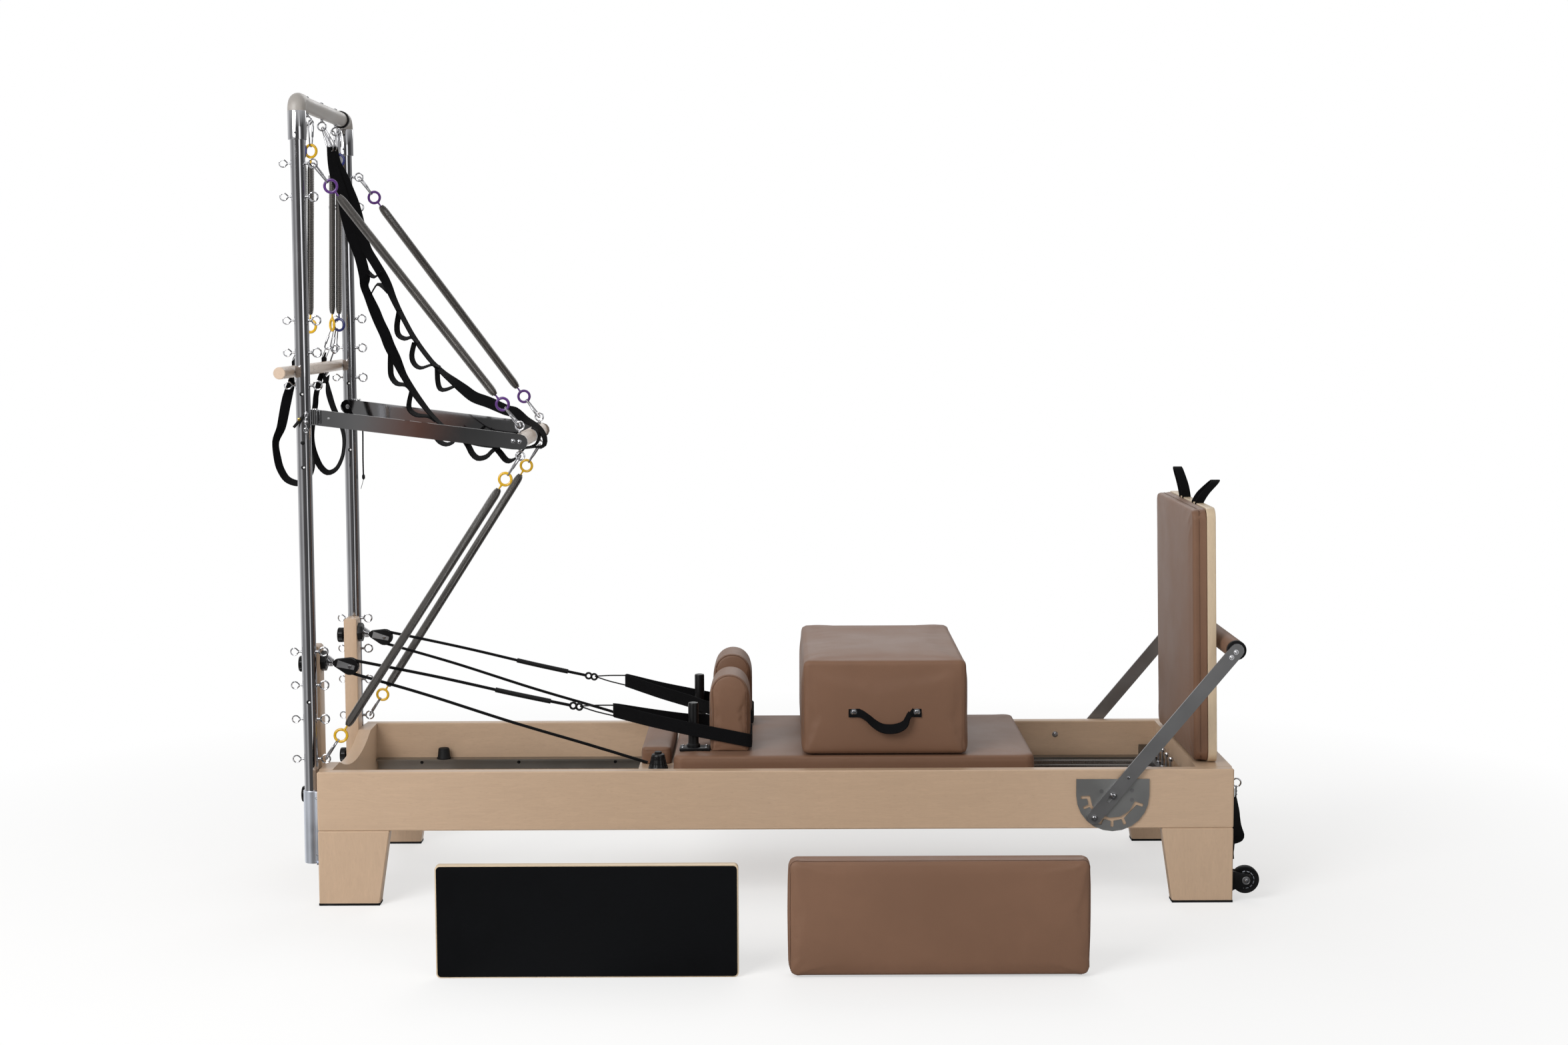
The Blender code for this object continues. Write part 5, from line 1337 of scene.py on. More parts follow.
@dataclass
class Pad:
    """A stuffed piece: its box, its roundings, its seams, and the name, body and solid that it is settled
    with.
    """

    name: str
    body: str
    low: Triple
    high: Triple
    replaces: str
    corner: float = 0.02
    corner_axis: int = 2
    edge: float = 0.008
    back: Tuple[int, int] = (2, -1)
    swell: float = 0.004
    voxel: float = 0.008
    fill: float = 0.85
    groove: float = 0.0011
    groove_width: float = 0.0026
    pressure: float = 4.0
    frames: int = 20

    def form(self) -> Object:
        """Shape the pad's starting block, with round corners and softened faces.

        Returns:
            The starting block.
        """
        shrink = self.swell * 0.5
        low, high = Vector(self.low), Vector(self.high)
        axis, sign = self.back
        for k in range(3):
            low[k] += 0.0 if (k == axis and sign < 0) else shrink
            high[k] -= 0.0 if (k == axis and sign > 0) else shrink
        obj = block(low, high)
        along = self.corner_axis
        soften(obj, self.corner, 6, lambda place, way: abs(way[along]) > 0.9)
        backing = low[axis] if sign < 0 else high[axis]

        def rim(place: Vector, way: Vector) -> bool:
            """Tell the edges round the two flat ends from the ones between them."""
            return abs(way[along]) < 0.5 and (abs(place[axis] - backing) > TOUCH or axis != along)

        soften(obj, self.edge, 4, rim)
        return obj

    def stuff(self, obj: Object) -> None:
        """Remesh the cover, swell it and smooth it.

        Args:
            obj: The starting block.
        """
        hold(obj)
        obj.data.remesh_voxel_size = self.voxel
        bpy.ops.object.voxel_remesh()
        self.inflate(obj)
        obj.modifiers.new("soft", "SUBSURF").levels = 1
        obj.modifiers["soft"].render_levels = 1
        apply_all(obj)

    def inflate(self, obj: Object) -> None:
        """Swell the cover with air pressure, hold its backing, and cap how far it moves.

        Args:
            obj: The remeshed cover.
        """
        before = points_of(obj)
        axis, sign = self.back
        backing = self.low[axis] if sign < 0 else self.high[axis]
        held = np.nonzero(np.abs(before[:, axis] - backing) < self.voxel * 0.6)[0]
        group = obj.vertex_groups.new(name="backing")
        group.add([int(i) for i in held], 1.0, "REPLACE")
        cloth = obj.modifiers.new("stuffing", "CLOTH")
        settings = cloth.settings
        settings.use_pressure, settings.uniform_pressure_force = True, self.pressure
        settings.quality, settings.mass = 4, 0.4
        settings.tension_stiffness = settings.compression_stiffness = 18.0
        settings.shear_stiffness, settings.bending_stiffness = 10.0, 4.0
        settings.effector_weights.gravity = 0.0
        settings.vertex_group_mass = "backing"
        scene = bpy.context.scene
        cloth.point_cache.frame_start, cloth.point_cache.frame_end = 1, self.frames
        for step in range(1, self.frames + 1):
            scene.frame_set(step)
        bpy.ops.object.modifier_apply(modifier=cloth.name)
        scene.frame_set(1)
        move = points_of(obj) - before
        length = np.linalg.norm(move, axis=1, keepdims=True)
        cap = self.swell * np.tanh(length / self.swell)
        after = before + move * np.divide(cap, length, out=np.zeros_like(cap), where=length > 1e-9)
        obj.vertex_groups.clear()
        obj.data.vertices.foreach_set("co", after.reshape(-1))

    def press(self, obj: Object, seams: Sequence[Sequence[Vector]]) -> None:
        """Draw the cover in along its seams.

        Args:
            obj: The stuffed cover.
            seams: The lines of the seams.
        """
        points = [p for seam in seams for p in seam]
        tree = kdtree.KDTree(len(points))
        for i, p in enumerate(points):
            tree.insert(p, i)
        tree.balance()
        places, normals = points_of(obj), points_of(obj, "normal")
        distances = np.array([tree.find(place)[2] for place in places])
        depth = self.groove * np.exp(-((distances / self.groove_width) ** 2))
        places -= normals * depth[:, None]
        obj.data.vertices.foreach_set("co", places.reshape(-1))
        obj.data.update()

    def snapped(self, obj: Object, seam: Sequence[Triple], closed: bool) -> List[Vector]:
        """Lay a seam's line on the cover."""
        line = smooth_path(seam, 0.004, closed)
        return [obj.closest_point_on_mesh(p)[1] for p in line]

    def build(self, seams: Sequence[Sequence[Triple]], welt: float = 0.001, closed: bool = True) -> Object:
        """Make the pad, its seams and its piping.

        Args:
            seams: Lines that the sewing follows, near the surface.
            welt: The piping's radius, or 0 for a plain seam.
            closed: True where each seam is a loop.

        Returns:
            The pad.
        """
        obj = self.form()
        self.stuff(obj)
        laid = [self.snapped(obj, seam, closed) for seam in seams]
        if laid:
            self.press(obj, laid)
        for number, line in enumerate(laid):
            if welt:
                cord = sweep(line[::2], welt, 6, closed)
                settle(cord, f"{self.name}_piping_{number}", PIPING, self.body, smooth=SOFT)
        settle(obj, self.name, LEATHER, self.body, (self.replaces,), smooth=SOFT)
        LOG.info("%s: %d faces, %d seams", self.name, len(obj.data.polygons), len(laid))
        return obj


def rounded_loop(
    axis: int, place: float, low: Tuple[float, float], high: Tuple[float, float], corner: float
) -> List[Vector]:
    """Return a rounded rectangle in the plane across an axis.

    Args:
        axis: The axis that it faces.
        place: Where it stands on that axis.
        low: Its lowest corner on the other two axes, in order.
        high: Its highest corner on them.
        corner: The radius of its corners.

    Returns:
        Its points.
    """
    points = []
    left, right = low[0] + corner, high[0] - corner
    bottom, top = low[1] + corner, high[1] - corner
    for cx, cy, start in ((right, top, 0), (left, top, 90), (left, bottom, 180), (right, bottom, 270)):
        for step in range(5):
            angle = math.radians(start + 22.5 * step)
            flat = [cx + corner * math.cos(angle), cy + corner * math.sin(angle)]
            flat.insert(axis, place)
            points.append(Vector(flat))
    return points


@dataclass
class Carriage:
    """The carriage's mat, headrest, shoulder rests, posts, cleats and sitting box."""

    seat: float = 0.3859
    mat: Tuple[Triple, Triple] = ((-0.275, -0.315, 0.3406), (0.69, 0.315, 0.3856))
    headrest: Tuple[Triple, Triple] = ((-0.363, -0.205, 0.3406), (-0.278, 0.205, 0.3886))
    rest_x: Tuple[float, float] = (-0.174, -0.07)
    rest_y: Tuple[float, float] = (0.107, 0.26)
    rest_top: float = 0.5949
    post: Tuple[float, float] = (-0.219, 0.238)
    cleat: Triple = (-0.312, 0.272, 0.3403)
    box: Tuple[Triple, Triple] = ((0.07, -0.315, 0.3859), (0.508, 0.385, 0.6399))

    def make_mat(self) -> None:
        """The carriage's mat, with a seam round its sides."""
        low, high = self.mat
        pad = Pad(
            "mat", "carriage", low, high, "carriage_mat", corner=0.028, edge=0.01, swell=0.003, voxel=0.009,
            groove_width=0.003
        )
        seam = rounded_loop(2, high[2] - 0.012, (low[0], low[1]), (high[0], high[1]), 0.03)
        pad.build([seam], welt=0.0)

    def make_headrest(self) -> None:
        """The hinged headrest."""
        low, high = self.headrest
        pad = Pad(
            "headrest_pad", "headrest", low, high, "headrest", corner=0.016, edge=0.01, swell=0.004,
            voxel=0.006
        )
        seam = rounded_loop(2, high[2] - 0.013, (low[0], low[1]), (high[0], high[1]), 0.016)
        pad.build([seam], welt=0.0)

    def make_rest(self, side: Side) -> None:
        """One shoulder rest: an arch with a band between two welted faces.

        Args:
            side: Which side of the machine it is on.
        """
        ys = sorted(side.value * y for y in self.rest_y)
        low, high = (self.rest_x[0], ys[0], self.seat), (self.rest_x[1], ys[1], self.rest_top)
        name = f"shoulder_rest_{side.label}"
        pad = Pad(f"{name}_pad", "carriage", low, high, name, swell=0.004, voxel=0.005, fill=0.8)
        slack, inset = 0.0015, 0.004
        top = high[2] - slack
        obj = block((low[0] + slack, low[1] + slack, low[2]), (high[0] - slack, high[1] - slack, top))
        soften(obj, 0.05, 14, lambda place, way: abs(way.y) > 0.9 and place.z > top - TOUCH)
        soften(obj, 0.009, 4, lambda place, way: abs(way.y) < 0.1 and place.z > low[2] + TOUCH)
        pad.stuff(obj)
        middle, radius = (low[0] + high[0]) / 2, (high[0] - low[0]) / 2 - inset
        arch = [(low[0] + inset, low[2] + inset)]
        arch += [
            (middle - radius * math.cos(a), high[2] - inset - radius + radius * math.sin(a))
            for a in np.linspace(0, math.pi, 15)
        ]
        arch.append((high[0] - inset, low[2] + inset))
        seams = []
        for y in (ys[0] + slack, ys[1] - slack):
            seams.append(pad.snapped(obj, [(x, y, z) for x, z in arch], False))
        pad.press(obj, seams)
        for number, line in enumerate(seams):
            settle(sweep(line, 0.0013, 6), f"{name}_piping_{number}", PIPING, "carriage", smooth=SOFT)
        settle(obj, pad.name, LEATHER, "carriage", (name,), smooth=SOFT)
        LOG.info("%s: %d faces", pad.name, len(obj.data.polygons))

    def make_post(self, side: Side) -> None:
        """One strap post on its plate, with the plate's screws.

        Args:
            side: Which side of the machine it is on.
        """
        x, y, base = self.post[0], side.value * self.post[1], self.seat
        thick = 0.009
        plate = block((-0.256, y - 0.025, base), (-0.1745, y + 0.025, base + thick), 0.0025, 3)
        profile = [
            (0.018, 0.0), (0.018, 0.006), (0.0142, 0.01), (0.0138, 0.02), (0.0138, 0.116), (0.0128, 0.119),
            (0.0075, 0.1205)
        ]
        post = turned((x, y, base + 0.0085), Z_AXIS, profile, 36)
        name = f"strap_post_{side.label}"
        settle(joined([plate, post]), f"{name}_dressed", BLACK_STEEL, "carriage", (name,))
        heads = [
            wood_screw((x + dx, y + dy, base + thick), Z_AXIS, 0.0042)
            for dx in (-0.029, 0.034)
            for dy in (-0.016, 0.016)
        ]
        settle(joined(heads), f"strap_post_screws_{side.label}", CHROME, "carriage")

    def make_cleat(self, side: Side) -> None:
        """One ribbed black rope cleat over the board's solid one.

        Args:
            side: Which side of the machine it is on.
        """
        x, y, z = self.cleat[0], side.value * self.cleat[1], self.cleat[2]
        tall = 0.0425
        profile = [
            (0.0262, -GAP), (0.0262, 0.006), (0.025, 0.008), (0.0225, 0.016), (0.0195, 0.028),
            (0.0182, 0.036), (0.0168, 0.0405), (0.012, tall)
        ]
        cleat = turned((x, y, z), Z_AXIS, profile, 24)

        def ribbed(place: Vector, normal: Vector) -> bool:
            """Tell the faces of the waist from the rest."""
            return abs(normal.z) < 0.6 and z + 0.009 < place.z < z + 0.036

        pick(cleat, Pick.FACES, ribbed)
        bpy.ops.mesh.inset(thickness=0.0007, depth=-0.0008, use_individual=True)
        rest()
        dome = [(0.01, -0.001), (0.01, 0.004), (0.0085, 0.0055), (0.005, 0.006)]
        cap = turned((x, y, z + tall), Z_AXIS, dome, 24)
        settle(joined([cleat, cap]), f"rope_cleat_{side.label}", PLASTIC, "carriage")

    def make_box(self) -> None:
        """The sitting box, its end seams and its webbing handle."""
        low, high = self.box
        pad = Pad(
            "sitting_box_cover", "sitting_box", low, high, "sitting_box", corner=0.014, corner_axis=1,
            edge=0.012, swell=0.004, voxel=0.0085, groove_width=0.0034, groove=0.0013
        )
        seams = [
            rounded_loop(0, x, (low[1], low[2]), (high[1], high[2]), 0.014)
            for x in (low[0] + 0.01, high[0] - 0.01)
        ]
        pad.build(seams, welt=0.0)

        face, x, z = low[1] - 0.0021, 0.193, 0.4999
        drop = (
            (0.0, 0.0, 0.0, 27), (0.017, 0.0, 0.0, 27), (0.034, 1.0, -0.001, 26),
            (0.0504, 5.0, -0.0125, 19), (0.067, 10.0, -0.029, 17), (0.0863, 14.0, -0.04, 20),
            (0.1085, 16.0, -0.043, 22), (0.1306, 14.0, -0.04, 21), (0.147, 10.0, -0.031, 16),
            (0.1545, 6.0, -0.0135, 13), (0.161, 1.5, -0.002, 20), (0.17, 0.0, 0.0, 27),
            (0.192, 0.0, 0.0, 27),
        )
        rows = [(x + dx, face - out / 1000, z + dz, shown / 1000) for dx, out, dz, shown in drop]
        webbing = twisted(rows, 0.0275, 0.003, step=0.005)
        settle(webbing, "box_handle_webbing", WEBBING, "sitting_box", ("box_handle",))
        heads = [hex_bolt((x + dx, face - 0.0014, z), -Y_AXIS, 0.0088, 0.0042) for dx in (0.0135, 0.1795)]
        settle(joined(heads), "box_handle_screws", CHROME, "sitting_box")

    def build(self) -> None:
        """Make all of the carriage's pieces."""
        self.make_mat()
        self.make_headrest()
        for side in Side:
            self.make_rest(side)
            self.make_post(side)
            self.make_cleat(side)
        self.make_box()
        for node in ("carriage_wheels_tower", "carriage_wheels_foot"):
            dress(node, PLASTIC)
        dress("carriage_platform", MAPLE)
        LOG.info("carriage: pads, posts, cleats and box")


# Springs, eyebolts and hooks


class EyeStyle(Enum):
    """How an eyebolt's ring meets its stem."""

    BENT = 1
    COLLARED = 2


@dataclass
class Hardware:
    """The eyebolts, hooks, rings and springs that the tower is hung with."""

    eye_rings: Tuple[float, float] = (0.0092, 0.0112)
    eye_wires: Tuple[float, float] = (0.0018, 0.0022)
    eye_reach: float = 0.0195
    hook_half_width: float = 0.0076
    hook_taper: float = 0.5
    hook_wire: float = 0.0021
    loop_radius: float = 0.016
    loop_wire: float = 0.0037
    turn_points: int = 12
    wire_sides: int = 5

    def eye(self, root: Triple, direction: Triple, across: Triple, style: EyeStyle) -> Object:
        """Make one eyebolt.

        Args:
            root: The point on the tube's surface.
            direction: The way the stem points.
            across: The other direction of the ring's plane.
            style: Bent wire with a pointed neck, or a ring on a collar.

        Returns:
            The mesh object.
        """
        way, side = Vector(direction), Vector(across)
        number = style.value - 1
        radius, wire = self.eye_rings[number], self.eye_wires[number]
        centre = Vector(root) + way * self.eye_reach
        if style is EyeStyle.COLLARED:
            circle = ring(centre, way.cross(side), radius, wire, roll=-way)
            profile = [
                (0.0044, -0.001), (0.0044, 0.0014), (0.0026, 0.002), (0.0026, 0.0026), (0.004, 0.0034)
            ]
            profile += [(0.0045, 0.005), (0.0042, 0.0066), (0.0028, 0.008)]
            return joined([circle, turned(root, way, profile, 16)])
        angles = np.radians(np.linspace(48, 312, 15))
        bend = [centre - way * radius * math.cos(a) + side * radius * math.sin(a) for a in angles]
        tip = centre - way * radius * 1.4
        circle = sweep(smooth_path([tip + side * 0.0002, *bend, tip - side * 0.0002], 0.002), wire, 8)
        profile = [
            (0.0024, -0.004), (0.0024, 0.001), (0.003, 0.0014), (0.003, 0.003), (0.0019, 0.0034),
            (0.0019, 0.0075)
        ]
        return joined([circle, turned(root, way, profile, 14)])

    def hook(self, start: Vector, end: Vector, plane: Vector) -> Object:
        """Make a snap hook between two points: a pear-shaped link with a gate.

        Args:
            start: The middle of its wide end's bend.
            end: The middle of its narrow end's bend.
            plane: The way its flat side faces.

        Returns:
            The mesh object.
        """
        axis = end - start
        half, wire, length = self.hook_half_width, self.hook_wire, axis.length
        link = ring((0, 0, 0), Z_AXIS, half, wire)
        pick(link, Pick.POINTS, lambda place, normal: place.x > 1e-5)
        bpy.ops.transform.translate(value=(length, 0, 0))
        share = self.hook_taper
        bpy.ops.transform.resize(value=(share, share, 1.0), center_override=(length, 0, 0))
        rest()
        slope = half * (1 - share)
        way = Vector((length * 0.72, slope * 0.72, 0))
        gate = turned(
            (length * 0.1, -half + slope * 0.1, 0), way,
            [
                (wire * 1.2, 0.0), (wire * 1.4, 0.003), (wire * 1.4, length * 0.5),
                (wire * 1.1, length * 0.53)
            ],
            12
        )
        return aim(joined([link, gate]), start, plane, axis)

    def colour_ring(self, centre: Vector, neck: Vector, plane: Vector) -> Object:
        """Make a dipped ring with the neck that leads into the spring.

        Args:
            centre: The ring's middle.
            neck: Where its neck enters the spring.
            plane: The way the ring faces.

        Returns:
            The mesh object.
        """
        loop = ring(centre, plane, self.loop_radius, self.loop_wire, roll=neck - centre)
        away = (neck - centre).normalized()
        root = centre + away * self.loop_radius
        length = (neck - root).length + 0.004
        stem = turned(root, away, [(0.004, -0.001), (0.0034, 0.003), (0.0024, 0.007), (0.0022, length)], 10)
        return joined([loop, stem])

    def coil(self, start: Vector, end: Vector, radius: float, wire: float, taper: float) -> Object:
        """Wind a close spring whose ends narrow.

        Args:
            start: One end of its axis.
            end: The other end.
            radius: Its outer radius.
            wire: Its wire's radius.
            taper: The length over which each end narrows.

        Returns:
            The mesh object.
        """
        axis = end - start
        length = axis.length
        along = axis.normalized()
        side = along.orthogonal().normalized()
        other = along.cross(side)
        turns = int(length / (2.06 * wire))
        count = turns * self.turn_points + 1
        share = np.linspace(0.0, 1.0, count)
        run = share * length
        inward = np.clip(np.minimum(run, length - run) / taper, 0.0, 1.0)
        mean = (radius - wire) * (0.38 + 0.62 * np.sqrt(1 - (1 - inward) ** 2))
        angle = 2 * np.pi * turns * share
        out = np.outer(np.cos(angle), side) + np.outer(np.sin(angle), other)
        rows = []
        for k in range(self.wire_sides):
            turn = 2 * math.pi * k / self.wire_sides
            radial = (mean + wire * math.cos(turn))[:, None]
            rows.append(np.array(start) + np.outer(run + wire * math.sin(turn), along) + out * radial)
        points = np.stack(rows, axis=1).reshape(-1, 3)
        sides = self.wire_sides
        first = np.arange(count - 1)[:, None] * sides
        k = np.arange(sides)[None, :]
        n = (k + 1) % sides
        faces = np.stack(
            [first + k, first + sides + k, first + sides + n, first + n], axis=-1
        ).reshape(-1, 4)
        caps = [list(range(sides)), list(range((count - 1) * sides, count * sides))[::-1]]
        return mesh_object(points, faces.tolist() + caps)


@dataclass
class HungSpring:
    """One spring with a coloured ring at each end and the hooks that hold it."""

    name: str
    start: Vector
    end: Vector
    radius: float
    wire: float
    rings: Tuple[Finish, Finish]
    hardware: Hardware
    hook_lengths: Tuple[float, float] = (0.052, 0.052)
    plane: Triple = (0.0, 1.0, 0.0)
    neck: float = 0.031
    foot: Optional[Vector] = None

    def pieces(self) -> Tuple[Object, List[Tuple[Object, Finish]], Object]:
        """Return the coil, the rings with their finishes, and the joined hooks.

        Returns:
            The coil, the rings with their finishes, and the hooks.
        """
        way = (self.end - self.start).normalized()
        plane = (Vector(self.plane) - way * Vector(self.plane).dot(way)).normalized()
        tilted = (plane * 0.35 + plane.cross(way) * 0.94).normalized()
        rings, hooks, ends = [], [], []
        for point, sign, length, finish in (
            (self.start, 1, self.hook_lengths[0], self.rings[0]),
            (self.end, -1, self.hook_lengths[1], self.rings[1])
        ):
            inward = way * sign
            hook_end = point + inward * (0.006 + length)
            hook_start = self.foot if self.foot is not None and sign < 0 else point + inward * 0.006
            hooks.append(self.hardware.hook(hook_start, hook_end, tilted))
            centre = hook_end + inward * self.hardware.loop_radius * 0.92
            body = centre + inward * self.neck
            rings.append((self.hardware.colour_ring(centre, body, plane), finish))
            ends.append(body)
        coil = self.hardware.coil(ends[0], ends[1], self.radius, self.wire, 0.024)
        return coil, rings, joined(hooks)


@dataclass
class Tower:
    """Poles, top bar, push-through bar, roll-down bar, and all that hangs on them."""

    hardware: Hardware
    pole_x: float = -1.2215
    pole_y: float = 0.329
    pole_radius: float = 0.019
    pole_bottom: float = 0.1125
    pole_top: float = 2.04
    top_z: float = 2.093
    bend: float = 0.024
    eye_heights: Tuple[float, ...] = (1.935, 1.85, 1.533, 1.45, 1.365, 0.668, 0.579, 0.489, 0.383)
    top_eyes: Tuple[float, ...] = (-0.195, 0.0, 0.195)
    handle: Tuple[float, float] = (-0.6698, 1.2143)
    handle_radius: float = 0.02
    handle_eye_y: float = 0.25
    arm_face: float = 0.2925
    roll_bar: Tuple[float, float] = (-1.2563, 1.4)
    roll_eye_y: float = 0.2

    def make_pole(self, side: Side) -> None:
        """One chrome tube with its eyebolts and adjusting holes.

        Args:
            side: Which side of the machine it is on.
        """
        x, y, radius = self.pole_x, side.value * self.pole_y, self.pole_radius
        height = self.pole_top - self.pole_bottom
        tube = turned(
            (x, y, self.pole_bottom), Z_AXIS, [(radius - 0.001, 0.0), (radius, 0.001), (radius, height)], 64
        )
        settle(tube, f"pole_tube_{side.label}", CHROME, "frame", (f"pole_{side.label}",))
        bent = self.hardware.eye((0, 0, 0), -X_AXIS, Z_AXIS, EyeStyle.BENT)
        collared = self.hardware.eye((0, 0, 0), X_AXIS, Z_AXIS, EyeStyle.COLLARED)
        eyes = []
        for z in self.eye_heights:
            eyes.append(copy_of(bent, (x - radius, y, z)))
            eyes.append(copy_of(collared, (x + radius, y, z)))
        bpy.data.objects.remove(bent)
        bpy.data.objects.remove(collared)
        settle(joined(eyes), f"pole_eyes_{side.label}", CHROME, "frame")
        heights = (1.343, 1.217, 1.153, 0.537) if side is Side.NEAR else (1.349, 1.158, 0.537)
        # Each hole is a flat black disc: painted shade for the dark inside of the bore
        hole = [(0.0056, 0.0), (0.0056, 0.0015), (0.005, 0.0017)]
        # Painted light: a pale disc beside each hole for the bright far side seen through the bore
        see_through_disc = [(0.0026, 0.0), (0.0026, 0.0026), (0.0022, 0.0028)]
        holes, see_through_discs = [], []
        for z in heights:
            holes.append(turned((x, y - radius + 0.0012, z), -Y_AXIS, hole, 20))
            if z != 1.217:
                see_through_discs.append(turned((x + 0.0024, y - radius + 0.0004, z), -Y_AXIS, see_through_disc, 14))
        settle(joined(holes), f"pole_holes_{side.label}", PLASTIC, "frame")
        settle(joined(see_through_discs), f"pole_plungers_{side.label}", SEE_THROUGH_PALE, "frame")

    def make_holder(self, side: Side) -> None:
        """The aluminium holder at one pole's foot: a tube with a flange and its two screws.

        Args:
            side: Which side of the machine it is on.
        """
        x, y = self.pole_x, side.value * self.pole_y
        low, high, board = 0.107, 0.3, -1.2003
        profile = [
            (0.0192, 0.0), (0.0218, 0.0), (0.0224, 0.0008), (0.0224, high - low - 0.0008),
            (0.0218, high - low), (0.0192, high - low)
        ]
        tube = turned((x, y, low), Z_AXIS, profile, 56, hollow=True)
        pick(tube, Pick.POINTS, lambda place, normal: place.x > board)
        bpy.ops.transform.resize(value=(0.0, 1.0, 1.0), center_override=(board, y, 0.0))
        rest()
        flange = block((board - 0.0085, y - 0.0268, low + 0.002), (board, y + 0.0268, high), 0.0012, 3)
        soften(flange, 0.006, 2, lambda place, way: abs(way.x) > 0.9 and place.z < low + 0.01)
        rib = block(
            (board - 0.0185, y - 0.0205, low + 0.004), (board - 0.002, y + 0.0205, high - 0.0012), 0.0006, 1
        )
        settle(joined([tube, flange, rib]), f"pole_holder_{side.label}", ALUMINIUM, "frame")
        head = [(0.0034, 0.0), (0.0034, 0.0006), (0.0026, 0.0009), (0.0022, 0.0001)]
        screws = [
            turned((board - 0.0052, y + hand * 0.0266, z), Y_AXIS * hand, head, 16)
            for z in (0.2831, 0.132)
            for hand in (-1, 1)
        ]
        settle(joined(screws), f"pole_holder_screws_{side.label}", GREY_STEEL, "frame")

    def make_top_bar(self) -> None:
        """The painted bar and elbows, chrome sleeves, collar rings and eyebolts."""
        x, z, bend = self.pole_x, self.top_z, self.bend
        reach, low, high = self.pole_y - bend, 1.995, self.top_z - bend
        pieces = [turned((x, -reach, z), Y_AXIS, [(0.02, 0.0), (0.02, 2 * reach)], 48)]
        for side in Side:
            path = [(x, side.value * self.pole_y, high - 0.006)]
            for step in range(13):
                angle = math.radians(90.0 * step / 12)
                path.append(
                    (x, side.value * (reach + bend * math.cos(angle)), z - bend + bend * math.sin(angle))
                )
            path.append((x, side.value * (reach - 0.026), z))
            pieces.append(sweep(path, 0.0235, 40))
        settle(joined(pieces), "top_bar_painted", PAINT, "frame", ("top_bar",))
        sleeves, screws, collars, eyes = [], [], [], []
        for side in Side:
            y = side.value * self.pole_y
            tall = high - low
            profile = [
                (0.0193, 0.0), (0.0232, 0.0), (0.0238, 0.0006), (0.0238, tall - 0.0006), (0.0234, tall),
                (0.0193, tall)
            ]
            sleeves.append(turned((x, y, low), Z_AXIS, profile, 48, hollow=True))
            screws.append(wood_screw((x, y - 0.0235, low + 0.018), -Y_AXIS, 0.0038))
            if side is Side.FAR:
                ring_profile = [(0.02, 0.0), (0.0243, 0.0), (0.0243, 0.012), (0.02, 0.012)]
                collars.append(turned((x, reach - 0.026, z), -Y_AXIS, ring_profile, 48, hollow=True))
        nut = [(0.0052, 0.0), (0.0052, 0.003), (0.0035, 0.0048), (0.0015, 0.0052)]
        for y in self.top_eyes:
            eyes.append(self.hardware.eye((x, y, z - 0.02), -Z_AXIS, X_AXIS, EyeStyle.COLLARED))
            eyes.append(turned((x, y, z + 0.0196), Z_AXIS, nut, 16))
        settle(joined(sleeves + screws), "top_bar_sleeves", CHROME, "frame")
        settle(joined(collars), "top_bar_collars", RUBBER, "frame")
        settle(joined(eyes), "top_bar_eyes", CHROME, "frame")

    def make_push_bar(self) -> None:
        """The wooden handle, its eyebolts, and the screws at the arms' ends."""
        x, z = self.handle
        reach = 0.2872
        profile = [
            (self.handle_radius - 0.001, 0.0), (self.handle_radius, 0.001),
            (self.handle_radius, 2 * reach - 0.001), (self.handle_radius - 0.001, 2 * reach)
        ]
        dowel = turned((x, -reach, z), Y_AXIS, profile, 48)
        settle(dowel, "push_handle_dowel", DOWEL, "push_bar", ("push_handle",))
        for side in Side:
            dress(f"push_arm_{side.label}", POLISHED)
        eyes, screws = [], []
        for side in Side:
            y = side.value * self.handle_eye_y
            head = [(0.0062, -GAP), (0.006, 0.0015), (0.0045, 0.0034), (0.002, 0.0042)]
            for up in (-1, 1):
                root = (x, y, z + up * self.handle_radius)
                eyes.append(self.hardware.eye(root, Z_AXIS * up, X_AXIS, EyeStyle.COLLARED))
            for dx, dz in ((0.004, -0.0005), (-0.013, 0.0016)):
                screws.append(
                    turned((x + dx, side.value * self.arm_face, z + dz), Y_AXIS * side.value, head, 20)
                )
        settle(joined(eyes + screws), "push_handle_hardware", CHROME, "push_bar")

    def make_clamp(self) -> None:
        """The two pivot clamps round the poles, with the pull pin, its chain and its lever."""
        x, z = self.pole_x, 1.283
        for side in Side:
            s = side.value
            near_y, far_y = sorted((s * 0.2932, s * self.pole_y))
            ribs = [
                block(
                    (x + 0.0185 + 0.0054 * i, near_y, z - 0.021),
                    (x + 0.0222 + 0.0054 * i, far_y - 0.004 * i, z + 0.021), 0.0011, 2
                )
                for i in range(3)
            ]
            bridge = block(
                (x + 0.018, near_y, z - 0.0195), (x + 0.032, far_y - 0.01, z + 0.0195), 0.0006, 1
            )
            settle(joined([bridge] + ribs), f"push_clamp_{side.label}", POLISHED, "frame")
            head = [(0.004, -GAP), (0.004, 0.0003), (0.0034, 0.0006)]
            bolt = turned((x + 0.058, s * self.arm_face, z - 0.007), Y_AXIS * s, head, 20)
            settle(bolt, f"push_clamp_bolt_{side.label}", GREY_STEEL, "push_bar")
            dome = [(0.0048, -GAP), (0.0046, 0.0008), (0.003, 0.002)]
            tip = turned((x, s * 0.2875, z), -Y_AXIS * s, dome, 20)
            settle(tip, f"push_pivot_cap_{side.label}", GREY_STEEL, "frame")
        front = -self.pole_y - 0.0235
        x += 0.0115
        pin = [(0.0052, -0.002), (0.0052, 0.002), (0.0036, 0.003), (0.0036, 0.006), (0.002, 0.0066)]
        bead = [(0.0012, 0.0), (0.0042, 0.0014), (0.0058, 0.0052), (0.0042, 0.009), (0.0012, 0.0104)]
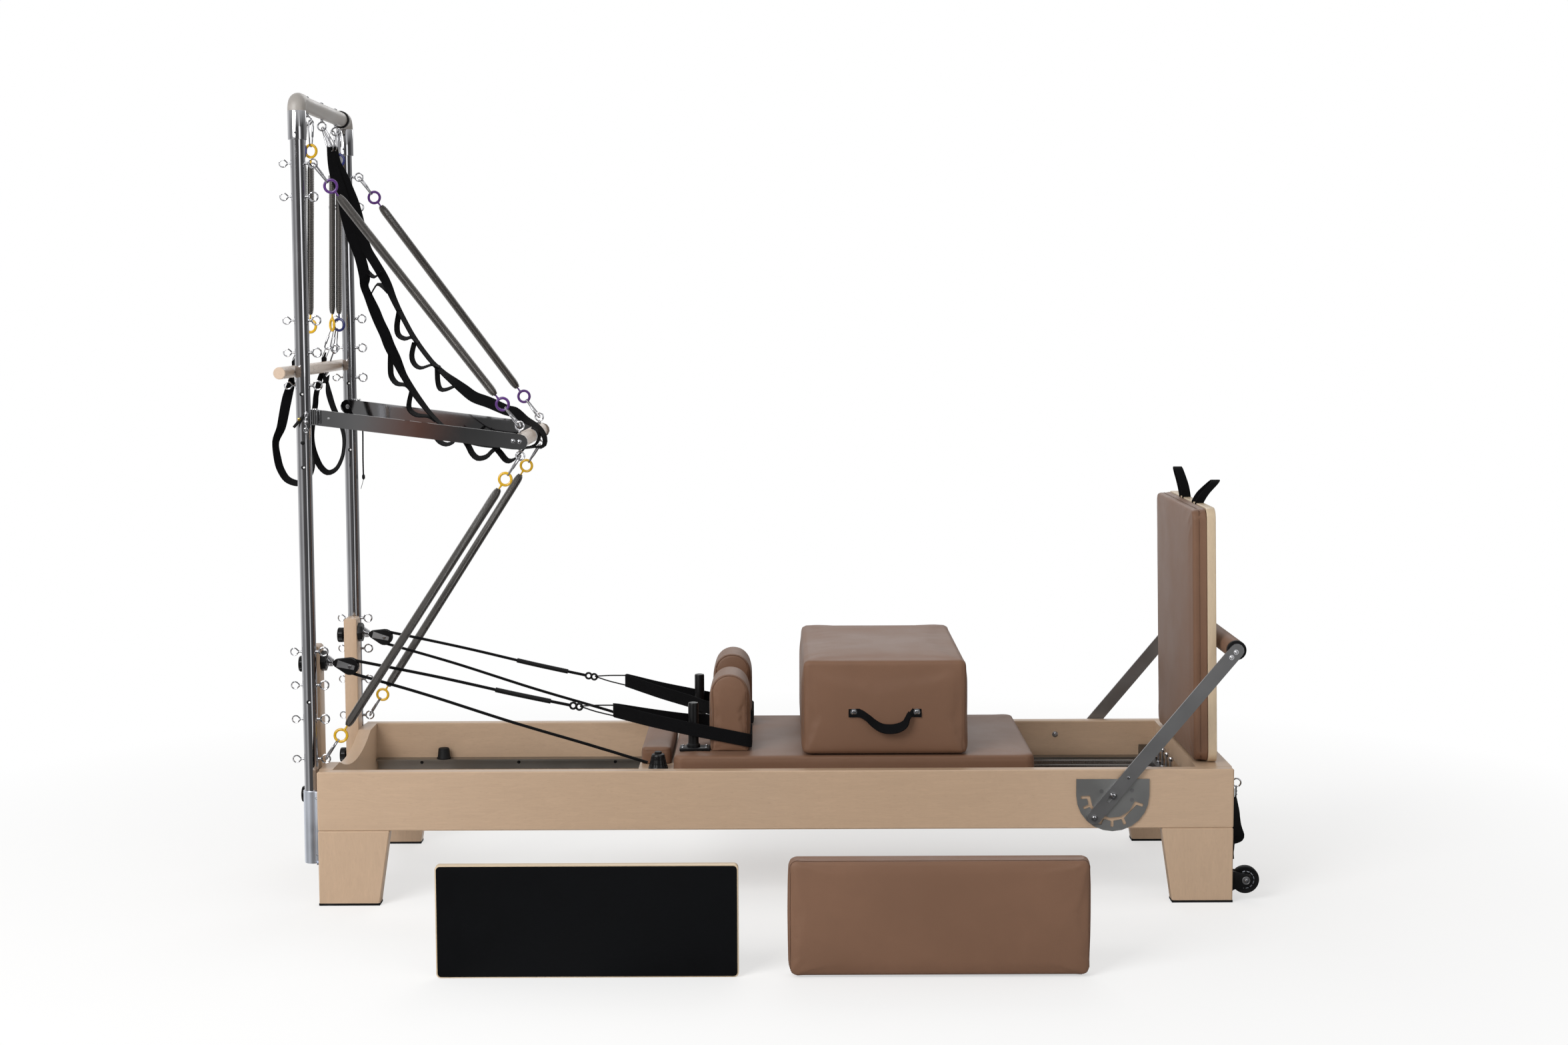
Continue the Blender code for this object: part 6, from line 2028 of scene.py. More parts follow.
        tail = [(0.0012, 0.0), (0.0024, 0.0016), (0.0024, 0.006), (0.0014, 0.0075), (0.0011, 0.02)]
        hang = front - 0.002
        links = [
            ring((x, front - 0.0015, z + 0.0105), Y_AXIS, 0.0036, 0.001, stretch=0.0075, roll=-Z_AXIS),
            turned((x, front + 0.004, z + 0.008), -Y_AXIS, pin, 16),
            turned((x, hang, z - 0.0065), -Z_AXIS, bead, 18),
            ring((x, hang, z - 0.0215), X_AXIS, 0.003, 0.0009, stretch=0.004, roll=-Z_AXIS),
            ring((x - 0.001, hang, z - 0.0333), Y_AXIS, 0.0056, 0.0011),
            turned((x + 0.0005, hang, z - 0.038), -Z_AXIS, tail, 12),
        ]
        settle(joined(links), "push_pin_chain", CHROME, "frame")
        tab = block((-0.005, -0.0017, 0.0), (0.005, 0.0017, 0.052), 0.0012, 2)
        pick(tab, Pick.POINTS, lambda place, normal: place.z > 0.03)
        bpy.ops.transform.resize(value=(0.72, 1.0, 1.0), center_override=(0.0, 0.0, 0.052))
        rest()
        aim(tab, (-1.2085, front, 1.2959), (-0.0353, 0.0, -0.0394), (0.75, 0.0, -0.66))
        settle(tab, "push_pin_tab", RUBBER, "frame")
        rivet = wood_screw((-1.2283, front - 0.0017, 1.2784), -Y_AXIS, 0.0042)
        settle(rivet, "push_pin_rivet", BRASS, "frame")

    def make_push_springs(self) -> None:
        """Four springs from the poles to the handle, purple above and yellow below."""
        x, z = self.handle
        reach = self.hardware.eye_reach
        for level, up, finish, pole_z in (
            ("upper", 1, PURPLE, self.eye_heights[0]), ("lower", -1, YELLOW, self.eye_heights[-1])
        ):
            for side in Side:
                start = Vector((self.pole_x + self.pole_radius + reach, side.value * self.pole_y, pole_z))
                end = Vector((x, side.value * self.handle_eye_y, z + up * (self.handle_radius + reach)))
                name = f"{level}_spring_{side.label}"
                spring = HungSpring(name, start, end, 0.0118, 0.00155, (finish, finish), self.hardware)
                coil, rings, hooks = spring.pieces()
                span = Span("frame", "push_bar", start, end)
                span.settle(coil, f"{name}_coil", WIRE, (name,), smooth=WOUND)
                for number, (loop, colour) in enumerate(rings):
                    span.settle(loop, f"{name}_ring_{number}", colour)
                span.settle(hooks, f"{name}_hooks", CHROME)
        LOG.info("push springs: four")

    def make_roll_down(self) -> None:
        """The roll-down bar, its hand loops, eyebolts and hanging springs."""
        x, z = self.roll_bar
        profile = [(0.014, 0.0), (0.0155, 0.0015), (0.0155, 0.8985), (0.014, 0.9)]
        dowel = turned((x, -0.45, z), Y_AXIS, profile, 40)
        settle(dowel, "roll_down_dowel", DOWEL, "roll_down_bar", ("roll_down_bar",))
        eyes = []
        nut = [(0.006, 0.015), (0.006, 0.019), (0.004, 0.02), (0.004, 0.026), (0.0025, 0.027)]
        lean = Vector((0.34, 0.0, 0.94))
        centre = Vector((x, 0.0, z)) + lean * 0.052
        for side in Side:
            place = Vector((x, side.value * self.roll_eye_y, z))
            eyes.append(ring(place + lean * 0.052, Y_AXIS, 0.0098, 0.002))
            eyes.append(turned(place, lean, [(0.0021, 0.014), (0.0021, 0.043)], 12))
            eyes.append(turned(place, -lean, nut, 16))
        settle(joined(eyes), "roll_down_eyes", CHROME, "roll_down_bar")
        self.make_hand_loops()
        for side in Side:
            y = side.value * self.roll_eye_y
            top_z = self.top_z - 0.02 - self.hardware.eye_reach
            top = Vector((self.pole_x, side.value * self.top_eyes[2], top_z))
            low = Vector((-1.234, y, 1.517))
            name = f"roll_springs_{side.label}"
            coils, hooks, loops = [], [], {}
            finishes = (YELLOW, BLUE) if side is Side.FAR else (BLUE, YELLOW)
            feet = (Vector((-1.258, y, 1.456)), Vector((centre.x, y, centre.z - 0.004)))
            planes = ((0.85, 0.5, 0.0), (0.3, 0.95, 0.0))
            for hand, finish, foot, plane in zip((-1, 1), finishes, feet, planes):
                shift = Vector((hand * 0.0095, 0.0, 0.0))
                way = (low - top).normalized()
                end = low + shift + way * (self.hardware.loop_radius * 0.92 + 0.054)
                spring = HungSpring(
                    name, top + shift, end, 0.0092, 0.0014, (finish, finish), self.hardware, (0.058, 0.048),
                    plane, 0.031, foot
                )
                coil, rings, hook = spring.pieces()
                coils.append(coil)
                hooks.append(hook)
                loops[finish.name] = (joined([piece for piece, _ in rings]), finish)
            span = Span("frame", "roll_down_bar", top, feet[1])
            span.settle(joined(coils), f"{name}_coils", WIRE, (name,), smooth=WOUND)
            span.settle(joined(hooks), f"{name}_hooks", CHROME)
            for label, (loop, finish) in loops.items():
                span.settle(loop, f"{name}_{label}", finish)
        LOG.info("roll-down bar: dowel, loops and springs")

    def make_hand_loops(self) -> None:
        """The two webbing hand loops, which hang from the springs' hooks behind the bar."""
        shapes = {
            Side.NEAR: (
                (-1.269, 1.423, 0), (-1.2752, 1.403, 0), (-1.277, 1.38, 8), (-1.28, 1.362, 17),
                (-1.2846, 1.3475, 20), (-1.2907, 1.326, 24), (-1.2965, 1.3015, 24), (-1.3021, 1.2746, 23),
                (-1.3087, 1.2475, 20), (-1.3209, 1.2205, 15), (-1.324, 1.2015, 12), (-1.3195, 1.166, 15),
                (-1.3125, 1.1388, 15), (-1.2957, 1.1118, 14), (-1.2687, 1.1007, 13), (-1.2496, 1.1064, 12),
                (-1.233, 1.1251, 14), (-1.2255, 1.1524, 14), (-1.2289, 1.1794, 12), (-1.2388, 1.2202, 10),
                (-1.2515, 1.2609, 9), (-1.2614, 1.3014, 9), (-1.2614, 1.3419, 8), (-1.265, 1.356, 8),
                (-1.273, 1.378, 4), (-1.2738, 1.401, 0),
            ),
            Side.FAR: (
                (-1.269, 1.423, 0), (-1.2752, 1.403, 0), (-1.2765, 1.383, 4), (-1.283, 1.36, 9),
                (-1.293, 1.3212, 9), (-1.2956, 1.2952, 10), (-1.2999, 1.2694, 9), (-1.3057, 1.2318, 9),
                (-1.3087, 1.203, 10), (-1.3064, 1.1742, 11), (-1.2984, 1.1453, 12), (-1.2846, 1.1163, 12),
                (-1.2648, 1.1002, 12), (-1.2414, 1.1103, 12), (-1.2249, 1.1392, 12), (-1.2185, 1.1681, 12),
                (-1.2171, 1.197, 13), (-1.2217, 1.2258, 15), (-1.2325, 1.2547, 17), (-1.2463, 1.2864, 19),
                (-1.2575, 1.3267, 19), (-1.2615, 1.3611, 9), (-1.264, 1.356, 16), (-1.2725, 1.382, 10),
                (-1.2738, 1.401, 0),
            ),
        }
        ties = []
        for side, shape in shapes.items():
            y = side.value * self.roll_eye_y
            rows = [(px, y, pz, shown / 1000) for px, pz, shown in shape]
            loop = twisted(rows, 0.0265, 0.0028, closed=True)
            tab = block((-1.274, y - 0.0135, 1.414), (-1.263, y + 0.0135, 1.427), 0.003, 2)
            settle(joined([loop, tab]), f"hand_loop_{side.label}", WEBBING, "roll_down_bar")
            foot = Vector((-1.267, y, 1.429))
            ties.append(ring(foot, Y_AXIS, 0.0055, 0.0012, stretch=0.02, roll=Vector((0.4, 0.0, 0.92))))
        settle(joined(ties), "hand_loop_ties", CHROME, "roll_down_bar")

    def make_lanyard(self) -> None:
        """The black lanyard that hangs by the far pole."""
        x, y = self.pole_x + 0.034, self.pole_y
        line = [(x, y, 1.262), (x + 0.0005, y, 1.2), (x - 0.0005, y, 1.13), (x, y, 1.075)]
        cord = sweep(smooth_path(line, 0.01), 0.0022, 8)
        upper = [(0.0022, -0.004), (0.0044, 0.0), (0.0044, 0.01), (0.0024, 0.014)]
        lower = [(0.0022, -0.004), (0.0044, 0.0), (0.0044, 0.008), (0.0012, 0.012)]
        knots = [
            turned((x, y, 1.262), -Z_AXIS, upper, 14),
            turned((x, y, 1.082), -Z_AXIS, lower, 14),
        ]
        tie = sweep(
            smooth_path([(self.pole_x + 0.0185, y, 1.285), (x - 0.006, y, 1.282), (x, y, 1.266)], 0.004),
            0.0012, 6
        )
        tail = sweep([(x, y, 1.072), (x - 0.004, y, 1.058), (x - 0.008, y, 1.044)], 0.0008, 5)
        settle(joined([cord] + knots + [tie, tail]), "pole_lanyard", RUBBER, "frame")

    def build(self) -> None:
        """Make the whole tower."""
        for side in Side:
            self.make_pole(side)
            self.make_holder(side)
        self.make_top_bar()
        self.make_push_bar()
        self.make_clamp()
        self.make_push_springs()
        self.make_roll_down()
        self.make_lanyard()
        LOG.info("tower: poles, bars and springs")


@dataclass
class LadderStrap:
    """The sewn strap from the top bar to the push handle: two strands with loops."""

    hardware: Hardware
    pole_x: float = -1.2215
    eye_z: float = 2.0535
    width: float = 0.032
    thick: float = 0.0026

    strand_a: Tuple[Triple, ...] = (
        (-1.1985, 1.998, 12), (-1.194, 1.957, 20), (-1.186, 1.921, 26), (-1.169, 1.867, 28),
        (-1.159, 1.813, 28), (-1.145, 1.759, 28), (-1.125, 1.705, 27), (-1.113, 1.651, 27),
        (-1.114, 1.624, 18), (-1.104, 1.597, 19), (-1.088, 1.558, 26), (-1.0755, 1.526, 26),
        (-1.0605, 1.493, 27), (-1.0485, 1.46, 27), (-1.033, 1.428, 24), (-1.02, 1.398, 18),
        (-1.0095, 1.376, 14), (-0.983, 1.332, 13), (-0.946, 1.282, 8), (-0.915, 1.249, 5),
        (-0.885, 1.224, 4), (-0.85, 1.202, 5), (-0.8, 1.19, 8), (-0.756, 1.186, 9),
    )
    strand_b: Tuple[Triple, ...] = (
        (-1.191, 2.0, 12), (-1.186, 1.957, 20), (-1.172, 1.925, 27), (-1.156, 1.885, 28),
        (-1.142, 1.849, 28), (-1.131, 1.81, 26), (-1.12, 1.765, 24), (-1.108, 1.723, 23),
        (-1.087, 1.687, 22), (-1.066, 1.651, 22), (-1.052, 1.624, 18), (-1.039, 1.591, 13),
        (-1.024, 1.558, 10), (-1.0075, 1.526, 8), (-0.99, 1.493, 8), (-0.969, 1.46, 8), (-0.947, 1.43, 8),
        (-0.931, 1.411, 8), (-0.903, 1.384, 12), (-0.876, 1.362, 20), (-0.85, 1.341, 27),
        (-0.822, 1.32, 30), (-0.782, 1.305, 30), (-0.7343, 1.2839, 28), (-0.713, 1.279, 27),
        (-0.698, 1.2687, 24), (-0.68, 1.256, 17), (-0.659, 1.244, 13), (-0.642, 1.229, 12),
        (-0.6305, 1.2075, 9), (-0.632, 1.188, 8), (-0.645, 1.182, 7), (-0.66, 1.183, 7), (-0.69, 1.18, 7),
        (-0.72, 1.18, 8), (-0.756, 1.186, 9),
    )
    links: Tuple[Tuple[Triple, ...], ...] = (
        (
            (-1.046, 1.44, 8), (-1.047, 1.405, 9), (-1.045, 1.378, 9), (-1.03, 1.358, 9),
            (-1.005, 1.354, 7), (-0.99, 1.338, 5)
        ),
        (
            (-0.99, 1.34, 6), (-0.998, 1.307, 7), (-0.997, 1.287, 8), (-0.978, 1.272, 8),
            (-0.945, 1.268, 5), (-0.925, 1.254, 3)
        ),
        (
            (-1.022, 1.56, 8), (-1.03, 1.515, 9), (-1.026, 1.49, 9), (-1.008, 1.48, 9), (-0.988, 1.484, 7),
            (-0.972, 1.468, 5)
        ),
        (
            (-0.983, 1.47, 7), (-0.991, 1.435, 8), (-0.985, 1.412, 8), (-0.967, 1.4, 7), (-0.935, 1.409, 5),
            (-0.915, 1.402, 4)
        ),
        (
            (-0.922, 1.402, 8), (-0.921, 1.362, 8), (-0.914, 1.342, 8), (-0.898, 1.341, 8),
            (-0.871, 1.352, 6)
        ),
        ((-1.128, 1.69, 6), (-1.105, 1.66, 7), (-1.088, 1.648, 7), (-1.07, 1.664, 6)),
        ((-1.1, 1.6, 6), (-1.082, 1.628, 7), (-1.066, 1.622, 7), (-1.05, 1.604, 5)),
    )
    hanging: Tuple[Tuple[Triple, ...], ...] = (
        ((-0.93, 1.214, 6), (-0.916, 1.198, 8), (-0.898, 1.191, 8), (-0.88, 1.197, 7), (-0.868, 1.21, 5)),
        (
            (-0.85, 1.204, 9), (-0.838, 1.186, 11), (-0.828, 1.166, 11), (-0.813, 1.153, 11),
            (-0.79, 1.157, 11), (-0.773, 1.173, 10), (-0.752, 1.186, 8)
        ),
        (
            (-0.77, 1.188, 10), (-0.752, 1.168, 12), (-0.738, 1.15, 12), (-0.727, 1.145, 10),
            (-0.713, 1.15, 5), (-0.697, 1.166, 4), (-0.684, 1.181, 4)
        ),
        (
            (-0.664, 1.2385, 6), (-0.65, 1.23, 4), (-0.644, 1.216, 4), (-0.6465, 1.2033, 4),
            (-0.654, 1.1905, 4), (-0.672, 1.183, 4)
        ),
    )

    def band(self, rows: Sequence[Triple], y: float) -> Object:
        """Make one strand from its (x, z, shown) rows, shown in millimetres."""
        return twisted([(x, y, z, shown / 1000) for x, z, shown in rows], self.width, self.thick)

    def build(self) -> None:
        """Make the strands, the sewn links, the turn round the handle and the hooks."""
        pieces = [self.band(self.strand_a, -0.008), self.band(self.strand_b, 0.008)]
        pieces += [
            self.band(link, -0.008 if number < 2 else 0.008) for number, link in enumerate(self.links)
        ]
        span = Span("frame", "push_bar", (self.pole_x, 0.0, 2.02), (-0.6698, 0.0, 1.2361))
        span.settle(joined(pieces), "ladder_strap_strands", WEBBING, ("ladder_strap",))
        span.settle(joined([self.band(link, -0.006) for link in self.hanging]), "ladder_strap_end", WEBBING)
        hooks = []
        eye = Vector((self.pole_x, 0.0, self.eye_z - 0.006))
        plane = Vector((0.35, 0.94, 0.0)).normalized()
        for foot in (Vector((-1.1975, -0.008, 1.994)), Vector((-1.1915, 0.009, 1.996))):
            hooks.append(self.hardware.hook(foot, eye + Vector((0, foot.y, 0)), plane))
        span.settle(joined(hooks), "ladder_strap_hooks", CHROME)
        LOG.info("ladder strap: two strands and %d links", len(self.links))


@dataclass
class RopeGear:
    """Risers, knobs, pulleys, and the ropes with their shoulder straps."""

    hardware: Hardware
    riser_y: float = 0.27
    face: float = -1.2003
    riser_depth: float = 0.037
    riser_top: float = 0.678
    riser_foot: float = 0.15
    pulley: Tuple[float, float] = (-1.125, 0.62)
    stem_z: float = 0.635
    nose: Tuple[float, float] = (-1.16, 0.629)
    cone_turns: int = 5
    lay: float = 0.0172
    rope: float = 0.004

    def make_riser(self, side: Side) -> None:
        """One wooden riser, and the stem from its face to the pulley's housing.

        Args:
            side: Which side of the machine it is on.
        """
        y = side.value * self.riser_y
        outer = self.face - self.riser_depth
        board = block((outer, y - 0.03, self.riser_foot), (self.face, y + 0.03, self.riser_top))
        soften(board, 0.009, 6, lambda place, way: abs(way.y) > 0.9 and place.z > self.riser_top - TOUCH)
        soften(board, 0.0022, 3, lambda place, way: abs(way.y) < 0.5 and abs(place.y - y) > 0.029)
        way = (self.nose[0] - self.face, 0.0, self.nose[1] - self.stem_z)
        stem = turned((self.face, y, self.stem_z), way, [(0.0046, 0.0), (0.004, 0.04)], 16)
        settle(stem, f"riser_stem_{side.label}", BLACK_STEEL, "frame")
        settle(board, f"riser_board_{side.label}", MAPLE_UP, "frame", (f"riser_{side.label}",))

    def make_knobs(self, side: Side) -> None:
        """The ribbed knobs on the outside of one riser, and the flange inside.

        Args:
            side: Which side of the machine it is on.
        """
        y = side.value * self.riser_y
        outer = self.face - self.riser_depth
        pieces = []
        profile = [
            (0.0125, -GAP), (0.0125, 0.005), (0.0208, 0.0054), (0.0212, 0.007), (0.0212, 0.019),
            (0.0195, 0.0216), (0.014, 0.0218)
        ]

        def ribbed(place: Vector, normal: Vector) -> bool:
            """Tell the faces of the grip from the rest."""
            return abs(normal.x) < 0.3 and outer - 0.0188 < place.x < outer - 0.0074

        for z in (0.627, 0.277):
            knob = turned((outer, y, z), -X_AXIS, profile, 24)
            pick(knob, Pick.FACES, ribbed)
            bpy.ops.mesh.inset(thickness=0.001, depth=-0.001, use_individual=True)
            rest()
            pieces.append(knob)
        profile = [(0.027, -0.0002), (0.027, 0.011), (0.0255, 0.0136), (0.015, 0.014)]
        pieces.append(turned((self.face, y, self.stem_z), X_AXIS, profile, 8))
        settle(joined(pieces), f"riser_knobs_{side.label}", PLASTIC, "frame", smooth=30.0)

    def make_cone_spring(self, side: Side) -> None:
        """The conical spring on one stem.

        Args:
            side: Which side of the machine it is on.
        """
        y = side.value * self.riser_y
        start = Vector((self.face + 0.0135, y, self.stem_z))
        end = Vector((self.nose[0] - 0.0095, y, self.nose[1]))
        points = []
        other = (end - start).normalized().cross(Y_AXIS)
        for share in np.linspace(0.0, 1.0, self.cone_turns * 14 + 1).tolist():
            angle = 2 * math.pi * self.cone_turns * share
            radius = 0.015 + (0.0092 - 0.015) * share
            points.append(
                start.lerp(end, share) + (Y_AXIS * math.cos(angle) + other * math.sin(angle)) * radius
            )
        settle(sweep(points, 0.0013, 7), f"pulley_cone_spring_{side.label}", CHROME, "frame", smooth=WOUND)

    def make_pulley(self, side: Side) -> None:
        """The cover plates and axle screws on one pulley's housing.

        Args:
            side: Which side of the machine it is on.
        """
        y = side.value * self.riser_y
        x, z = self.pulley
        plates, screws = [], []
        heading = Vector((self.nose[0] - x, 0.0, self.nose[1] - z)).normalized()
        head = [(0.005, 0.0), (0.005, 0.0008), (0.0036, 0.0024), (0.0016, 0.0026)]
        for hand in (-1, 1):
            face = y + hand * 0.0096
            low, high = sorted((face, face + hand * 0.0016))
            plate = block((-0.0135, low, -0.0095), (0.0345, high, 0.0095), 0.0006, 1)
            pick(plate, Pick.POINTS, lambda place, normal: place.x < 0)
            bpy.ops.transform.resize(value=(1.0, 1.0, 0.62), center_override=(0, 0, 0))
            rest()
            angle = math.atan2(heading.z, heading.x)
            plate.data.transform(Matrix.Translation(Vector((x, 0, z))) @ Matrix.Rotation(-angle, 4, "Y"))
            plates.append(plate)
            screws.append(turned((x, face + hand * 0.0014, z), Y_AXIS * hand, head, 18))
        settle(joined(plates), f"pulley_plates_{side.label}", GREY_STEEL, "frame")
        settle(joined(screws), f"pulley_screws_{side.label}", CHROME, "frame")
        dress(f"pulley_block_{side.label}", PLASTIC)
        dress(f"pulley_wheel_{side.label}", PLASTIC)

    def path(self, side: Side) -> List[Vector]:
        """Return the rope's points from its ring, round the pulley, to its cleat.

        Args:
            side: Which side of the machine it is on.

        Returns:
            The points of the rope's middle line.
        """
        s, y = side.value, self.riser_y
        x, z = self.pulley
        top = [(-0.545, s * 0.2505, 0.5095), (-0.7, s * 0.255, 0.543), (-0.9, s * 0.262, 0.59)]
        wrap = [
            (x + self.lay * math.cos(a), s * y, z + self.lay * math.sin(a))
            for a in np.radians(np.linspace(78, 256, 15))
        ]
        low = [
            (-0.93, s * 0.271, 0.5445), (-0.7, s * 0.2715, 0.469), (-0.5, s * 0.272, 0.4085),
            (-0.34, s * 0.272, 0.3583)
        ]
        return smooth_path([*top, *wrap, *low], 0.006)

    def strap_plan(self, side: Side) -> List[Vector]:
        """Return the points of the shoulder strap round the post and the rest.

        Args:
            side: Which side of the machine it is on.

        Returns:
            The points of the strap's middle line.
        """
        plan = (
            (-0.428, 0.255, 0.495), (-0.33, 0.2598, 0.47), (-0.234, 0.2658, 0.449), (-0.16, 0.2658, 0.434),
            (-0.0765, 0.2658, 0.417), (-0.0665, 0.2608, 0.414), (-0.0645, 0.2498, 0.413),
            (-0.0645, 0.1172, 0.413), (-0.0685, 0.1052, 0.414), (-0.0785, 0.1012, 0.417),
            (-0.184, 0.1012, 0.439), (-0.24, 0.1462, 0.45), (-0.33, 0.189, 0.47), (-0.42, 0.235, 0.493),
            (-0.431, 0.245, 0.495),
        )
        return [Vector((x, side.value * y, z)) for x, y, z in plan]

    def make_rope(self, side: Side) -> None:
        """One rope with its sleeve, ring, twin cords and shoulder strap.

        Args:
            side: Which side of the machine it is on.
        """
        name = f"rope_{side.label}"
        s = side.value
        line = self.path(side)
        span = Span("carriage", "frame", (-0.4295, s * 0.249, 0.495), (-1.1, s * 0.27, 0.62))
        rope = span.settle(sweep(line, self.rope, 10), f"{name}_cord", BRAID, (name,), smooth=SOFT)
        sleeve_line = [p for p in line if -0.745 < p.x < -0.595 and p.z > 0.51]
        sleeve = sweep(sleeve_line, 0.0066, 12)
        knot_x, knot_y, knot_z = -0.53, s * 0.25, 0.5068
        rings = [
            ring((knot_x - 0.008, knot_y, knot_z + 0.0015), Y_AXIS, 0.0082, 0.003),
            ring((knot_x + 0.008, knot_y, knot_z - 0.0015), (0.15, 0.98, 0.0), 0.0082, 0.003),
            ring((knot_x, knot_y, knot_z), X_AXIS, 0.0052, 0.0028),
        ]
        cords = []
        for dz in (0.0145, -0.0145):
            run = [
                (knot_x + 0.01, knot_y, knot_z), (-0.48, s * 0.25, 0.501 + dz * 0.55),
                (-0.4285, s * 0.2495, 0.4945 + dz)
            ]
            cords.append(sweep(smooth_path(run, 0.006), 0.0019, 8))
        span.settle(joined([sleeve] + rings + cords), f"{name}_fittings", RUBBER, smooth=SOFT)
        plan = smooth_path(self.strap_plan(side), 0.008, closed=True)
        strap = ribbon(plan, [Z_AXIS], 0.036, 0.003, closed=True)
        settle(strap, f"shoulder_strap_{side.label}", WEBBING, "carriage")
        LOG.info("%s: rope and strap, %d faces", name, len(strap.data.polygons) + len(rope.data.polygons))

    def build(self) -> None:
        """Make both sides' rope gear."""
        for side in Side:
            self.make_riser(side)
            self.make_knobs(side)
            self.make_cone_spring(side)
            self.make_pulley(side)
            self.make_rope(side)


@dataclass
class JumpBoard:
    """The padded jump board on the foot end's shelf."""

    pad: Tuple[Triple, Triple] = ((1.1, -0.3, 0.356), (1.1395, 0.3, 1.034))
    panel: Tuple[Triple, Triple] = ((1.1398, -0.3, 0.356), (1.163, 0.3, 1.034))
    loops: Tuple[Triple, ...] = ((-0.115, 0.048, 0.06), (0.085, -0.02, 0.082))
    foot_shift: float = 0.006
    top_shift: float = -0.007

    def lean(self, obj: Object) -> None:
        """Set a finished piece a little out of plumb, as the board stands in its slot.

        Args:
            obj: The piece.
        """
        low, high = self.pad[0][2], self.pad[1][2]
        slope = (self.top_shift - self.foot_shift) / (high - low)
        shear = Matrix.Identity(4)
        shear[0][2], shear[0][3] = slope, self.foot_shift - slope * low
        obj.data.transform(shear)

    def build(self) -> None:
        """Make the pad, the panel and its two webbing loops."""
        low, high = self.pad
        pad = Pad(
            "jump_board_cover", "jump_board", low, high, "jump_board_pad", corner=0.03, corner_axis=0,
            edge=0.008, back=(0, 1), swell=0.003, voxel=0.0075, groove_width=0.003
        )
        seam = rounded_loop(0, low[0] + 0.02, (low[1], low[2]), (high[1], high[2]), 0.03)
        before = set(bpy.data.objects)
        pad.build([seam], welt=0.0006)
        low, high = self.panel
        panel = block(low, high)
        soften(panel, 0.028, 8, lambda place, way: abs(way.x) > 0.9)
        soften(panel, 0.0022, 3, lambda place, way: abs(way.x) < 0.1)
        settle(panel, "jump_board_back", PALE_PLY, "jump_board", ("jump_board_panel",))
        middle = (low[0] + high[0]) / 2
        loops, tacks = [], []
        for y, out, tall in self.loops:
            rows = ((0.0, 0.024, -0.1), (0.0, 0.025, 0.03), (0.3, 0.027, 0.42), (0.84, 0.018, 0.86))
            arc = [
                (middle - 0.003 + out * share, y - wide, high[2] + tall * up) for share, wide, up in rows
            ]
            arc.append((middle - 0.003 + out, y, high[2] + tall))
            arc += [
                (middle - 0.003 + out * share, y + wide, high[2] + tall * up)
                for share, wide, up in reversed(rows)
            ]
            loops.append(ribbon(smooth_path(arc, 0.006), [X_AXIS], 0.024, 0.0026))
        settle(joined(loops), "jump_board_loops", WEBBING, "jump_board")
        for y in (-0.2, 0.0, 0.2):
            for z in (0.47, 0.9):
                tacks.append(wood_screw((high[0], y, z), X_AXIS, 0.0042))
        settle(joined(tacks), "jump_board_screws", CHROME, "jump_board")
        for obj in set(bpy.data.objects) - before:
            self.lean(obj)
        LOG.info("jump board: pad, panel and loops")


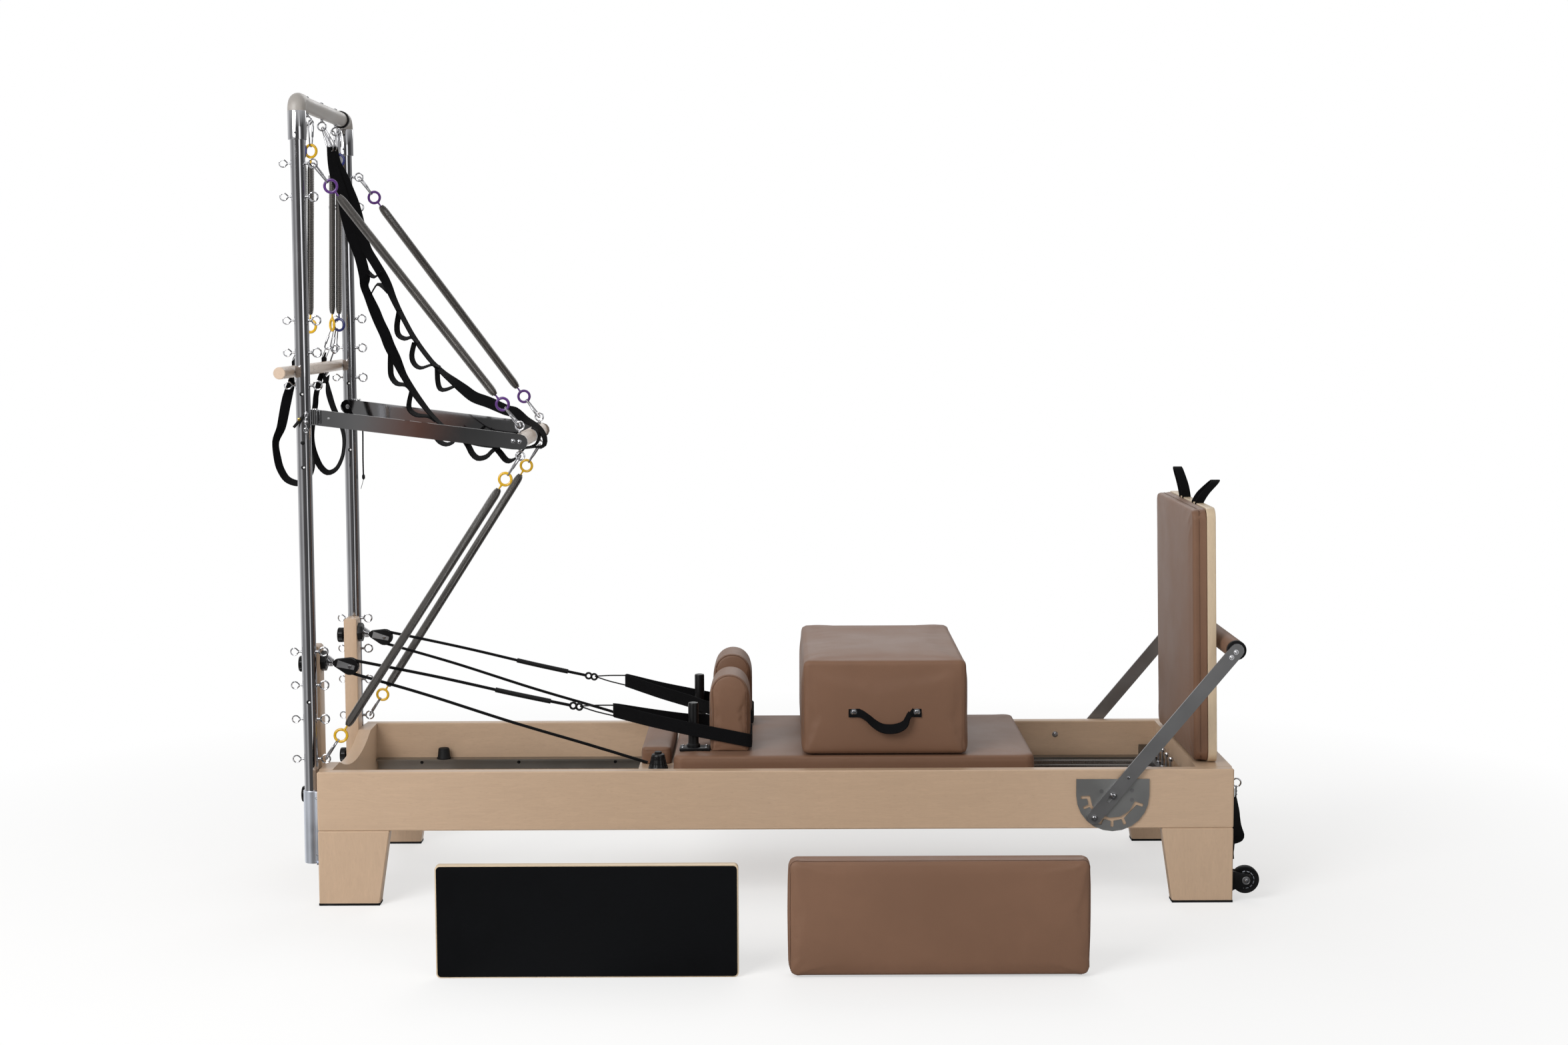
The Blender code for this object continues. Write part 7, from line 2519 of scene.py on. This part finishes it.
@dataclass
class FootEnd:
    """Gear plates, foot bar, tracks, spring bar, and the hardware on the foot end."""

    hardware: Hardware
    face: float = 1.2002
    pivot: Tuple[float, float] = (0.882, 0.288)
    roller: Tuple[float, float] = (1.2008, 0.6693)
    arm_outer: float = 0.3856
    plate_outer: float = 0.3793
    arm_angle: float = 50.1
    wheel: Triple = (1.2375, 0.345, 0.055)
    fork_radius: float = 0.0178
    spring_z: float = 0.2703

    def make_gear(self, side: Side) -> None:
        """The bolts on one gear plate and one arm.

        Args:
            side: Which side of the machine it is on.
        """
        s = side.value
        x, z = self.pivot
        dress(f"gear_plate_{side.label}", GEAR_STEEL)
        dress(f"footbar_arm_{side.label}", GREY_STEEL)
        dress(f"footbar_pivot_{side.label}", CHROME)
        flush = [(0.0056, -GAP), (0.0056, 0.0001), (0.004, 0.00018), (0.003, 0.0001)]
        places = ((-0.03, 0.011), (0.05, 0.013), (0.05, -0.012))
        plate_bolts = [
            turned((x + dx, s * self.plate_outer, z + dz), Y_AXIS * s, flush, 24) for dx, dz in places
        ]
        settle(joined(plate_bolts), f"gear_plate_bolts_{side.label}", GREY_STEEL, "frame")
        angle = math.radians(self.arm_angle)
        heading = Vector((math.cos(angle), 0.0, math.sin(angle)))
        centre = Vector((x, s * self.arm_outer, z))
        pivot_face = self.arm_outer + 0.0043
        cap = hex_bolt((x, s * pivot_face, z), Y_AXIS * s, 0.0092, 0.003)
        settle(cap, f"footbar_pivot_cap_{side.label}", CHROME, "footbar_pivots")
        pieces = [hex_bolt(centre - heading * 0.076 + Y_AXIS * s * 0.004, Y_AXIS * s, 0.0082, 0.0035)]
        tip = Vector((self.roller[0], s * self.arm_outer, self.roller[1]))
        for back in (0.0045, 0.0225):
            pieces.append(hex_bolt(tip - heading * back, Y_AXIS * s, 0.0068, 0.003))
        pieces.append(wood_screw(centre + heading * 0.062, Y_AXIS * s, 0.0042))
        settle(joined(pieces), f"footbar_bolts_{side.label}", CHROME, "footbar")

    def make_roller(self) -> None:
        """The padded roller between black end rings."""
        x, z = self.roller
        reach = 0.3785
        half = ((0.024, 0.01), (0.0252, 0.0135), (0.0256, 0.02))
        profile = [*half, *((r, 2 * reach - h) for r, h in reversed(half))]
        body = turned((x, -reach, z), Y_AXIS, profile, 56)
        pick(body, Pick.FACES, lambda place, normal: abs(normal.y) < 0.3)
        bpy.ops.mesh.subdivide(number_cuts=3)
        rest()
        settle(body, "foot_roller_cover", LEATHER, "footbar", ("footbar_roller",), smooth=SOFT)
        cap = [(0.0245, 0.0), (0.0256, 0.001), (0.0256, 0.0105), (0.0236, 0.0118), (0.0225, 0.0112)]
        ends = []
        for side in Side:
            place = (x, side.value * (reach + 0.0006), z)
            ends.append(turned(place, -Y_AXIS * side.value, cap, 48))
        settle(joined(ends), "foot_roller_ends", RUBBER, "footbar")

    def make_spring_bar(self) -> None:
        """Pegs with ball heads over the bar's solid ones, and the springs to them."""
        dress("spring_bar", BLACK_STEEL)
        rows = [-0.134 + 0.067 * i for i in range(5)]
        profile = [
            (0.007, -GAP), (0.007, 0.004), (0.0048, 0.006), (0.0048, 0.044), (0.0072, 0.0465),
            (0.0078, 0.05), (0.0064, 0.053), (0.003, 0.0545)
        ]
        pegs = [turned((1.075, y, 0.2853), Z_AXIS, profile, 20) for y in rows]
        settle(joined(pegs), "spring_bar_pegs", CHROME, "frame")
        coils, hooks = [], []
        shank = [(0.004, 0.0), (0.004, 0.03), (0.0058, 0.032), (0.0058, 0.04)]
        z = self.spring_z
        for y in rows:
            start, end = Vector((0.712, y, z)), Vector((1.022, y, z))
            coils.append(self.hardware.coil(start, end, 0.0122, 0.0015, 0.014))
            hooks.append(turned((0.6755, y, z), X_AXIS, shank, 12))
            hooks.append(turned((1.0585, y, z), -X_AXIS, shank, 12))
        span = Span("carriage", "frame", (0.69, 0.0, z), (1.05, 0.0, z))
        span.settle(joined(coils), "carriage_spring_coils", WIRE, ("carriage_springs",), smooth=WOUND)
        span.settle(joined(hooks), "carriage_spring_ends", CHROME)

    def make_tracks(self) -> None:
        """Rubber stops over the tracks' solid ones, and the tracks' screw holes."""
        for side in Side:
            # The tracks get the dark brown aluminium: painted shade and painted reflection of the wood
            dress(f"track_{side.label}", TRACK_PAINTED_SHADE)
            profile = [
                (0.0205, -0.0001), (0.0205, 0.003), (0.0182, 0.006), (0.0158, 0.0285), (0.014, 0.0312),
                (0.008, 0.0316)
            ]
            stop = turned((-0.968, side.value * 0.32, 0.255), Z_AXIS, profile, 32)
            settle(stop, f"track_rubber_{side.label}", RUBBER, "frame", (f"track_stop_{side.label}",))
            hole = [(0.0048, 0.0), (0.0048, 0.0006), (0.004, 0.0008)]
            holes = []
            for x in (-1.035, -0.752, -0.47, 0.75):
                place = (x, side.value * 0.3355, 0.2405)
                holes.append(turned(place, -Y_AXIS * side.value, hole, 20))
            settle(joined(holes), f"track_screws_{side.label}", PLASTIC, "frame")

    def make_wheels(self) -> None:
        """The transport wheels with their slots, forks and bolts."""
        for side in Side:
            s = side.value
            x, y, z = self.wheel[0], s * self.wheel[1], self.wheel[2]
            half = (
                (0.0055, 0.0085), (0.011, 0.0085), (0.012, 0.007), (0.02, 0.007), (0.03, 0.01),
                (0.034, 0.0105), (0.0365, 0.007)
            )
            profile = [(r, -h) for r, h in half] + list(reversed(half))
            wheel = turned((x, y, z), Y_AXIS, profile, 48, hollow=True)
            body = f"transport_wheel_{side.label}"
            settle(wheel, f"transport_tyre_{side.label}", RUBBER, body, (body,))
            slots = []
            slot = block((-0.004, -0.0006, -0.0014), (0.004, 0.0006, 0.0014), 0.0005, 1)
            for i in range(12):
                angle = 2 * math.pi * (i + 0.4) / 12
                for hand in (-1, 1):
                    item = copy_of(slot)
                    shift = Matrix.Translation((0.0, hand * 0.0082, 0.0222))
                    turn = Matrix.Rotation(-angle, 4, "Y") @ shift
                    item.data.transform(Matrix.Translation(Vector((x, y, z))) @ turn)
                    slots.append(item)
            bpy.data.objects.remove(slot)
            settle(joined(slots), f"transport_slots_{side.label}", ALUMINIUM, body)
            outline = [(1.2003, z - 0.0262), (1.2003, z + 0.0262), (1.208, z + 0.024)]
            outline += [
                (x + self.fork_radius * math.cos(a), z + self.fork_radius * math.sin(a))
                for a in np.radians(np.linspace(75, -75, 15))
            ]
            outline += [(1.208, z - 0.024)]
            forks, hubs, bolts = [], [], []
            for hand in (-1, 1):
                low, high = sorted((y + hand * 0.0112, y + hand * 0.018))
                forks.append(plate(outline, low, high, 0.001))
                profile = [(0.0106, -GAP), (0.0106, 0.0008), (0.0098, 0.0012), (0.009, 0.0006)]
                hubs.append(turned((x, y + hand * 0.018, z), Y_AXIS * hand, profile, 32))
                bolts.append(hex_bolt((x, y + hand * 0.019, z), Y_AXIS * hand, 0.0064, 0.0042))
            foot = block((self.face, y - 0.0235, z - 0.0258), (1.203, y + 0.0235, z + 0.0258), 0.001, 2)
            settle(joined(forks + [foot]), f"transport_fork_{side.label}", BLACK_STEEL, "frame")
            settle(joined(hubs), f"transport_hubs_{side.label}", GREY_STEEL, "frame")
            settle(joined(bolts), f"transport_bolts_{side.label}", CHROME, "frame")

    def make_end_strap(self) -> None:
        """The eye and the black tie strap on the foot end."""
        y = -0.35
        eye = ring((1.2113, y, 0.315), X_AXIS * 0.25 + Y_AXIS, 0.0105, 0.0021)
        flange = [(0.0062, 0.0), (0.0062, 0.0018), (0.003, 0.0026), (0.003, 0.004)]
        base = turned((self.face, y, 0.315), X_AXIS, flange, 18)
        head = [(0.0018, -0.002), (0.0018, 0.0006), (0.0009, 0.0012)]
        rivets = [turned((1.21, y - 0.0075, z), -Y_AXIS, head, 12) for z in (0.285, 0.294)]
        settle(joined([eye, base] + rivets), "end_strap_eye", CHROME, "frame")
        rows = (
            (1.2095, 0.304, 8), (1.2095, 0.286, 8), (1.2085, 0.276, 10), (1.2073, 0.2692, 14),
            (1.2107, 0.2362, 21), (1.2118, 0.2188, 23), (1.2135, 0.198, 26), (1.2156, 0.1841, 30),
            (1.2177, 0.1685, 33), (1.2104, 0.1564, 20), (1.206, 0.1494, 10), (1.2052, 0.1321, 8),
            (1.204, 0.1147, 3),
        )
        front = [(x, y - 0.001, z, shown / 1000) for x, z, shown in rows]
        webbing = twisted(front, 0.036, 0.003, step=0.005)
        back = twisted([(1.2045, y + 0.004, z, 0.004) for z in (0.3, 0.25, 0.2, 0.15, 0.112)], 0.03, 0.003)
        settle(joined([webbing, back]), "end_strap_webbing", WEBBING, "frame")

    def build(self) -> None:
        """Make the foot end's pieces."""
        for side in Side:
            self.make_gear(side)
        self.make_roller()
        self.make_spring_bar()
        self.make_tracks()
        self.make_wheels()
        self.make_end_strap()
        LOG.info("foot end: gear plates, roller, springs and wheels")


@dataclass
class Woodwork:
    """The wooden frame, its leg pads and its bolts."""

    def build(self) -> None:
        """Dress the boards and add the pads and bolts."""
        for side in Side:
            dress(f"side_rail_{side.label}", MAPLE)
            dress(f"leg_tower_{side.label}", MAPLE_UP)
            dress(f"leg_foot_{side.label}", MAPLE_UP)
        dress("head_board", MAPLE_ACROSS)
        dress("foot_board", MAPLE_ACROSS)
        pads = []
        for side in Side:
            low_y, high_y = sorted((side.value * 0.3295, side.value * 0.3756))
            for low_x, high_x in ((-1.2006, -1.0405), (1.0405, 1.2006)):
                pads.append(block((low_x, low_y, 0.0), (high_x, high_y, 0.0065), 0.0008, 1))
        settle(joined(pads), "leg_pads", RUBBER, "frame")
        bolts = []
        for side in Side:
            inner = side.value * 0.34
            bolts.append(hex_bolt((0.815, inner, 0.316), -Y_AXIS * side.value, 0.0085, 0.005))
        settle(joined(bolts), "rail_bolts", CHROME, "frame")
        LOG.info("woodwork: boards, pads and bolts")


@dataclass
class LooseBoards:
    """The two loose boards that stand in front of the machine."""

    standing: Tuple[Triple, Triple] = ((-0.795, -1.04, 0.0), (-0.086, -1.019, 0.269))
    padded: Tuple[Triple, Triple] = ((0.029, -1.055, 0.0), (0.74, -1.007, 0.283))

    def build(self) -> None:
        """Make the standing board with its grip faces, and the padded board."""
        low, high = self.standing
        board = block(low, high)
        soften(board, 0.011, 8, lambda place, way: abs(way.y) > 0.9)
        soften(board, 0.0012, 2, lambda place, way: abs(way.y) < 0.1)
        settle(board, "standing_board", PALE_PLY, "standing_platform", ("standing_platform",))
        faces, edge = [], 0.0032
        left, right, bottom, top = low[0] + edge, high[0] - edge, low[2] + edge, high[2] - edge
        for front, back in ((low[1] - 0.0014, low[1] + 0.001), (high[1] - 0.001, high[1] + 0.0014)):
            face = block((left, front, bottom), (right, back, top))
            soften(face, 0.009, 8, lambda place, way: abs(way.y) > 0.9)
            faces.append(face)
        settle(joined(faces), "standing_board_grip", GRIP, "standing_platform")
        low, high = self.padded
        pad = Pad(
            "padded_board_cover", "padded_platform", low, high, "padded_platform", corner=0.02,
            corner_axis=1, edge=0.009, back=(1, 1), swell=0.004, voxel=0.006
        )
        seam = rounded_loop(1, low[1] + 0.0115, (low[0], low[2]), (high[0], high[2]), 0.02)
        pad.build([seam], welt=0.0009)
        LOG.info("loose boards: standing and padded")


def main() -> None:
    """Build every sub-assembly in order and report it."""
    logging.basicConfig(level=logging.INFO, format="%(name)s: %(message)s")
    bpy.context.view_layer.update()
    Studio().build()
    hardware = Hardware()
    Woodwork().build()
    Tower(hardware).build()
    LadderStrap(hardware).build()
    RopeGear(hardware).build()
    FootEnd(hardware).build()
    JumpBoard().build()
    LooseBoards().build()
    Carriage().build()


if __name__ == "__main__":
    main()
